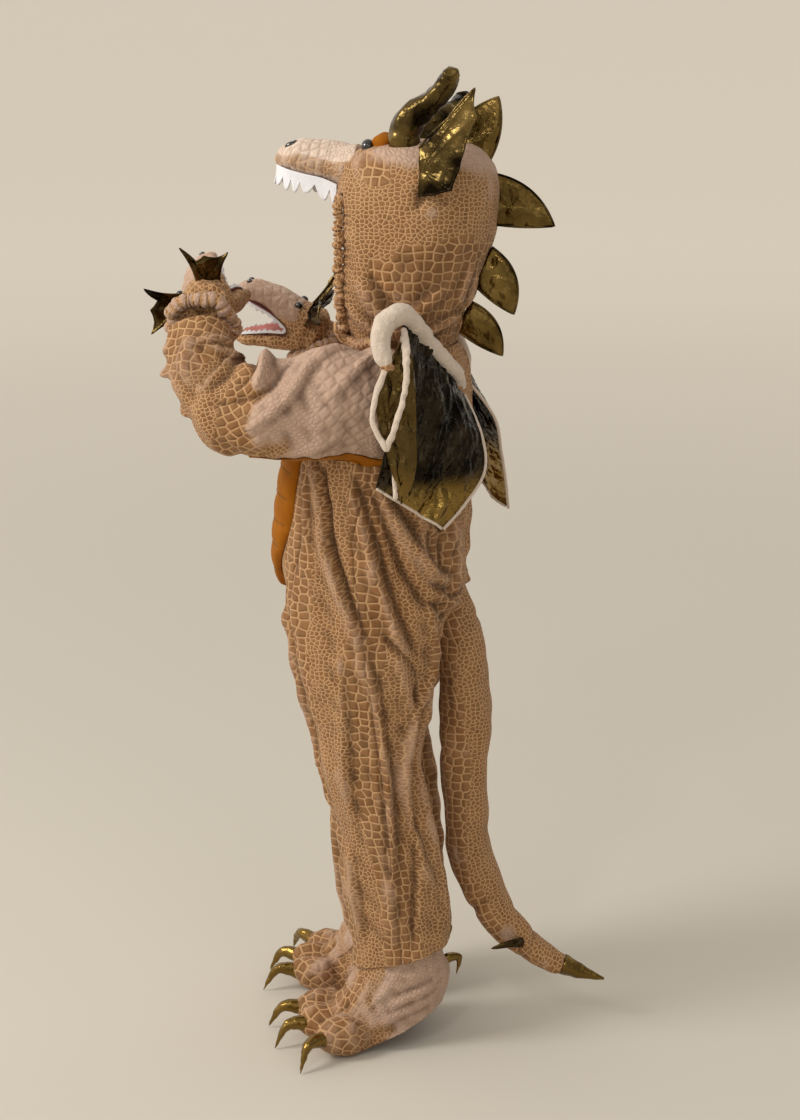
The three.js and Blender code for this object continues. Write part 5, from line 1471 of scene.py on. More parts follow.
def stitched(name, lines, key, pitch=4.0, length=2.7, radius=0.45):
    """Runs of stitches along lines that lie on a piece."""
    if "tree" not in STITCHES:
        STITCHES["tree"], STITCHES["sizes"] = stitch_tree()
    points = np.concatenate([np.asarray(line, float) for line in lines])
    edges = []
    base = 0
    for line in lines:
        edges += [(base + k, base + k + 1) for k in range(len(line) - 1)]
        base += len(line)
    mesh = bpy.data.meshes.new(name)
    mesh.from_pydata((points * MM).tolist(), edges, [])
    thing = bpy.data.objects.new(name, mesh)
    bpy.context.scene.collection.objects.link(thing)
    modifier = thing.modifiers.new("stitches", "NODES")
    modifier.node_group = STITCHES["tree"]
    sizes = STITCHES["sizes"]
    modifier[sizes["Pitch"]] = pitch * MM
    modifier[sizes["Length"]] = length * MM
    modifier[sizes["Radius"]] = radius * MM
    modifier[sizes["Thread"]] = cloth(key)
    settled(thing)
    return placed(thing)


# Head.

HOOD_FOLDS = (
    ("left", ((-62, 60), (-40, 44), (-14, 30)), 9, 5, 4),
    ("left", ((-50, 92), (-30, 66), (-6, 42), (10, 20)), 10, 5, 6),
    ("left", ((-38, 100), (-16, 74), (8, 50)), 7, 6, -4),
    ("left", ((-15, 27), (3, 51), (34, 74), (50, 84)), 9, 5, 5),
    ("left", ((10, 18), (34, 40), (62, 52)), 8, 5, 5),
    ("left", ((22, 14), (44, 30), (62, 36)), 6, 6, -3.5),
    ("left", ((22, 196), (24, 184), (20, 172)), 4, 4, -4),
    ("left", ((30, 176), (44, 170), (58, 172)), 10, 7, 2.5),
    ("left", ((80, 110), (70, 84), (64, 56)), 9, 6, 3.5),
    ("left", ((-66, 150), (-52, 128), (-44, 100)), 10, 8, 2.5),
    ("back", ((-30, 96), (-20, 66), (-26, 36)), 10, 6, 4),
    ("back", ((26, 100), (16, 68), (24, 34)), 10, 6, 4),
    ("back", ((-44, 60), (0, 52), (44, 62)), 8, 6, -3), ("back", ((-6, 60), (2, 40), (-2, 18)), 7, 6, 3),
)


def hood_rings(step=3.0):
    levels = np.concatenate([np.linspace(252.6, 250, 6)[:-1], np.arange(250, -0.1, -step)])
    rows = at_level(HOOD, levels)
    c, s = oval(around(120))
    c = np.sign(c) * np.abs(c) ** HOOD_EASE
    s = np.sign(s) * np.abs(s) ** HOOD_EASE
    grid = []
    for level, (_, half, front, back) in zip(levels, rows):
        middle = (front + back) / 2
        deep = (back - front) / 2
        grid.append(np.stack([half * c, middle + deep * s, np.full(len(c), level)], 1))
    return np.array(grid)


def face_half(z):
    """Half width of the hood at the face opening's plane."""
    row = at_level(HOOD, [z])[0]
    middle = (row[2] + row[3]) / 2
    deep = (row[3] - row[2]) / 2
    s = min(1.0, abs(middle - FACE_Y) / deep) ** (1 / HOOD_EASE)
    return row[1] * math.sqrt(max(1 - s * s, 0)) ** HOOD_EASE


def hood_creases(tree):
    made = []
    both = list(HOOD_FOLDS)
    for number, (view, path, *rest) in enumerate(HOOD_FOLDS):
        if view == "left":
            both.append(("right", out_of_step(path, 400 + number, (4, 5)), *rest))
    for view, path, soft, sharp, rise in both:
        spots = []
        for a, b in path:
            if view == "back":
                start, way = Vector((a, 0, b)), Vector((0, 1, 0))
            else:
                start, way = Vector((0, a, b)), Vector((1 if view == "left" else -1, 0, 0))
            spot = tree.ray_cast(start, way, 200)[0]
            if spot is not None:
                spots.append(tuple(spot))
        if len(spots) > 1:
            made.append((spots, soft, sharp, rise))
    return made


HOOD_RADIUS = 92


def build_hood():
    grid = hood_rings()
    whole = grid_form(grid)
    normals = whole.normals()
    tree = BVHTree.FromPolygons(whole.points.tolist(), whole.faces)
    points = whole.points
    rise = 1.5 * crease_rise(points, normals, hood_creases(tree))
    rise += (1.6 * lumps(points, 80, 21) + 0.7 * lumps(points, 28, 22)) * ramp(points[:, 2], 4, 30)
    edge = np.exp(-((points[:, 1] - FACE_Y) / 9) ** 2)
    gathered = ramp(points[:, 2], 24, 50) * ramp(-points[:, 2], -190, -160)
    rise += 1.1 * edge * np.sin(points[:, 2] / 1.55) * gathered
    foot = ramp(points[:, 2], 2, 16)
    points = points + normals * (rise * foot)[:, None]
    z = points[:, 2]
    front = ramp(-points[:, 1], -10, 40)
    upper = np.exp(-((z - 205 + 0.4 * points[:, 1]) / 24) ** 2) * front
    slant = z - 0.15 * points[:, 1] + 10 * lumps(points, 50, 23)
    lower = ramp(-slant, -138, -112) * ramp(slant, -10, 16) * ramp(points[:, 1] + 60, 6, 40)
    edge_small = 1 - np.exp(-((points[:, 1] + 62) / 15) ** 2)
    big = np.clip((0.9 * np.maximum(upper, lower) + 0.12) * edge_small, 0, 1)
    # Painted highlight and sheen: cream pile towards the top of the hood and on fold ridges, less of it in
    # troughs.
    top = ramp(z, 205, 244) * 0.6 + 0.26 * ramp(slant, 126, 160) * ramp(points[:, 1], -20, 40)
    nap = np.clip(0.05 + top + np.clip(rise / 8, -0.2, 0.35), 0, 1)
    for word, side in SIDES:
        quads = np.array([f for f in whole.faces if len(f) == 4])
        centre = points[quads].mean(1)
        turned = np.arctan2(points[:, 1] - 8, points[:, 0] * side)
        mid = np.arctan2(centre[:, 1] - 8, centre[:, 0] * side)
        turn = half_turn(turned[quads] - mid[:, None])
        over = ramp(z, 215, 250)
        u = (mid[:, None] + turn) * HOOD_RADIUS * (1 - 0.35 * over[quads])
        corners = np.stack([u, z[quads] + 0.25 * points[quads, 1] * over[quads]], -1)
        chosen = centre[:, 0] * side > -4
        # The lower part of the hood is also made darker through the fold attribute.
        form = part_of(points, quads, chosen, corners, {"big": big, "nap": nap, "fold": 0.4 * lower})
        thing = form.build("hood_" + word, cloth("scale_plush"))
        open_face(thing, side)
        lean_mesh(thing)
        walled(thing, sizes().wall / MM)
        cut_sheet(placed(thing, ("hood_" + word,)))


def open_face(thing, side):
    """Cut the half hood along its middle and cut the face window out of it."""
    mesh = bmesh.new()
    mesh.from_mesh(thing.data)

    def cut(place, normal, clear=False):
        geom = list(mesh.verts) + list(mesh.edges) + list(mesh.faces)
        bmesh.ops.bisect_plane(mesh, geom=geom, plane_co=Vector(place) * MM, plane_no=Vector(normal),
                               clear_inner=clear)

    cut((side * 0.1, 0, 0), (side, 0, 0), True)
    cut((0, FACE_Y, 0), (0, 1, 0))
    cut((0, 0, FACE_LOW), (0, 0, 1))
    cut((0, 0, FACE_HIGH), (0, 0, 1))
    gone = []
    for face in mesh.faces:
        place = face.calc_center_median() / MM
        if place.y < FACE_Y and FACE_LOW < place.z < FACE_HIGH:
            gone.append(face)
    bmesh.ops.delete(mesh, geom=gone, context="FACES")
    mesh.to_mesh(thing.data)
    mesh.free()


def lean_mesh(thing):
    mesh = thing.data
    points = np.empty(len(mesh.vertices) * 3)
    mesh.vertices.foreach_get("co", points)
    points = leaned(points.reshape(-1, 3) / MM) * MM
    mesh.vertices.foreach_set("co", points.ravel())
    mesh.update()


def build_casing():
    """Ruched roll along the face edge: a fat cord with a gather every few millimetres."""
    heights = np.linspace(42, 180, 200)
    right = [(-(face_half(z) - 1.5), FACE_Y - 5.4, z) for z in heights]
    left = [(face_half(z) - 1.5, FACE_Y - 5.4, z) for z in heights[::-1]]
    top = smooth_path([right[-1], (-24, FACE_Y - 6, 187), (0, FACE_Y - 6, 189),
                       (24, FACE_Y - 6, 187), left[0]], 70)[1:-1]
    foot = smooth_path([left[-1], (22, FACE_Y - 4, 27), (0, FACE_Y - 4, 24),
                        (-22, FACE_Y - 4, 27), right[0]], 70)[1:-1]
    line = np.concatenate([right, top, left, foot])
    length = path_length(line)
    line = np.array([[np.interp(t, length, line[:, k]) for k in range(3)]
                     for t in np.linspace(0, length[-1], 620, endpoint=False)])
    t = np.linspace(0, 2 * math.pi, len(line), endpoint=False)
    gathers = np.sin(33 * t + 1.5 * np.sin(5 * t)) ** 2
    reach = 4.1 + 3.1 * gathers ** 0.7 + 0.5 * np.sin(13 * t)
    shift = np.stack([0.9 * np.sin(22 * t + 1), 1.2 * np.cos(22 * t + 0.4), 0.4 * np.sin(31 * t)], 1)
    form = tube_along(line + shift, reach, 14, closed=True)
    # Painted highlight: cream pile on the bulges of the gathers, tan in the dips between them.
    form = with_values(form, big=0, nap=0.08 + 0.34 * np.repeat(gathers, 14))
    form.points = leaned(form.points)
    piece(form, "face_casing", "scale_roll", ("face_casing",))


def build_snout():
    grid, _ = limb(SNOUT, 46, 52, (1, 0, 0))
    form = grid_form(grid)
    points = form.points
    normals = form.normals()
    cheek = np.exp(-((points[:, 1] + 86) / 12) ** 2) * np.exp(-((np.abs(points[:, 0]) - 34) / 14) ** 2)
    ridge = 1.3 * lumps(points, 46, 31) - 1.8 * cheek
    middle_seam = np.exp(-(points[:, 0] / 2.2) ** 2) * ramp(normals[:, 2], 0.2, 0.7)
    form.points = points + normals * (ridge - 0.9 * middle_seam)[:, None]
    cream = ramp(normals[:, 2] + 0.10 * lumps(points, 30, 33), 0.34, 0.66)
    under = ramp(-normals[:, 2], 0.5, 0.9)
    big = 0.35 + 0.5 * ramp(-points[:, 1], 84, 112)
    form = with_values(form, nap=np.clip(0.45 + 0.9 * cream + 0.4 * under, 0, 1), big=big)
    form.points = leaned(form.points)
    piece(form, "snout", "pale_plush", ("snout",))

    nostrils = []
    for side in (1, -1):
        nostrils.append(egg((side * 15, -141, 242), (side * 0.35, -0.4, 0.9), 4.4, 8.0, 4.6))
        nostrils.append(egg((side * 13, -136, 245), (side * 0.3, -0.2, 0.9), 3.2, 4.4, 3.4))
    form = joined(*nostrils)
    form.points = leaned(form.points)
    piece(form, "nostrils", "eye_gloss")

    palate = []
    for t in np.linspace(0, 1, 22):
        y = blend(-84, -152, t)
        half = float(np.interp(-y, [84, 110, 135, 152], [33, 30, 25, 9]))
        level = float(np.interp(-y, [84, 110, 135, 152], [193.5, 199.5, 205.5, 211]))
        x = np.linspace(-half, half, 17)
        palate.append(np.stack([x, np.full(17, y), level + 2.6 * (x / half) ** 2 - 1.2], 1))
    form = grid_form(np.array(palate), wrap=False)
    form.points = leaned(form.points)
    thing = form.build("palate", cloth("palate_cloth"))
    walled(thing, -1.2)
    cut_sheet(placed(thing))


TOOTH_LINE = (
    (36, -82, 192), (33, -100, 199), (31, -124, 204), (26, -144, 209), (13, -156, 213), (0, -159, 214),
)
TOOTH_COUNT = 15
TOOTH_BAND = 8
TOOTH_DROP = 14


def build_teeth():
    """Zig-zag strip of white felt under the stuffed jaw, its points curling a little."""
    line = np.array(TOOTH_LINE + tuple((-x, y, z) for x, y, z in TOOTH_LINE[-2::-1]), float)
    path = smooth_path(line, 261)
    way = unit(np.gradient(path, axis=0))
    outer = unit(np.cross(way, (0, 0, 1.0)))
    flip = np.sign(np.einsum("ij,ij->i", outer, path - np.array([0, -100, 205])))
    outer = outer * flip[:, None]
    t = np.linspace(0, TOOTH_COUNT, len(path))
    t = t + 0.18 * np.sin(t * 2 * math.pi * 4 / TOOTH_COUNT)
    part = t % 1
    which = np.minimum(t.astype(int), TOOTH_COUNT - 1)
    spread = np.random.default_rng(8)
    tall = 1 + spread.uniform(-0.16, 0.16, TOOTH_COUNT)
    skew = spread.uniform(0.40, 0.62, TOOTH_COUNT)
    curl = spread.uniform(-2.5, 4.0, TOOTH_COUNT)
    peak = np.where(part < skew[which], part / skew[which], (1 - part) / (1 - skew[which]))
    drop = (TOOTH_BAND - 5) + TOOTH_DROP * tall[which] * np.sin(peak * math.pi / 2) ** 0.9
    rows = []
    for r in np.linspace(0, 1, 9):
        down = -6 + (drop + 6) * r
        out = 1.2 + 2.4 * ramp(down, 0, 18) + curl[which] * (np.clip(down, 0, 30) / 20) ** 2 * peak
        rows.append(path + outer * out[:, None] + np.outer(-down, (0, 0, 1.0)))
    form = grid_form(np.array(rows), wrap=False)
    form.points = leaned(form.points)
    thing = form.build("snout_teeth", cloth("white_felt"))
    walled(thing, 1.9)
    cut_sheet(placed(thing, ("snout_teeth",)))


def build_eyes():
    for word, side in SIDES:
        form = egg((side * 36, -46, 243), (side * 0.5, -0.5, 0.8), 9, 8, 8, 18, 28)
        form.points = leaned(form.points)
        piece(form, "eye_" + word, "eye_gloss", ("eye_" + word,))
        brow = egg((side * 36, -27, 246), (side * 0.3, -0.1, 0.9), 12.5, 14, 13, 22, 32)
        tuck = np.exp(-((brow.points[:, 2] - 244) / 3.5) ** 2)
        brow = raised(brow, 1.1 * lumps(brow.points, 17, 41) - 1.2 * tuck)
        brow.points = leaned(brow.points)
        piece(brow, "brow_" + word, "orange_velour", ("brow_" + word,))


def build_horns():
    dents = ((0.80, 0.012, -1.6), (0.845, 0.010, 0.8), (0.20, 0.03, -1.0), (0.33, 0.02, -0.8),
             (0.52, 0.02, -0.7))
    for word in HORN:
        grid, _ = limb(HORN[word], 60, 36, (1, 0, 0))
        form = grid_form(grid)
        line = smooth_path(np.array(HORN[word], float)[:, :3], 60)
        _, share, _, _ = away_from(form.points, line)
        rise = sum(height * np.exp(-((share - place) / width) ** 2) for place, width, height in dents)
        rise = rise + 0.8 * lumps(form.points, 26, 51) + 0.5 * lumps(form.points, 12, 52)
        form = raised(form, rise)
        form.points = leaned(form.points)
        piece(form, "horn_" + word, "gold_lame", ("horn_" + word,))


# Bend of a head ear: its edge stands this far out for each square millimetre behind the root.
EAR_BEND = 0.0015
EAR_MIDDLE = (6, 30)


def ear_frame(side):
    level = 188 if side > 0 else 158
    across = unit(np.array([side * 0.5, 0.866, 0]))
    return np.array([side * 94, 22, level], float), across, np.array([0, 0, 1.0])


def ear_line(flat, side):
    """A line on the bent ear, from its places across and up."""
    origin, across, up = ear_frame(side)
    line = origin + np.outer(flat[:, 0], across) + np.outer(flat[:, 1], up)
    return line - np.outer(EAR_BEND * flat[:, 0] ** 2, np.cross(across, up))


def build_ears():
    cords = []
    runs = []
    corners = np.array(EAR, float)
    for word, side in SIDES:
        origin, across, up = ear_frame(side)
        facing = np.cross(across, up)
        outline = flat_outline(corners, 170, 0.03)
        tips = corner_shares(outline, corners, (2, 6, 8))
        form = plate(outline, (5, 30), 5.5, across, up, origin, [(tip, 3.5) for tip in tips], 14, 1.6)
        form = raised(form, 0.7 * lumps(form.points, 22, 61 + side))
        bend = (form.points - origin) @ across
        form.points = leaned(form.points - np.outer(EAR_BEND * bend ** 2, facing))
        piece(form, "ear_" + word, "gold_lame", ("ear_" + word,))
        for run, count in ((corners[:-1], 150), (corners[8:], 50)):
            edge = flat_outline(run, count, 0.03, closed=False)
            cords.append(tube_along(leaned(ear_line(edge, side)), 1.5, 8))
        for k in (2, 4, 6, 8):
            flat = EAR_MIDDLE + np.outer(np.linspace(0.06, 0.96, 30), corners[k] - EAR_MIDDLE)
            for turn in (1, -1):
                runs.append(leaned(ear_line(flat, side) + facing * turn * 3.1))
    piece(joined(*cords), "ear_cords", "gold_lame")
    stitched("ear_stitches", runs, "gold_thread", 4.0, 2.0, 0.28)


def spike_edges(root_a, root_b, tip, bow_a, bow_b):
    """Both curved edges of a back spike in the middle plane."""
    a = np.array(root_a, float)
    b = np.array(root_b, float)
    end = np.array(tip, float)

    def bowed(start, bow):
        run = end - start
        normal = unit(np.array([run[1], -run[0]]))
        return [start + run * t - normal * bow * 4 * t * (1 - t) for t in np.linspace(0, 1, 26)]

    return np.array(bowed(a, bow_a)), np.array(bowed(b, bow_b))


def build_spikes():
    cords = []
    for number, (name, root_a, root_b, tip, bow_a, bow_b) in enumerate(SPIKES):
        upper, lower = spike_edges(root_a, root_b, tip, bow_a, bow_b)
        rows = []
        for k in range(len(upper)):
            t = k / (len(upper) - 1)
            share = np.linspace(0, 1, 15)
            flat = upper[k] + np.outer(share, lower[k] - upper[k])
            fill = 4.2 * np.sqrt(np.clip(1 - (2 * share - 1) ** 4, 0, 1)) * (1 - t ** 3)
            crease = 0.9 * np.sin(share * 9 + t * 4 + number) * (1 - t) * np.sin(math.pi * share)
            front = np.stack([fill + crease + 0.25, flat[:, 0], flat[:, 1]], 1)
            back = np.stack([-fill + crease - 0.25, flat[:, 0], flat[:, 1]], 1)[::-1]
            rows.append(np.concatenate([front, back]))
        form = grid_form(np.array(rows))
        form = raised(form, 0.9 * lumps(form.points, 20, 71 + number))
        form.points = leaned(form.points)
        piece(with_values(form, band=0.35), name, "gold_lame", (name,))
        line = np.concatenate([upper, lower[::-1][1:]])
        cord = tube_along(leaned(np.stack([np.zeros(len(line)), line[:, 0], line[:, 1]], 1)), 1.5, 8)
        cords.append(cord)
    piece(joined(*cords), "spike_cords", "gold_lame")



# Body trim: belly panel, collar, gussets and tail.

BELLY_TOP = -6
BELLY_FOOT = -297
BELLY_HALF = 82
BELLY_CHANNELS = 9


def belly_half(t):
    taper = math.sin(min(1, (1 - t) / 0.42) * math.pi / 2)
    return BELLY_HALF * min(1, 0.55 + 2.4 * t) * max(taper, 0) ** 0.8


def trunk_front(x, z):
    """Forward place of the trunk's front at a width and height."""
    row = at_level(TRUNK, [z])[0]
    middle = (row[2] + row[3]) / 2
    deep = (row[3] - row[2]) / 2
    return middle - deep * np.clip(1 - np.abs(x / row[1]) ** TRUNK_POWER, 0, 1) ** (1 / TRUNK_POWER)


def build_belly():
    rows = []
    across = np.linspace(-1, 1, 41)
    for t in np.linspace(0, 1, 150):
        z = blend(BELLY_TOP, BELLY_FOOT, t)
        half = max(belly_half(t), 0.8)
        x = half * across
        front = trunk_front(x, z)
        slope = np.gradient(front, x)
        drop = (trunk_front(x, z - 2) - trunk_front(x, z + 2)) / 4
        normal = unit(np.stack([slope, -np.ones_like(x), -drop], 1))
        wave = abs(math.sin(math.pi * BELLY_CHANNELS * t + 0.2 * math.sin(9 * t)))
        ends = min(1, t / 0.02) ** 0.5 * min(1, (1 - t) / 0.03) ** 0.5
        edge = np.clip(1 - np.abs(across) ** 5, 0, 1) ** 0.5 * ends
        dimple = 0.8 * np.sin(across * 7 + 3 * math.sin(8 * t)) * (1 - wave)
        tall = 1.5 + (6.2 + 4.2 * wave ** 0.4) * edge + dimple * edge
        skin = np.stack([x, front, np.full(41, z)], 1)
        outer = skin + normal * tall[:, None]
        inner = (skin + normal * 0.3)[::-1]
        rows.append(np.concatenate([outer, inner]))
    grid = np.array(rows)
    form = grid_form(grid)
    piece(form, "belly_panel", "orange_velour", ("belly_panel",))
    marks = np.linspace(0, 149, BELLY_CHANNELS + 1).astype(int)[1:-1]
    seams = [grid[k, 2:39] + np.array([0, -0.5, 0]) for k in marks]
    stitched("belly_stitches", seams, "gold_thread", 3.6, 2.5, 0.4)


def build_collar():
    arc = np.radians(np.linspace(-174, -6, 260))
    roll = np.stack([66 * np.cos(arc), -8 + 72 * np.sin(arc), np.full(len(arc), 21.5)], 1)
    t = np.linspace(0, 1, len(arc))
    roll[:, 2] += 2.5 * np.sin(13 * t + 1) + 1.2 * np.sin(37 * t)
    gathers = np.sin(math.pi * 30 * t + 2 * np.sin(7 * t)) ** 2
    reach = 5.2 + 1.6 * gathers + 0.8 * np.sin(17 * t)
    # Painted highlight: cream pile on the bulges of the gathers, tan in the dips between them.
    form = with_values(tube_along(roll, reach, 16), big=0.1, nap=0.25 + 0.2 * np.repeat(gathers, 16))
    piece(form, "collar_roll", "scale_roll", ("collar_roll",))
    tab = smooth_path(((40, -66, 20), (43, -76, 26), (44, -80, 34), (43, -80, 41)), 24)
    rows = [(*p, r, 2.4) for p, r in zip(tab, 7.5 * np.sin(np.linspace(1.0, 2.75, 24)) ** 0.6 + 0.6)]
    grid, _ = limb(rows, 30, 20, (0.9, 0.4, 0), round_far=True)
    form = with_values(grid_form(grid), big=0, nap=0.2)
    piece(form, "collar_tab", "scale_roll", ())


def build_gussets(tree):
    """Orange strip under each upper sleeve, laid on the sleeve."""
    for word, low, high in (("left", 0.14, 0.50), ("right", 0.24, 0.60)):
        rows = []
        for share in np.linspace(low, high, 40):
            spots = []
            for degrees in np.linspace(238, 302, 22):
                spot, normal, _, _ = tree.find_nearest(Vector(arm_spot(word, share, degrees)))
                spots.append(np.array(spot) + np.array(normal) * 1.6)
            rows.append(spots)
        grid = np.array(rows)
        for _ in range(6):
            grid[1:-1, 1:-1] = (grid[1:-1, 1:-1] * 2 + grid[:-2, 1:-1] + grid[2:, 1:-1]
                                + grid[1:-1, :-2] + grid[1:-1, 2:]) / 6
        form = grid_form(grid, wrap=False)
        thing = form.build("gusset_" + word, cloth("orange_velour"))
        if np.mean(form.normals()[:, 2]) > 0:
            thing.data.flip_normals()
        walled(thing, 1.2)
        cut_sheet(placed(thing, ("gusset_" + word,)))


def build_tail():
    grid, _ = limb(TAIL, 190, 56, (0, -1, 0))
    form = grid_form(grid)
    points = form.points
    normals = form.normals()
    line = smooth_path(np.array(TAIL)[:, :3], 120)
    _, share, _, _ = away_from(points, line)
    angle = np.arctan2(normals[:, 0], normals[:, 1])
    rings = ((0.16, 0.012, -1.6), (0.30, 0.014, -1.2), (0.46, 0.012, -1.5), (0.60, 0.014, -1.2),
             (0.73, 0.010, -2.0), (0.79, 0.010, -1.4), (0.87, 0.009, -1.4))
    rise = 1.9 * lumps(points, 62, 81) + 0.8 * lumps(points, 24, 82)
    for number, (place, width, height) in enumerate(rings):
        spread = 0.5 + 0.5 * np.cos(angle - number * 2.2)
        off = share - place - 0.01 * np.sin(angle + number)
        rise += height * 1.5 * spread * np.exp(-(off / width) ** 2)
    seam = np.exp(-((angle - math.pi / 2 - 0.5) / 0.05) ** 2)
    rise -= 0.9 * seam
    points = points + normals * (rise * ramp(share, 0.0, 0.05))[:, None]
    form.points = points
    big = np.clip(0.52 - 0.62 * normals[:, 1] + 0.25 * lumps(points, 120, 83), 0, 1)
    # Painted sheen: uneven cream patches only on the side facing the camera.
    nap = np.clip(0.16 + 0.25 * ramp(normals[:, 0], 0.5, 1) * lumps(points, 50, 84), 0, 1)
    form = with_values(form, big=big, nap=nap)
    piece(form, "tail", "scale_plush", ("tail",))

    grid, _ = limb(TAIL_TIP, 40, 32, (0, -1, 0), round_far=True)
    form = grid_form(grid)
    form = raised(form, 0.5 * lumps(form.points, 12, 85) + 0.3)
    piece(with_values(form, band=0.6), "tail_tip", "gold_lame", ("tail_tip",))
    for word, side in SIDES:
        line = smooth_path(((side * 12, 150, -752), (side * 34, 138, -744), (side * 40, 112, -750)), 24)
        rows = [(*p, r, 0.55 * r) for p, r in zip(line, np.linspace(1, 0, 24) ** 0.7 * 7.6 + 0.6)]
        grid, _ = limb(rows, 30, 24, (0, 0, 1), round_far=True)
        piece(grid_form(grid), "tail_spur_" + word, "gold_lame", ("tail_spur_" + word,))


# Wings.

def mirrored(table, side):
    rows = np.array(table, float)
    rows[:, 0] *= side
    return rows


def ripple_sheet(rear, front, side, waves, depth, seed, cols=84, rows=84):
    """A crinkled sheet hung between two edges."""
    a = smooth_path(mirrored(rear, side), rows)
    b = smooth_path(mirrored(front, side), rows)
    t = np.linspace(0, 1, cols)
    grid = a[:, None] + (b - a)[:, None] * t[None, :, None]
    flat = grid.reshape(-1, 3)
    normal = unit(np.cross(np.gradient(grid, axis=0), np.gradient(grid, axis=1)).reshape(-1, 3))
    share = np.tile(t, rows)
    down = np.repeat(np.linspace(0, 1, rows), cols)
    held = np.sin(math.pi * np.clip(share, 0, 1)) ** 0.5
    wave = depth * np.sin(2 * math.pi * waves * share + 1.6 * down + 0.5) * (0.25 + 0.75 * down) * held
    sharp = np.abs(lumps(flat, 46, seed)) * 4.4 + np.abs(lumps(flat, 21, seed + 1)) * 2.2
    fine = 0.8 * np.abs(lumps(flat, 10, seed + 2))
    flat = flat + normal * (wave - (sharp + fine - 2.2) * held)[:, None]
    return flat.reshape(rows, cols, 3), a, b


def build_wings():
    cords = []
    paws = []
    for word, side in SIDES:
        arm = mirrored(WING_ARM, side)
        grid, _ = limb(arm, 90, 30, (0, 0.6, 0.8), round_near=True, round_far=True)
        form = grid_form(grid)
        wrinkle = 0.9 * lumps(form.points, 22, 91) + 0.5 * lumps(form.points, 9, 92)
        line = smooth_path(arm[:, :3], 80)
        _, share, offset, _ = away_from(form.points, line)
        inner = ramp(-offset[:, 2], 0, 8)
        folds = inner * np.exp(-((share - 0.55) / 0.16) ** 2) * -1.6 * np.sin(share * 120) ** 2
        form = raised(form, wrinkle + folds)
        piece(form, "wing_arm_" + word, "nap_plush", ("wing_arm_" + word,))
        paws.append(egg((side * 177, 1, 21), (0, -0.2, -1), 6.6, 7.6, 6.2, 14, 20))

        thin = []
        for table, radius, seed in ((RIB_LONG, 4.2, 93), (RIB_SHORT, 3.8, 94)):
            path = smooth_path(mirrored(table, side), 90)
            t = np.linspace(0, 1, 90)
            wide = radius * (1 - 0.25 * t + 0.1 * np.sin(9 * t))
            rows = np.column_stack([path, wide, np.full(90, radius * 0.62)])
            grid, _ = limb(rows, 80, 20, (0, 1, 0), round_near=True, round_far=True)
            form = grid_form(grid)
            thin.append(raised(form, 0.8 * lumps(form.points, 11, seed)))
        piece(joined(*thin), "wing_ribs_" + word, "nap_plush", ("wing_ribs_" + word,))

        grid, rear, _ = ripple_sheet(REAR_EDGE[word], FRONT_EDGE, side, 3, 4, 95)
        low = ramp(-grid[:, :, 2].ravel(), 118, 150)
        form = with_values(grid_form(grid, wrap=False), band=low)
        thing = form.build("wing_membrane_" + word, cloth("dark_lame"))
        walled(thing, 0.9)
        placed(thing, ("wing_membrane_" + word,))
        cut_sheet(thing)
        cords.append(tube_along(rear[4:], 1.9, 8))
        cords.append(tube_along(grid[-1, 2:-1] + np.array([0, 0, -0.6]), 1.7, 8))

        fold, _, _ = ripple_sheet(FOLD_REAR, FOLD_FRONT, side, 2, 2, 98, 40, 84)
        low = ramp(-fold[:, :, 2].ravel(), 84, 130) * 0.4
        form = with_values(grid_form(fold, wrap=False), band=low + 0.35)
        thing = form.build("wing_fold_" + word, cloth("dark_lame"))
        walled(thing, 0.9)
        placed(thing, ("wing_fold_" + word,))
        cut_sheet(thing)

        strip = smooth_path(mirrored(WING_STRIP, side), 70) + np.array([side * 3.5, 0, 0])
        rows = [(*p, 3.8 + 0.9 * math.sin(k / 6), 2.2) for k, p in enumerate(strip)]
        grid, _ = limb(rows, 70, 16, (0, 1, 0.1), round_near=True, round_far=True)
        form = grid_form(grid)
        form = raised(form, 0.7 * lumps(form.points, 12, 99))
        piece(form, "wing_strip_" + word, "nap_plush", ())
    piece(joined(*cords), "wing_piping", "nap_plush")
    form = with_values(joined(*paws), big=0.2, nap=0.3)
    form = raised(form, 0.8 * lumps(form.points, 9, 97))
    piece(form, "wing_paws", "scale_roll", ())


# Hand puppets.

class PuppetFrame:
    """A puppet's own directions: ahead along the muzzle, crown upwards, aside across."""

    def __init__(self, word):
        row = PUPPETS[word]
        self.hub = np.array(row["hub"], float)
        self.ahead = unit(np.array(row["ahead"], float))
        crown = np.array(row["crown"], float)
        self.crown = unit(crown - crown @ self.ahead * self.ahead)
        self.aside = np.cross(self.crown, self.ahead)
        self.wrist = row["wrist"]

    def place(self, ahead, crown, aside=0.0):
        ahead = np.asarray(ahead, float)[..., None]
        crown = np.asarray(crown, float)[..., None]
        aside = np.asarray(aside, float)[..., None]
        return self.hub + ahead * self.ahead + crown * self.crown + aside * self.aside

    def table(self, rows):
        return [(*self.place(r[0], r[1], r[2]), *r[3:]) for r in rows]

    def own(self, points):
        gap = points - self.hub
        return gap @ self.ahead, gap @ self.crown, gap @ self.aside


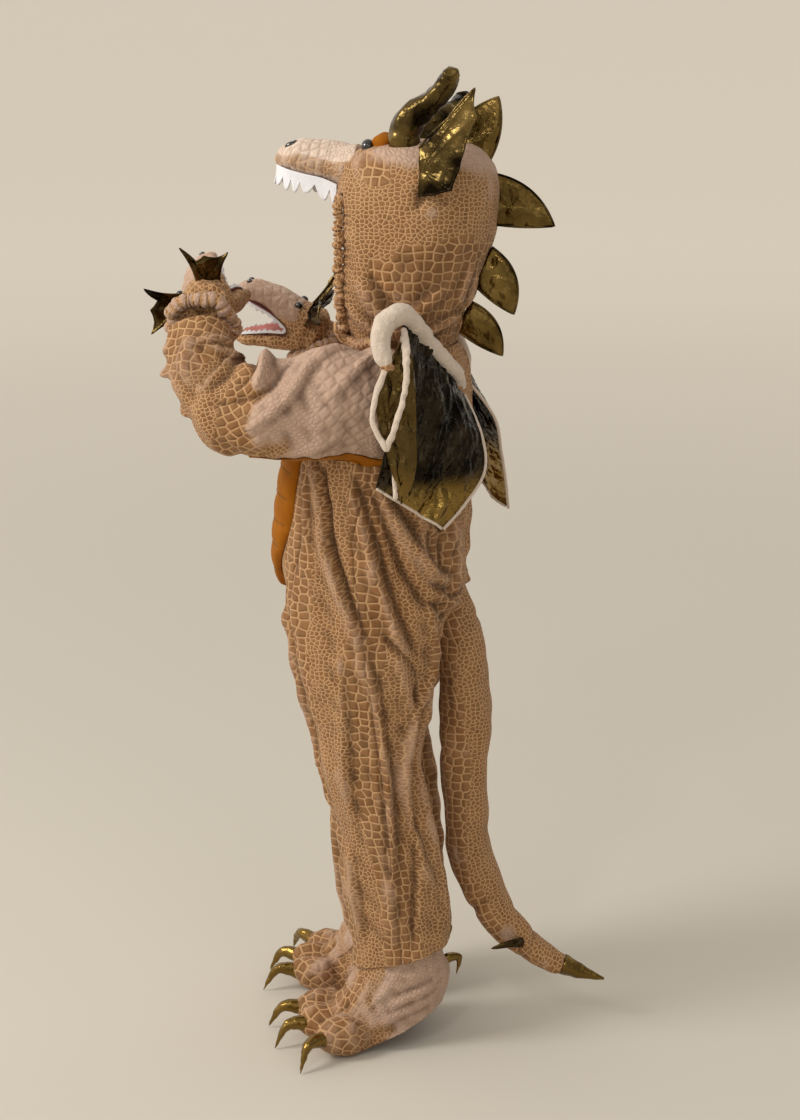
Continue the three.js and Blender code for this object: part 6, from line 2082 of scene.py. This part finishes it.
def build_puppet_head(word, f):
    upper, _ = limb(f.table(list(f.wrist) + list(PUPPET_UPPER)), 60, 44, f.aside)
    jaw, _ = limb(f.table(PUPPET_JAW), 36, 36, f.aside)
    points, faces = fused("puppet " + word, [grid_form(upper), grid_form(jaw)], 2.2)
    points = relaxed(points, faces, 5, 0.5)
    normals = quad_normals(points, faces)
    ahead, crown, aside = f.own(points)
    neck = ramp(-ahead, -14, 22)
    folds = neck * (2.6 * np.sin(ahead / 3.1 + 1.4 * np.sin(np.arctan2(aside, crown) * 2 + 0.6)))
    mouth_line = 0.8 * lumps(points, 24, 101) + 0.5 * lumps(points, 11, 102)
    cheek = -2.2 * np.exp(-((ahead - 18) / 6) ** 2) * np.exp(-((crown + 4) / 8) ** 2)
    points = points + normals * (folds + mouth_line + cheek)[:, None]
    ahead, crown, aside = f.own(points)
    muzzle = ramp(ahead, 2, 26) * ramp(crown, 2, 14)
    nap = np.clip(0.12 + 0.85 * muzzle, 0, 1)
    big = np.clip(0.25 + 0.5 * muzzle, 0, 1)
    form = Form(points, faces.tolist(), None, {"nap": nap, "big": big})
    thing = form.build("puppet_head_" + word, cloth("scale_roll"))
    placed(thing, ("puppet_head_" + word,))
    return BVHTree.FromPolygons(points.tolist(), faces.tolist())


def build_puppet_mouth(word, f):
    """Pink cloth folded into the jaws, edged with a zig-zag strip of white felt."""
    rows = rows_at(PUPPET_MOUTH, np.linspace(0, 1, 60))
    grid = []
    for ahead, crown, half in rows:
        x = np.linspace(-half, half, 25)
        bow = 1.6 * np.cos(x / half * math.pi / 2) * np.sign(crown + 8)
        grid.append(f.place(np.full(25, ahead), crown + bow, x))
    form = grid_form(np.array(grid), wrap=False)
    form = raised(form, 0.6 * lumps(form.points, 14, 105))
    thing = form.build("puppet_mouth_" + word, cloth("mouth_cloth"))
    walled(thing, 1.2)
    cut_sheet(placed(thing, ("puppet_mouth_" + word,)))

    edging = []
    for half_rows, turn in ((rows[:31], -1.0), (rows[30:], 1.0)):
        for sign in (1, -1):
            line = np.array([f.place(r[0], r[1], sign * (r[2] + 0.8)) for r in half_rows])
            edging.append(tooth_strip(line, f.crown * turn, f.aside * sign, 9, 3.4))
        tip = half_rows[0] if turn < 0 else half_rows[-1]
        a = np.linspace(-math.pi / 2, math.pi / 2, 24)
        line = np.array([f.place(tip[0] + 2 + 6 * math.cos(t), tip[1], tip[2] * math.sin(t)) for t in a])
        edging.append(tooth_strip(line, f.crown * turn, f.ahead, 5, 3.4))
    thing = joined(*edging).build("puppet_teeth_" + word, cloth("white_felt"))
    walled(thing, 1.1)
    cut_sheet(placed(thing))


def tooth_strip(line, down, out, teeth, drop):
    """A narrow zig-zag strip along a line."""
    path = smooth_path(line, teeth * 12 + 1)
    t = np.linspace(0, teeth, len(path))
    peak = np.sin(math.pi * (t % 1)) * (0.75 + 0.25 * np.sin(2.1 * t))
    rows = []
    for r in np.linspace(0, 1, 5):
        lower = -2.0 + (2.5 + drop * peak) * r
        rows.append(path + np.outer(lower, down) + np.outer(0.6 + 0.4 * r * peak, out))
    return grid_form(np.array(rows), wrap=False)


def build_puppet_cuff(word, f):
    """Gathered roll where the sleeve meets the puppet."""
    start = f.place(*f.wrist[0][:3])
    along = unit(f.place(*f.wrist[1][:3]) - start)
    side = unit(f.aside - f.aside @ along * along)
    up = np.cross(along, side)
    count = 360
    a = around(count)
    t = np.linspace(0, 2 * math.pi, count, endpoint=False)
    gathers = np.sin(15 * t + 1.3 * np.sin(3 * t)) ** 2
    reach = 36.5 + 1.4 * np.sin(5 * t) + 1.0 * np.sin(11 * t + 1)
    centre = (start + along * 3 + np.outer(np.cos(a) * reach, side) + np.outer(np.sin(a) * reach, up)
              + np.outer(1.6 * np.sin(7 * t), along))
    form = tube_along(centre, 7.6 + 1.7 * gathers ** 0.6 + 0.7 * np.sin(4 * t + 2), 20, closed=True)
    form = raised(form, 0.8 * lumps(form.points, 14, 107))
    # Painted highlight: cream pile on the bulges of the gathers, tan in the dips between them.
    form = with_values(form, big=0.3, nap=0.25 + 0.55 * np.repeat(gathers, 20))
    piece(form, "puppet_cuff_" + word, "scale_roll", ("puppet_cuff_" + word,))


def build_puppet_face(word, f, tree):
    eyes = []
    for sign in (1, -1):
        spot, normal, _, _ = tree.find_nearest(Vector(f.place(16, 30, sign * 22)))
        eyes.append(egg(np.array(spot) + np.array(normal) * 1.6, normal, 5.0, 5.0, 4.2, 14, 20))
        spot, normal, _, _ = tree.find_nearest(Vector(f.place(86, 40, sign * 9)))
        eyes.append(egg(np.array(spot) + np.array(normal) * 0.6, normal, 2.3, 3.8, 2.4, 10, 14))
    piece(joined(*eyes), "puppet_eyes_" + word, "eye_gloss")


# How far a puppet ear cups forward, for each square millimetre off its middle.
EAR_CUP = 0.006


def build_puppet_ears(word, f):
    cords = []
    corners = np.array(PUPPET_EAR, float)
    outline = flat_outline(corners, 130, 0.06)
    tips = corner_shares(outline, corners, (1, 3, 5))
    for sign in (-1, 1):
        way = unit(f.crown * 0.75 + f.aside * 0.8 * sign - f.ahead * 0.5)
        across = unit(np.cross(f.ahead, way)) * sign
        across = unit(across - across @ way * way)
        facing = np.cross(across, way)
        root = f.place(4, 16, sign * 20)
        name = ear_name(word, sign)
        form = plate(outline, (0, 4), 5.0, across, way, root, [(tip, 4) for tip in tips], 14, 3.2)
        form = raised(form, 0.9 * lumps(form.points, 13, 109 + sign))
        cup = (form.points - root) @ across
        form.points = form.points + np.outer(EAR_CUP * cup ** 2, facing)
        piece(form, name, "gold_lame", (name,))
        line = root + np.outer(outline[:, 0], across) + np.outer(outline[:, 1], way)
        cords.append(tube_along(line + np.outer(EAR_CUP * outline[:, 0] ** 2, facing), 1.1, 7, closed=True))
    piece(joined(*cords), "puppet_ear_cords_" + word, "gold_lame")


def ear_name(word, sign):
    """The CAD node of an ear: the ear on the aside direction's side."""
    return EAR_NODES[word][0 if sign > 0 else 1]


def build_puppets():
    for word in ("left", "right"):
        f = PuppetFrame(word)
        tree = build_puppet_head(word, f)
        build_puppet_mouth(word, f)
        build_puppet_cuff(word, f)
        build_puppet_face(word, f, tree)
        build_puppet_ears(word, f)


# Shoe covers.

# Folds in the foot's own frame: ahead, outward, height; then soft and sharp flank and rise.
COVER_FOLDS = (
    (((150, 20, -822), (128, 19, -812), (100, 16, -806), (76, 12, -800)), 6, 6, -5.5),
    (((150, -24, -822), (128, -24, -812), (100, -20, -806), (76, -14, -800)), 6, 6, -5.5),
    (((-10, 30, -776), (16, 46, -786), (44, 50, -794), (70, 52, -806)), 9, 5, 6),
    (((-6, 34, -796), (24, 50, -806), (52, 52, -814), (80, 56, -828)), 8, 5, 5),
    (((-14, 20, -760), (10, 40, -766), (40, 46, -766), (66, 36, -768)), 7, 5, 4.5),
    (((6, 44, -776), (30, 48, -780), (56, 50, -788)), 5, 6, -4.5),
    (((60, 46, -770), (76, 48, -790), (98, 52, -806), (116, 56, -822)), 9, 5, 5),
    (((80, 30, -776), (96, 34, -792), (112, 38, -806)), 8, 6, 4),
    (((-10, -30, -776), (16, -46, -786), (44, -50, -794), (70, -52, -806)), 9, 5, 6),
    (((-6, -34, -796), (24, -50, -806), (52, -52, -814), (80, -56, -828)), 8, 5, 5),
    (((60, -46, -770), (76, -48, -790), (98, -52, -806), (116, -56, -822)), 9, 5, 5),
    (((78, 0, -762), (92, 2, -780), (104, 0, -796)), 9, 7, 4),
    (((74, 20, -756), (80, 0, -760), (72, -20, -756)), 6, 6, -4),
    (((-24, 8, -760), (-26, 0, -786), (-30, -6, -806)), 9, 6, 3.5),
    (((100, 50, -838), (70, 56, -842), (30, 54, -836), (-6, 40, -826)), 7, 5, 3),
)


# Rise of the open lower edge towards the heel, for each millimetre back.
COVER_RISE = 0.38


class FootFrame:
    """A foot's own directions."""

    def __init__(self, word):
        row = FEET[word]
        a = math.radians(row["splay"])
        self.start = np.array([row["x"], row["y"], 0.0])
        self.ahead = np.array([row["side"] * math.sin(a), -math.cos(a), 0])
        self.out = np.array([row["side"] * math.cos(a), math.sin(a), 0])
        self.ankle = row["ankle"]

    def place(self, ahead, out, z):
        ahead = np.asarray(ahead, float)[..., None]
        out = np.asarray(out, float)[..., None]
        z = np.asarray(z, float)[..., None]
        return self.start + ahead * self.ahead + out * self.out + z * np.array([0, 0, 1.0])

    def own(self, points):
        gap = points - self.start
        return gap @ self.ahead, gap @ self.out, points[:, 2]


def cover_form(f):
    grid = []
    b = around(64)
    c, s = oval(b)
    c = np.sign(c) * np.abs(c) ** 0.95
    s = np.sign(s) * np.abs(s) ** 0.95
    for place in np.linspace(0, len(COVER) - 1 + 0.35, 60):
        row = rows_at(COVER, min(place / (len(COVER) - 1), 1))
        if place > len(COVER) - 1:
            row = row.copy()
            row[0] -= (place - len(COVER) + 1) * 40
        slope = COVER_SLOPE * max(0.0, place - 2) / (len(COVER) - 3)
        share = max(0.0, 1 - place / 3)
        ahead = blend(row[1], f.ankle[0], share)
        out = blend(row[2], f.ankle[1], share)
        grid.append(f.place(ahead + row[3] * c, out + row[4] * s, row[0] - slope * np.cos(b)))
    return grid_form(np.array(grid))


def build_cover(word):
    f = FootFrame(word)
    forms = [cover_form(f)]
    for _, ahead, out, _, _ in TOES:
        pole = f.ahead + np.array([0, 0, 0.25])
        forms.append(egg(f.place(ahead, out, -838), pole, 25, 23, 36, 22, 30))
    points, faces = fused("cover " + word, forms, 2.9)
    points = relaxed(points, faces, 5, 0.5)
    normals = quad_normals(points, faces)
    creases = []
    for path, soft, sharp, rise in COVER_FOLDS:
        creases.append(([tuple(f.place(a, o, z)) for a, o, z in path], soft, sharp, rise))
    rise = crease_rise(points, normals, creases)
    rise += 1.5 * lumps(points, 46, 121) + 0.8 * lumps(points, 18, 122)
    ahead, out, z = f.own(points)
    rise *= ramp(-z, 730, 748)
    rise = np.clip(rise, -6, 5) * ramp(z, -861, -842)
    points = points + normals * rise[:, None]
    points[:, 2] = np.maximum(points[:, 2], FLOOR + 0.3)
    front = ramp(ahead + 20 * lumps(points, 44, 123), 50, 84)
    # Painted sheen and shade: besides the real cream heel, the cream pile share rises on fold ridges and
    # falls in troughs.
    nap = np.clip(0.92 - 0.56 * front + np.clip(rise / 16, -0.15, 0.2), 0, 1)
    big = np.clip(0.35 + 0.5 * ramp(ahead, 70, 130), 0, 1)
    form = Form(points, faces.tolist(), None, {"nap": nap, "big": big})
    thing = form.build("shoe_cover_" + word, cloth("scale_plush"))
    down = unit(-COVER_RISE * f.ahead - np.array([0, 0, 1.0]))
    trimmed(thing, f.place(64, 0, -844), down, 140)
    trimmed(thing, f.place(f.ankle[0], f.ankle[1], -733), (0, 0, 1), 120)
    unrolled(thing, lambda spots: np.arctan2(f.own(spots)[1], 30 - f.own(spots)[0]))
    walled(thing, sizes().wall / MM)
    cut_sheet(placed(thing, ("shoe_cover_" + word,)))
    return f


def claw_form(root, bend, tip, radius):
    line = smooth_path((root, bend, tip), 30)
    t = np.linspace(0, 1, 30)
    wide = np.maximum(radius * (1 - t ** 1.35), 0.5)
    deep = np.maximum(0.95 * radius * (1 - t ** 1.35), 0.5)
    rows = np.column_stack([line, wide, deep])
    grid, _ = limb(rows, 40, 24, (0.3, 0.2, 1), round_near=True)
    form = grid_form(grid)
    form = raised(form, 0.45 * lumps(form.points, 9, 131))
    form.points[:, 2] = np.maximum(form.points[:, 2], FLOOR + 0.2)
    return with_values(form, band=0.75)


def build_claws(word, f):
    for name, ahead, out, tip_ahead, tip_out in TOES:
        root = f.place(ahead + 22, out + 0.15 * (tip_out - out), -836)
        bend = f.place(ahead + 50, blend(out, tip_out, 0.6), -833)
        tip = f.place(tip_ahead, tip_out, -861)
        node = "claw_" + name + "_" + word
        piece(claw_form(root, bend, tip, 11), node, "gold_lame", (node,))
    node = "claw_heel_" + word
    form = claw_form(f.place(-14, 0, -776), f.place(-42, 0, -772), f.place(-40, 0, -796), 8)
    piece(form, node, "gold_lame", (node,))


def build_feet():
    for word, _ in SIDES:
        build_claws(word, build_cover(word))


# Floor, light and camera.

FLOOR_REACH = 30.0
CAMERA_PLACE = (2.9721, 0.4081, 0.625)
CAMERA_AHEAD = (-0.9500, -0.1335, -0.2823)
CAMERA_RIGHT = (-0.1392, 0.9903, 0.0)


def area_light(name, place, target, size, power, colour):
    light = bpy.data.lights.new(name, "AREA")
    light.shape = "DISK"
    light.size = size
    light.energy = power
    light.color = colour
    thing = bpy.data.objects.new(name, light)
    bpy.context.scene.collection.objects.link(thing)
    thing.location = place
    thing.rotation_euler = (Vector(target) - Vector(place)).to_track_quat("-Z", "Y").to_euler()
    return thing


def build_stage():
    paint = Paint("studio floor")
    place = paint.place()
    reach = paint.node("ShaderNodeVectorMath", {"operation": "LENGTH"}, {0: place})
    away = Term(paint, reach.outputs["Value"])
    # Painted light: the floor is darker near the costume and lighter far off, standing for the fall-off of
    # the light.
    far = paint.step(away + paint.noise(place, 0.8, 2) * 0.2, 1.2, 6.5)
    colour = paint.colour(far, tint(0.81, 0.79, 0.745), tint(0.98, 0.955, 0.905))
    grain = paint.noise(place, 300, 2)
    normal = paint.bump(grain, 0.0002, 0.2)
    material = paint.finish(Base_Color=colour, Roughness=0.85 + grain * 0.08, Normal=normal)
    mesh = bpy.data.meshes.new("studio_floor")
    level = FLOOR * MM - 0.0005
    corners = [(x * FLOOR_REACH, y * FLOOR_REACH, level) for x, y in ((-1, -1), (1, -1), (1, 1), (-1, 1))]
    mesh.from_pydata(corners, [], [(0, 1, 2, 3)])
    floor = bpy.data.objects.new("studio_floor", mesh)
    bpy.context.scene.collection.objects.link(floor)
    mesh.materials.append(material)

    world = bpy.data.worlds.new("studio light")
    world.use_nodes = True
    back = world.node_tree.nodes["Background"]
    back.inputs["Color"].default_value = (*tint(0.93, 0.90, 0.86), 1)
    links = world.node_tree.links
    side = world.node_tree.nodes.new("ShaderNodeSeparateXYZ")
    links.new(world.node_tree.nodes.new("ShaderNodeTexCoord").outputs["Generated"], side.inputs[0])
    power = world.node_tree.nodes.new("ShaderNodeMapRange")
    for key, value in (("From Min", -1), ("From Max", 1), ("To Min", 1.25), ("To Max", 0.35)):
        power.inputs[key].default_value = value
    links.new(side.outputs["Y"], power.inputs["Value"])
    links.new(power.outputs["Result"], back.inputs["Strength"])
    bpy.context.scene.world = world
    area_light("key light", (1.3, -2.6, 1.9), (0, 0, -0.1), 1.3, 62, (1.0, 0.965, 0.91))
    area_light("camera fill", (2.6, 1.5, 1.6), (0, 0, -0.3), 2.0, 7, (1.0, 0.97, 0.93))
    area_light("strip light", (2.5, -0.5, 2.2), (0, 0, 0), 0.35, 8, (1.0, 0.98, 0.95))
    area_light("far rim", (-1.6, 1.6, 1.8), (0, 0, 0), 1.2, 4, (1.0, 0.97, 0.93))

    lens = bpy.data.cameras.new("photo camera")
    lens.sensor_fit = "VERTICAL"
    lens.sensor_height = 24
    lens.lens = 54.857
    lens.clip_end = 200
    camera = bpy.data.objects.new("photo camera", lens)
    bpy.context.scene.collection.objects.link(camera)
    ahead = Vector(CAMERA_AHEAD).normalized()
    right = Vector(CAMERA_RIGHT).normalized()
    up = right.cross(ahead).normalized()
    turn = Matrix((right, up, -ahead)).transposed()
    camera.matrix_world = Matrix.Translation(CAMERA_PLACE) @ turn.to_4x4()
    bpy.context.scene.camera = camera
    bpy.context.scene.view_settings.view_transform = "Standard"


# The add-on: sizes, operators and panel.

class CostumeSizes(bpy.types.PropertyGroup):
    """Sizes and colours that a user would change."""

    wall: bpy.props.FloatProperty(
        name="Plush wall", description="Thickness of the plush panels",
        default=0.002, min=0.001, max=0.004, unit="LENGTH")
    fold_depth: bpy.props.FloatProperty(
        name="Fold depth", description="Depth of the folds against the pattern's own",
        default=1.9, min=0.0, max=2.5, subtype="FACTOR")
    skin_cell: bpy.props.FloatProperty(
        name="Skin cell", description="Size of the cells the suit's skin is made of",
        default=0.0035, min=0.003, max=0.008, unit="LENGTH")
    seam_depth: bpy.props.FloatProperty(
        name="Seam depth", description="How far the plush dips at a seam",
        default=0.0013, min=0.0, max=0.003, unit="LENGTH")
    large_scale: bpy.props.FloatProperty(
        name="Large scale", description="Width of the largest printed scales",
        default=0.0125, min=0.006, max=0.02, unit="LENGTH")
    small_scale: bpy.props.FloatProperty(
        name="Small scale", description="Width of the smallest printed scales",
        default=0.0060, min=0.003, max=0.01, unit="LENGTH")
    tan: bpy.props.FloatVectorProperty(
        name="Scale colour", description="Colour of the printed scales",
        subtype="COLOR", size=3, default=(0.505, 0.325, 0.15), min=0, max=1)
    cream: bpy.props.FloatVectorProperty(
        name="Net colour", description="Colour of the lines between the scales",
        subtype="COLOR", size=3, default=(0.82, 0.66, 0.485), min=0, max=1)


def sizes():
    return bpy.context.scene.costume_sizes


class CostumeOperator:
    """What every operator of the costume shares."""

    bl_options = {"REGISTER"}

    def execute(self, context):
        self.make()
        return {"FINISHED"}


class COSTUME_OT_stage(CostumeOperator, bpy.types.Operator):
    """Lay the studio floor, set the lights and place the camera"""

    bl_idname = "costume.stage"
    bl_label = "Stage"

    def make(self):
        build_stage()


class COSTUME_OT_suit(CostumeOperator, bpy.types.Operator):
    """Sew the four body panels, the two sleeves and the gussets under them"""

    bl_idname = "costume.suit"
    bl_label = "Jumpsuit"

    def make(self):
        build_suit()


class COSTUME_OT_trim(CostumeOperator, bpy.types.Operator):
    """Make the quilted belly panel and the collar"""

    bl_idname = "costume.trim"
    bl_label = "Belly and collar"

    def make(self):
        build_belly()
        build_collar()


class COSTUME_OT_hood(CostumeOperator, bpy.types.Operator):
    """Sew the hood's halves and the ruched roll at the face"""

    bl_idname = "costume.hood"
    bl_label = "Hood"

    def make(self):
        build_hood()
        build_casing()


class COSTUME_OT_muzzle(CostumeOperator, bpy.types.Operator):
    """Stuff the upper jaw and add its teeth, eyes and brows"""

    bl_idname = "costume.muzzle"
    bl_label = "Muzzle and eyes"

    def make(self):
        build_snout()
        build_teeth()
        build_eyes()


class COSTUME_OT_crest(CostumeOperator, bpy.types.Operator):
    """Make the horns, ears and back spikes"""

    bl_idname = "costume.crest"
    bl_label = "Horns, ears and spikes"

    def make(self):
        build_horns()
        build_ears()
        build_spikes()


class COSTUME_OT_tail(CostumeOperator, bpy.types.Operator):
    """Stuff the tail, its tip and its spurs"""

    bl_idname = "costume.tail"
    bl_label = "Tail"

    def make(self):
        build_tail()


class COSTUME_OT_wings(CostumeOperator, bpy.types.Operator):
    """Make the wing arms, their strips and their crinkled sheets"""

    bl_idname = "costume.wings"
    bl_label = "Wings"

    def make(self):
        build_wings()


class COSTUME_OT_puppets(CostumeOperator, bpy.types.Operator):
    """Make the two hand puppets with their gathered cuffs"""

    bl_idname = "costume.puppets"
    bl_label = "Hand puppets"

    def make(self):
        build_puppets()


class COSTUME_OT_feet(CostumeOperator, bpy.types.Operator):
    """Sew the shoe covers and their claws"""

    bl_idname = "costume.feet"
    bl_label = "Shoe covers"

    def make(self):
        build_feet()


OPERATORS = (COSTUME_OT_stage, COSTUME_OT_suit, COSTUME_OT_trim, COSTUME_OT_hood, COSTUME_OT_muzzle,
             COSTUME_OT_crest, COSTUME_OT_tail, COSTUME_OT_wings, COSTUME_OT_puppets, COSTUME_OT_feet)


class COSTUME_PT_panel(bpy.types.Panel):
    """Operators and sizes of the costume"""

    bl_idname = "COSTUME_PT_panel"
    bl_label = "Dragon costume"
    bl_space_type = "VIEW_3D"
    bl_region_type = "UI"
    bl_category = "Costume"

    def draw(self, context):
        for name in CostumeSizes.__annotations__:
            self.layout.prop(context.scene.costume_sizes, name)
        for operator in OPERATORS:
            self.layout.operator(operator.bl_idname)


CLASSES = (CostumeSizes, *OPERATORS, COSTUME_PT_panel)


def register():
    for made in CLASSES:
        bpy.utils.register_class(made)
    bpy.types.Scene.costume_sizes = bpy.props.PointerProperty(type=CostumeSizes)


def unregister():
    del bpy.types.Scene.costume_sizes
    for made in reversed(CLASSES):
        bpy.utils.unregister_class(made)


def main():
    register()
    bpy.ops.costume.stage()
    bpy.ops.costume.suit()
    bpy.ops.costume.trim()
    bpy.ops.costume.hood()
    bpy.ops.costume.muzzle()
    bpy.ops.costume.crest()
    bpy.ops.costume.tail()
    bpy.ops.costume.wings()
    bpy.ops.costume.puppets()
    bpy.ops.costume.feet()


if __name__ == "__main__":
    main()
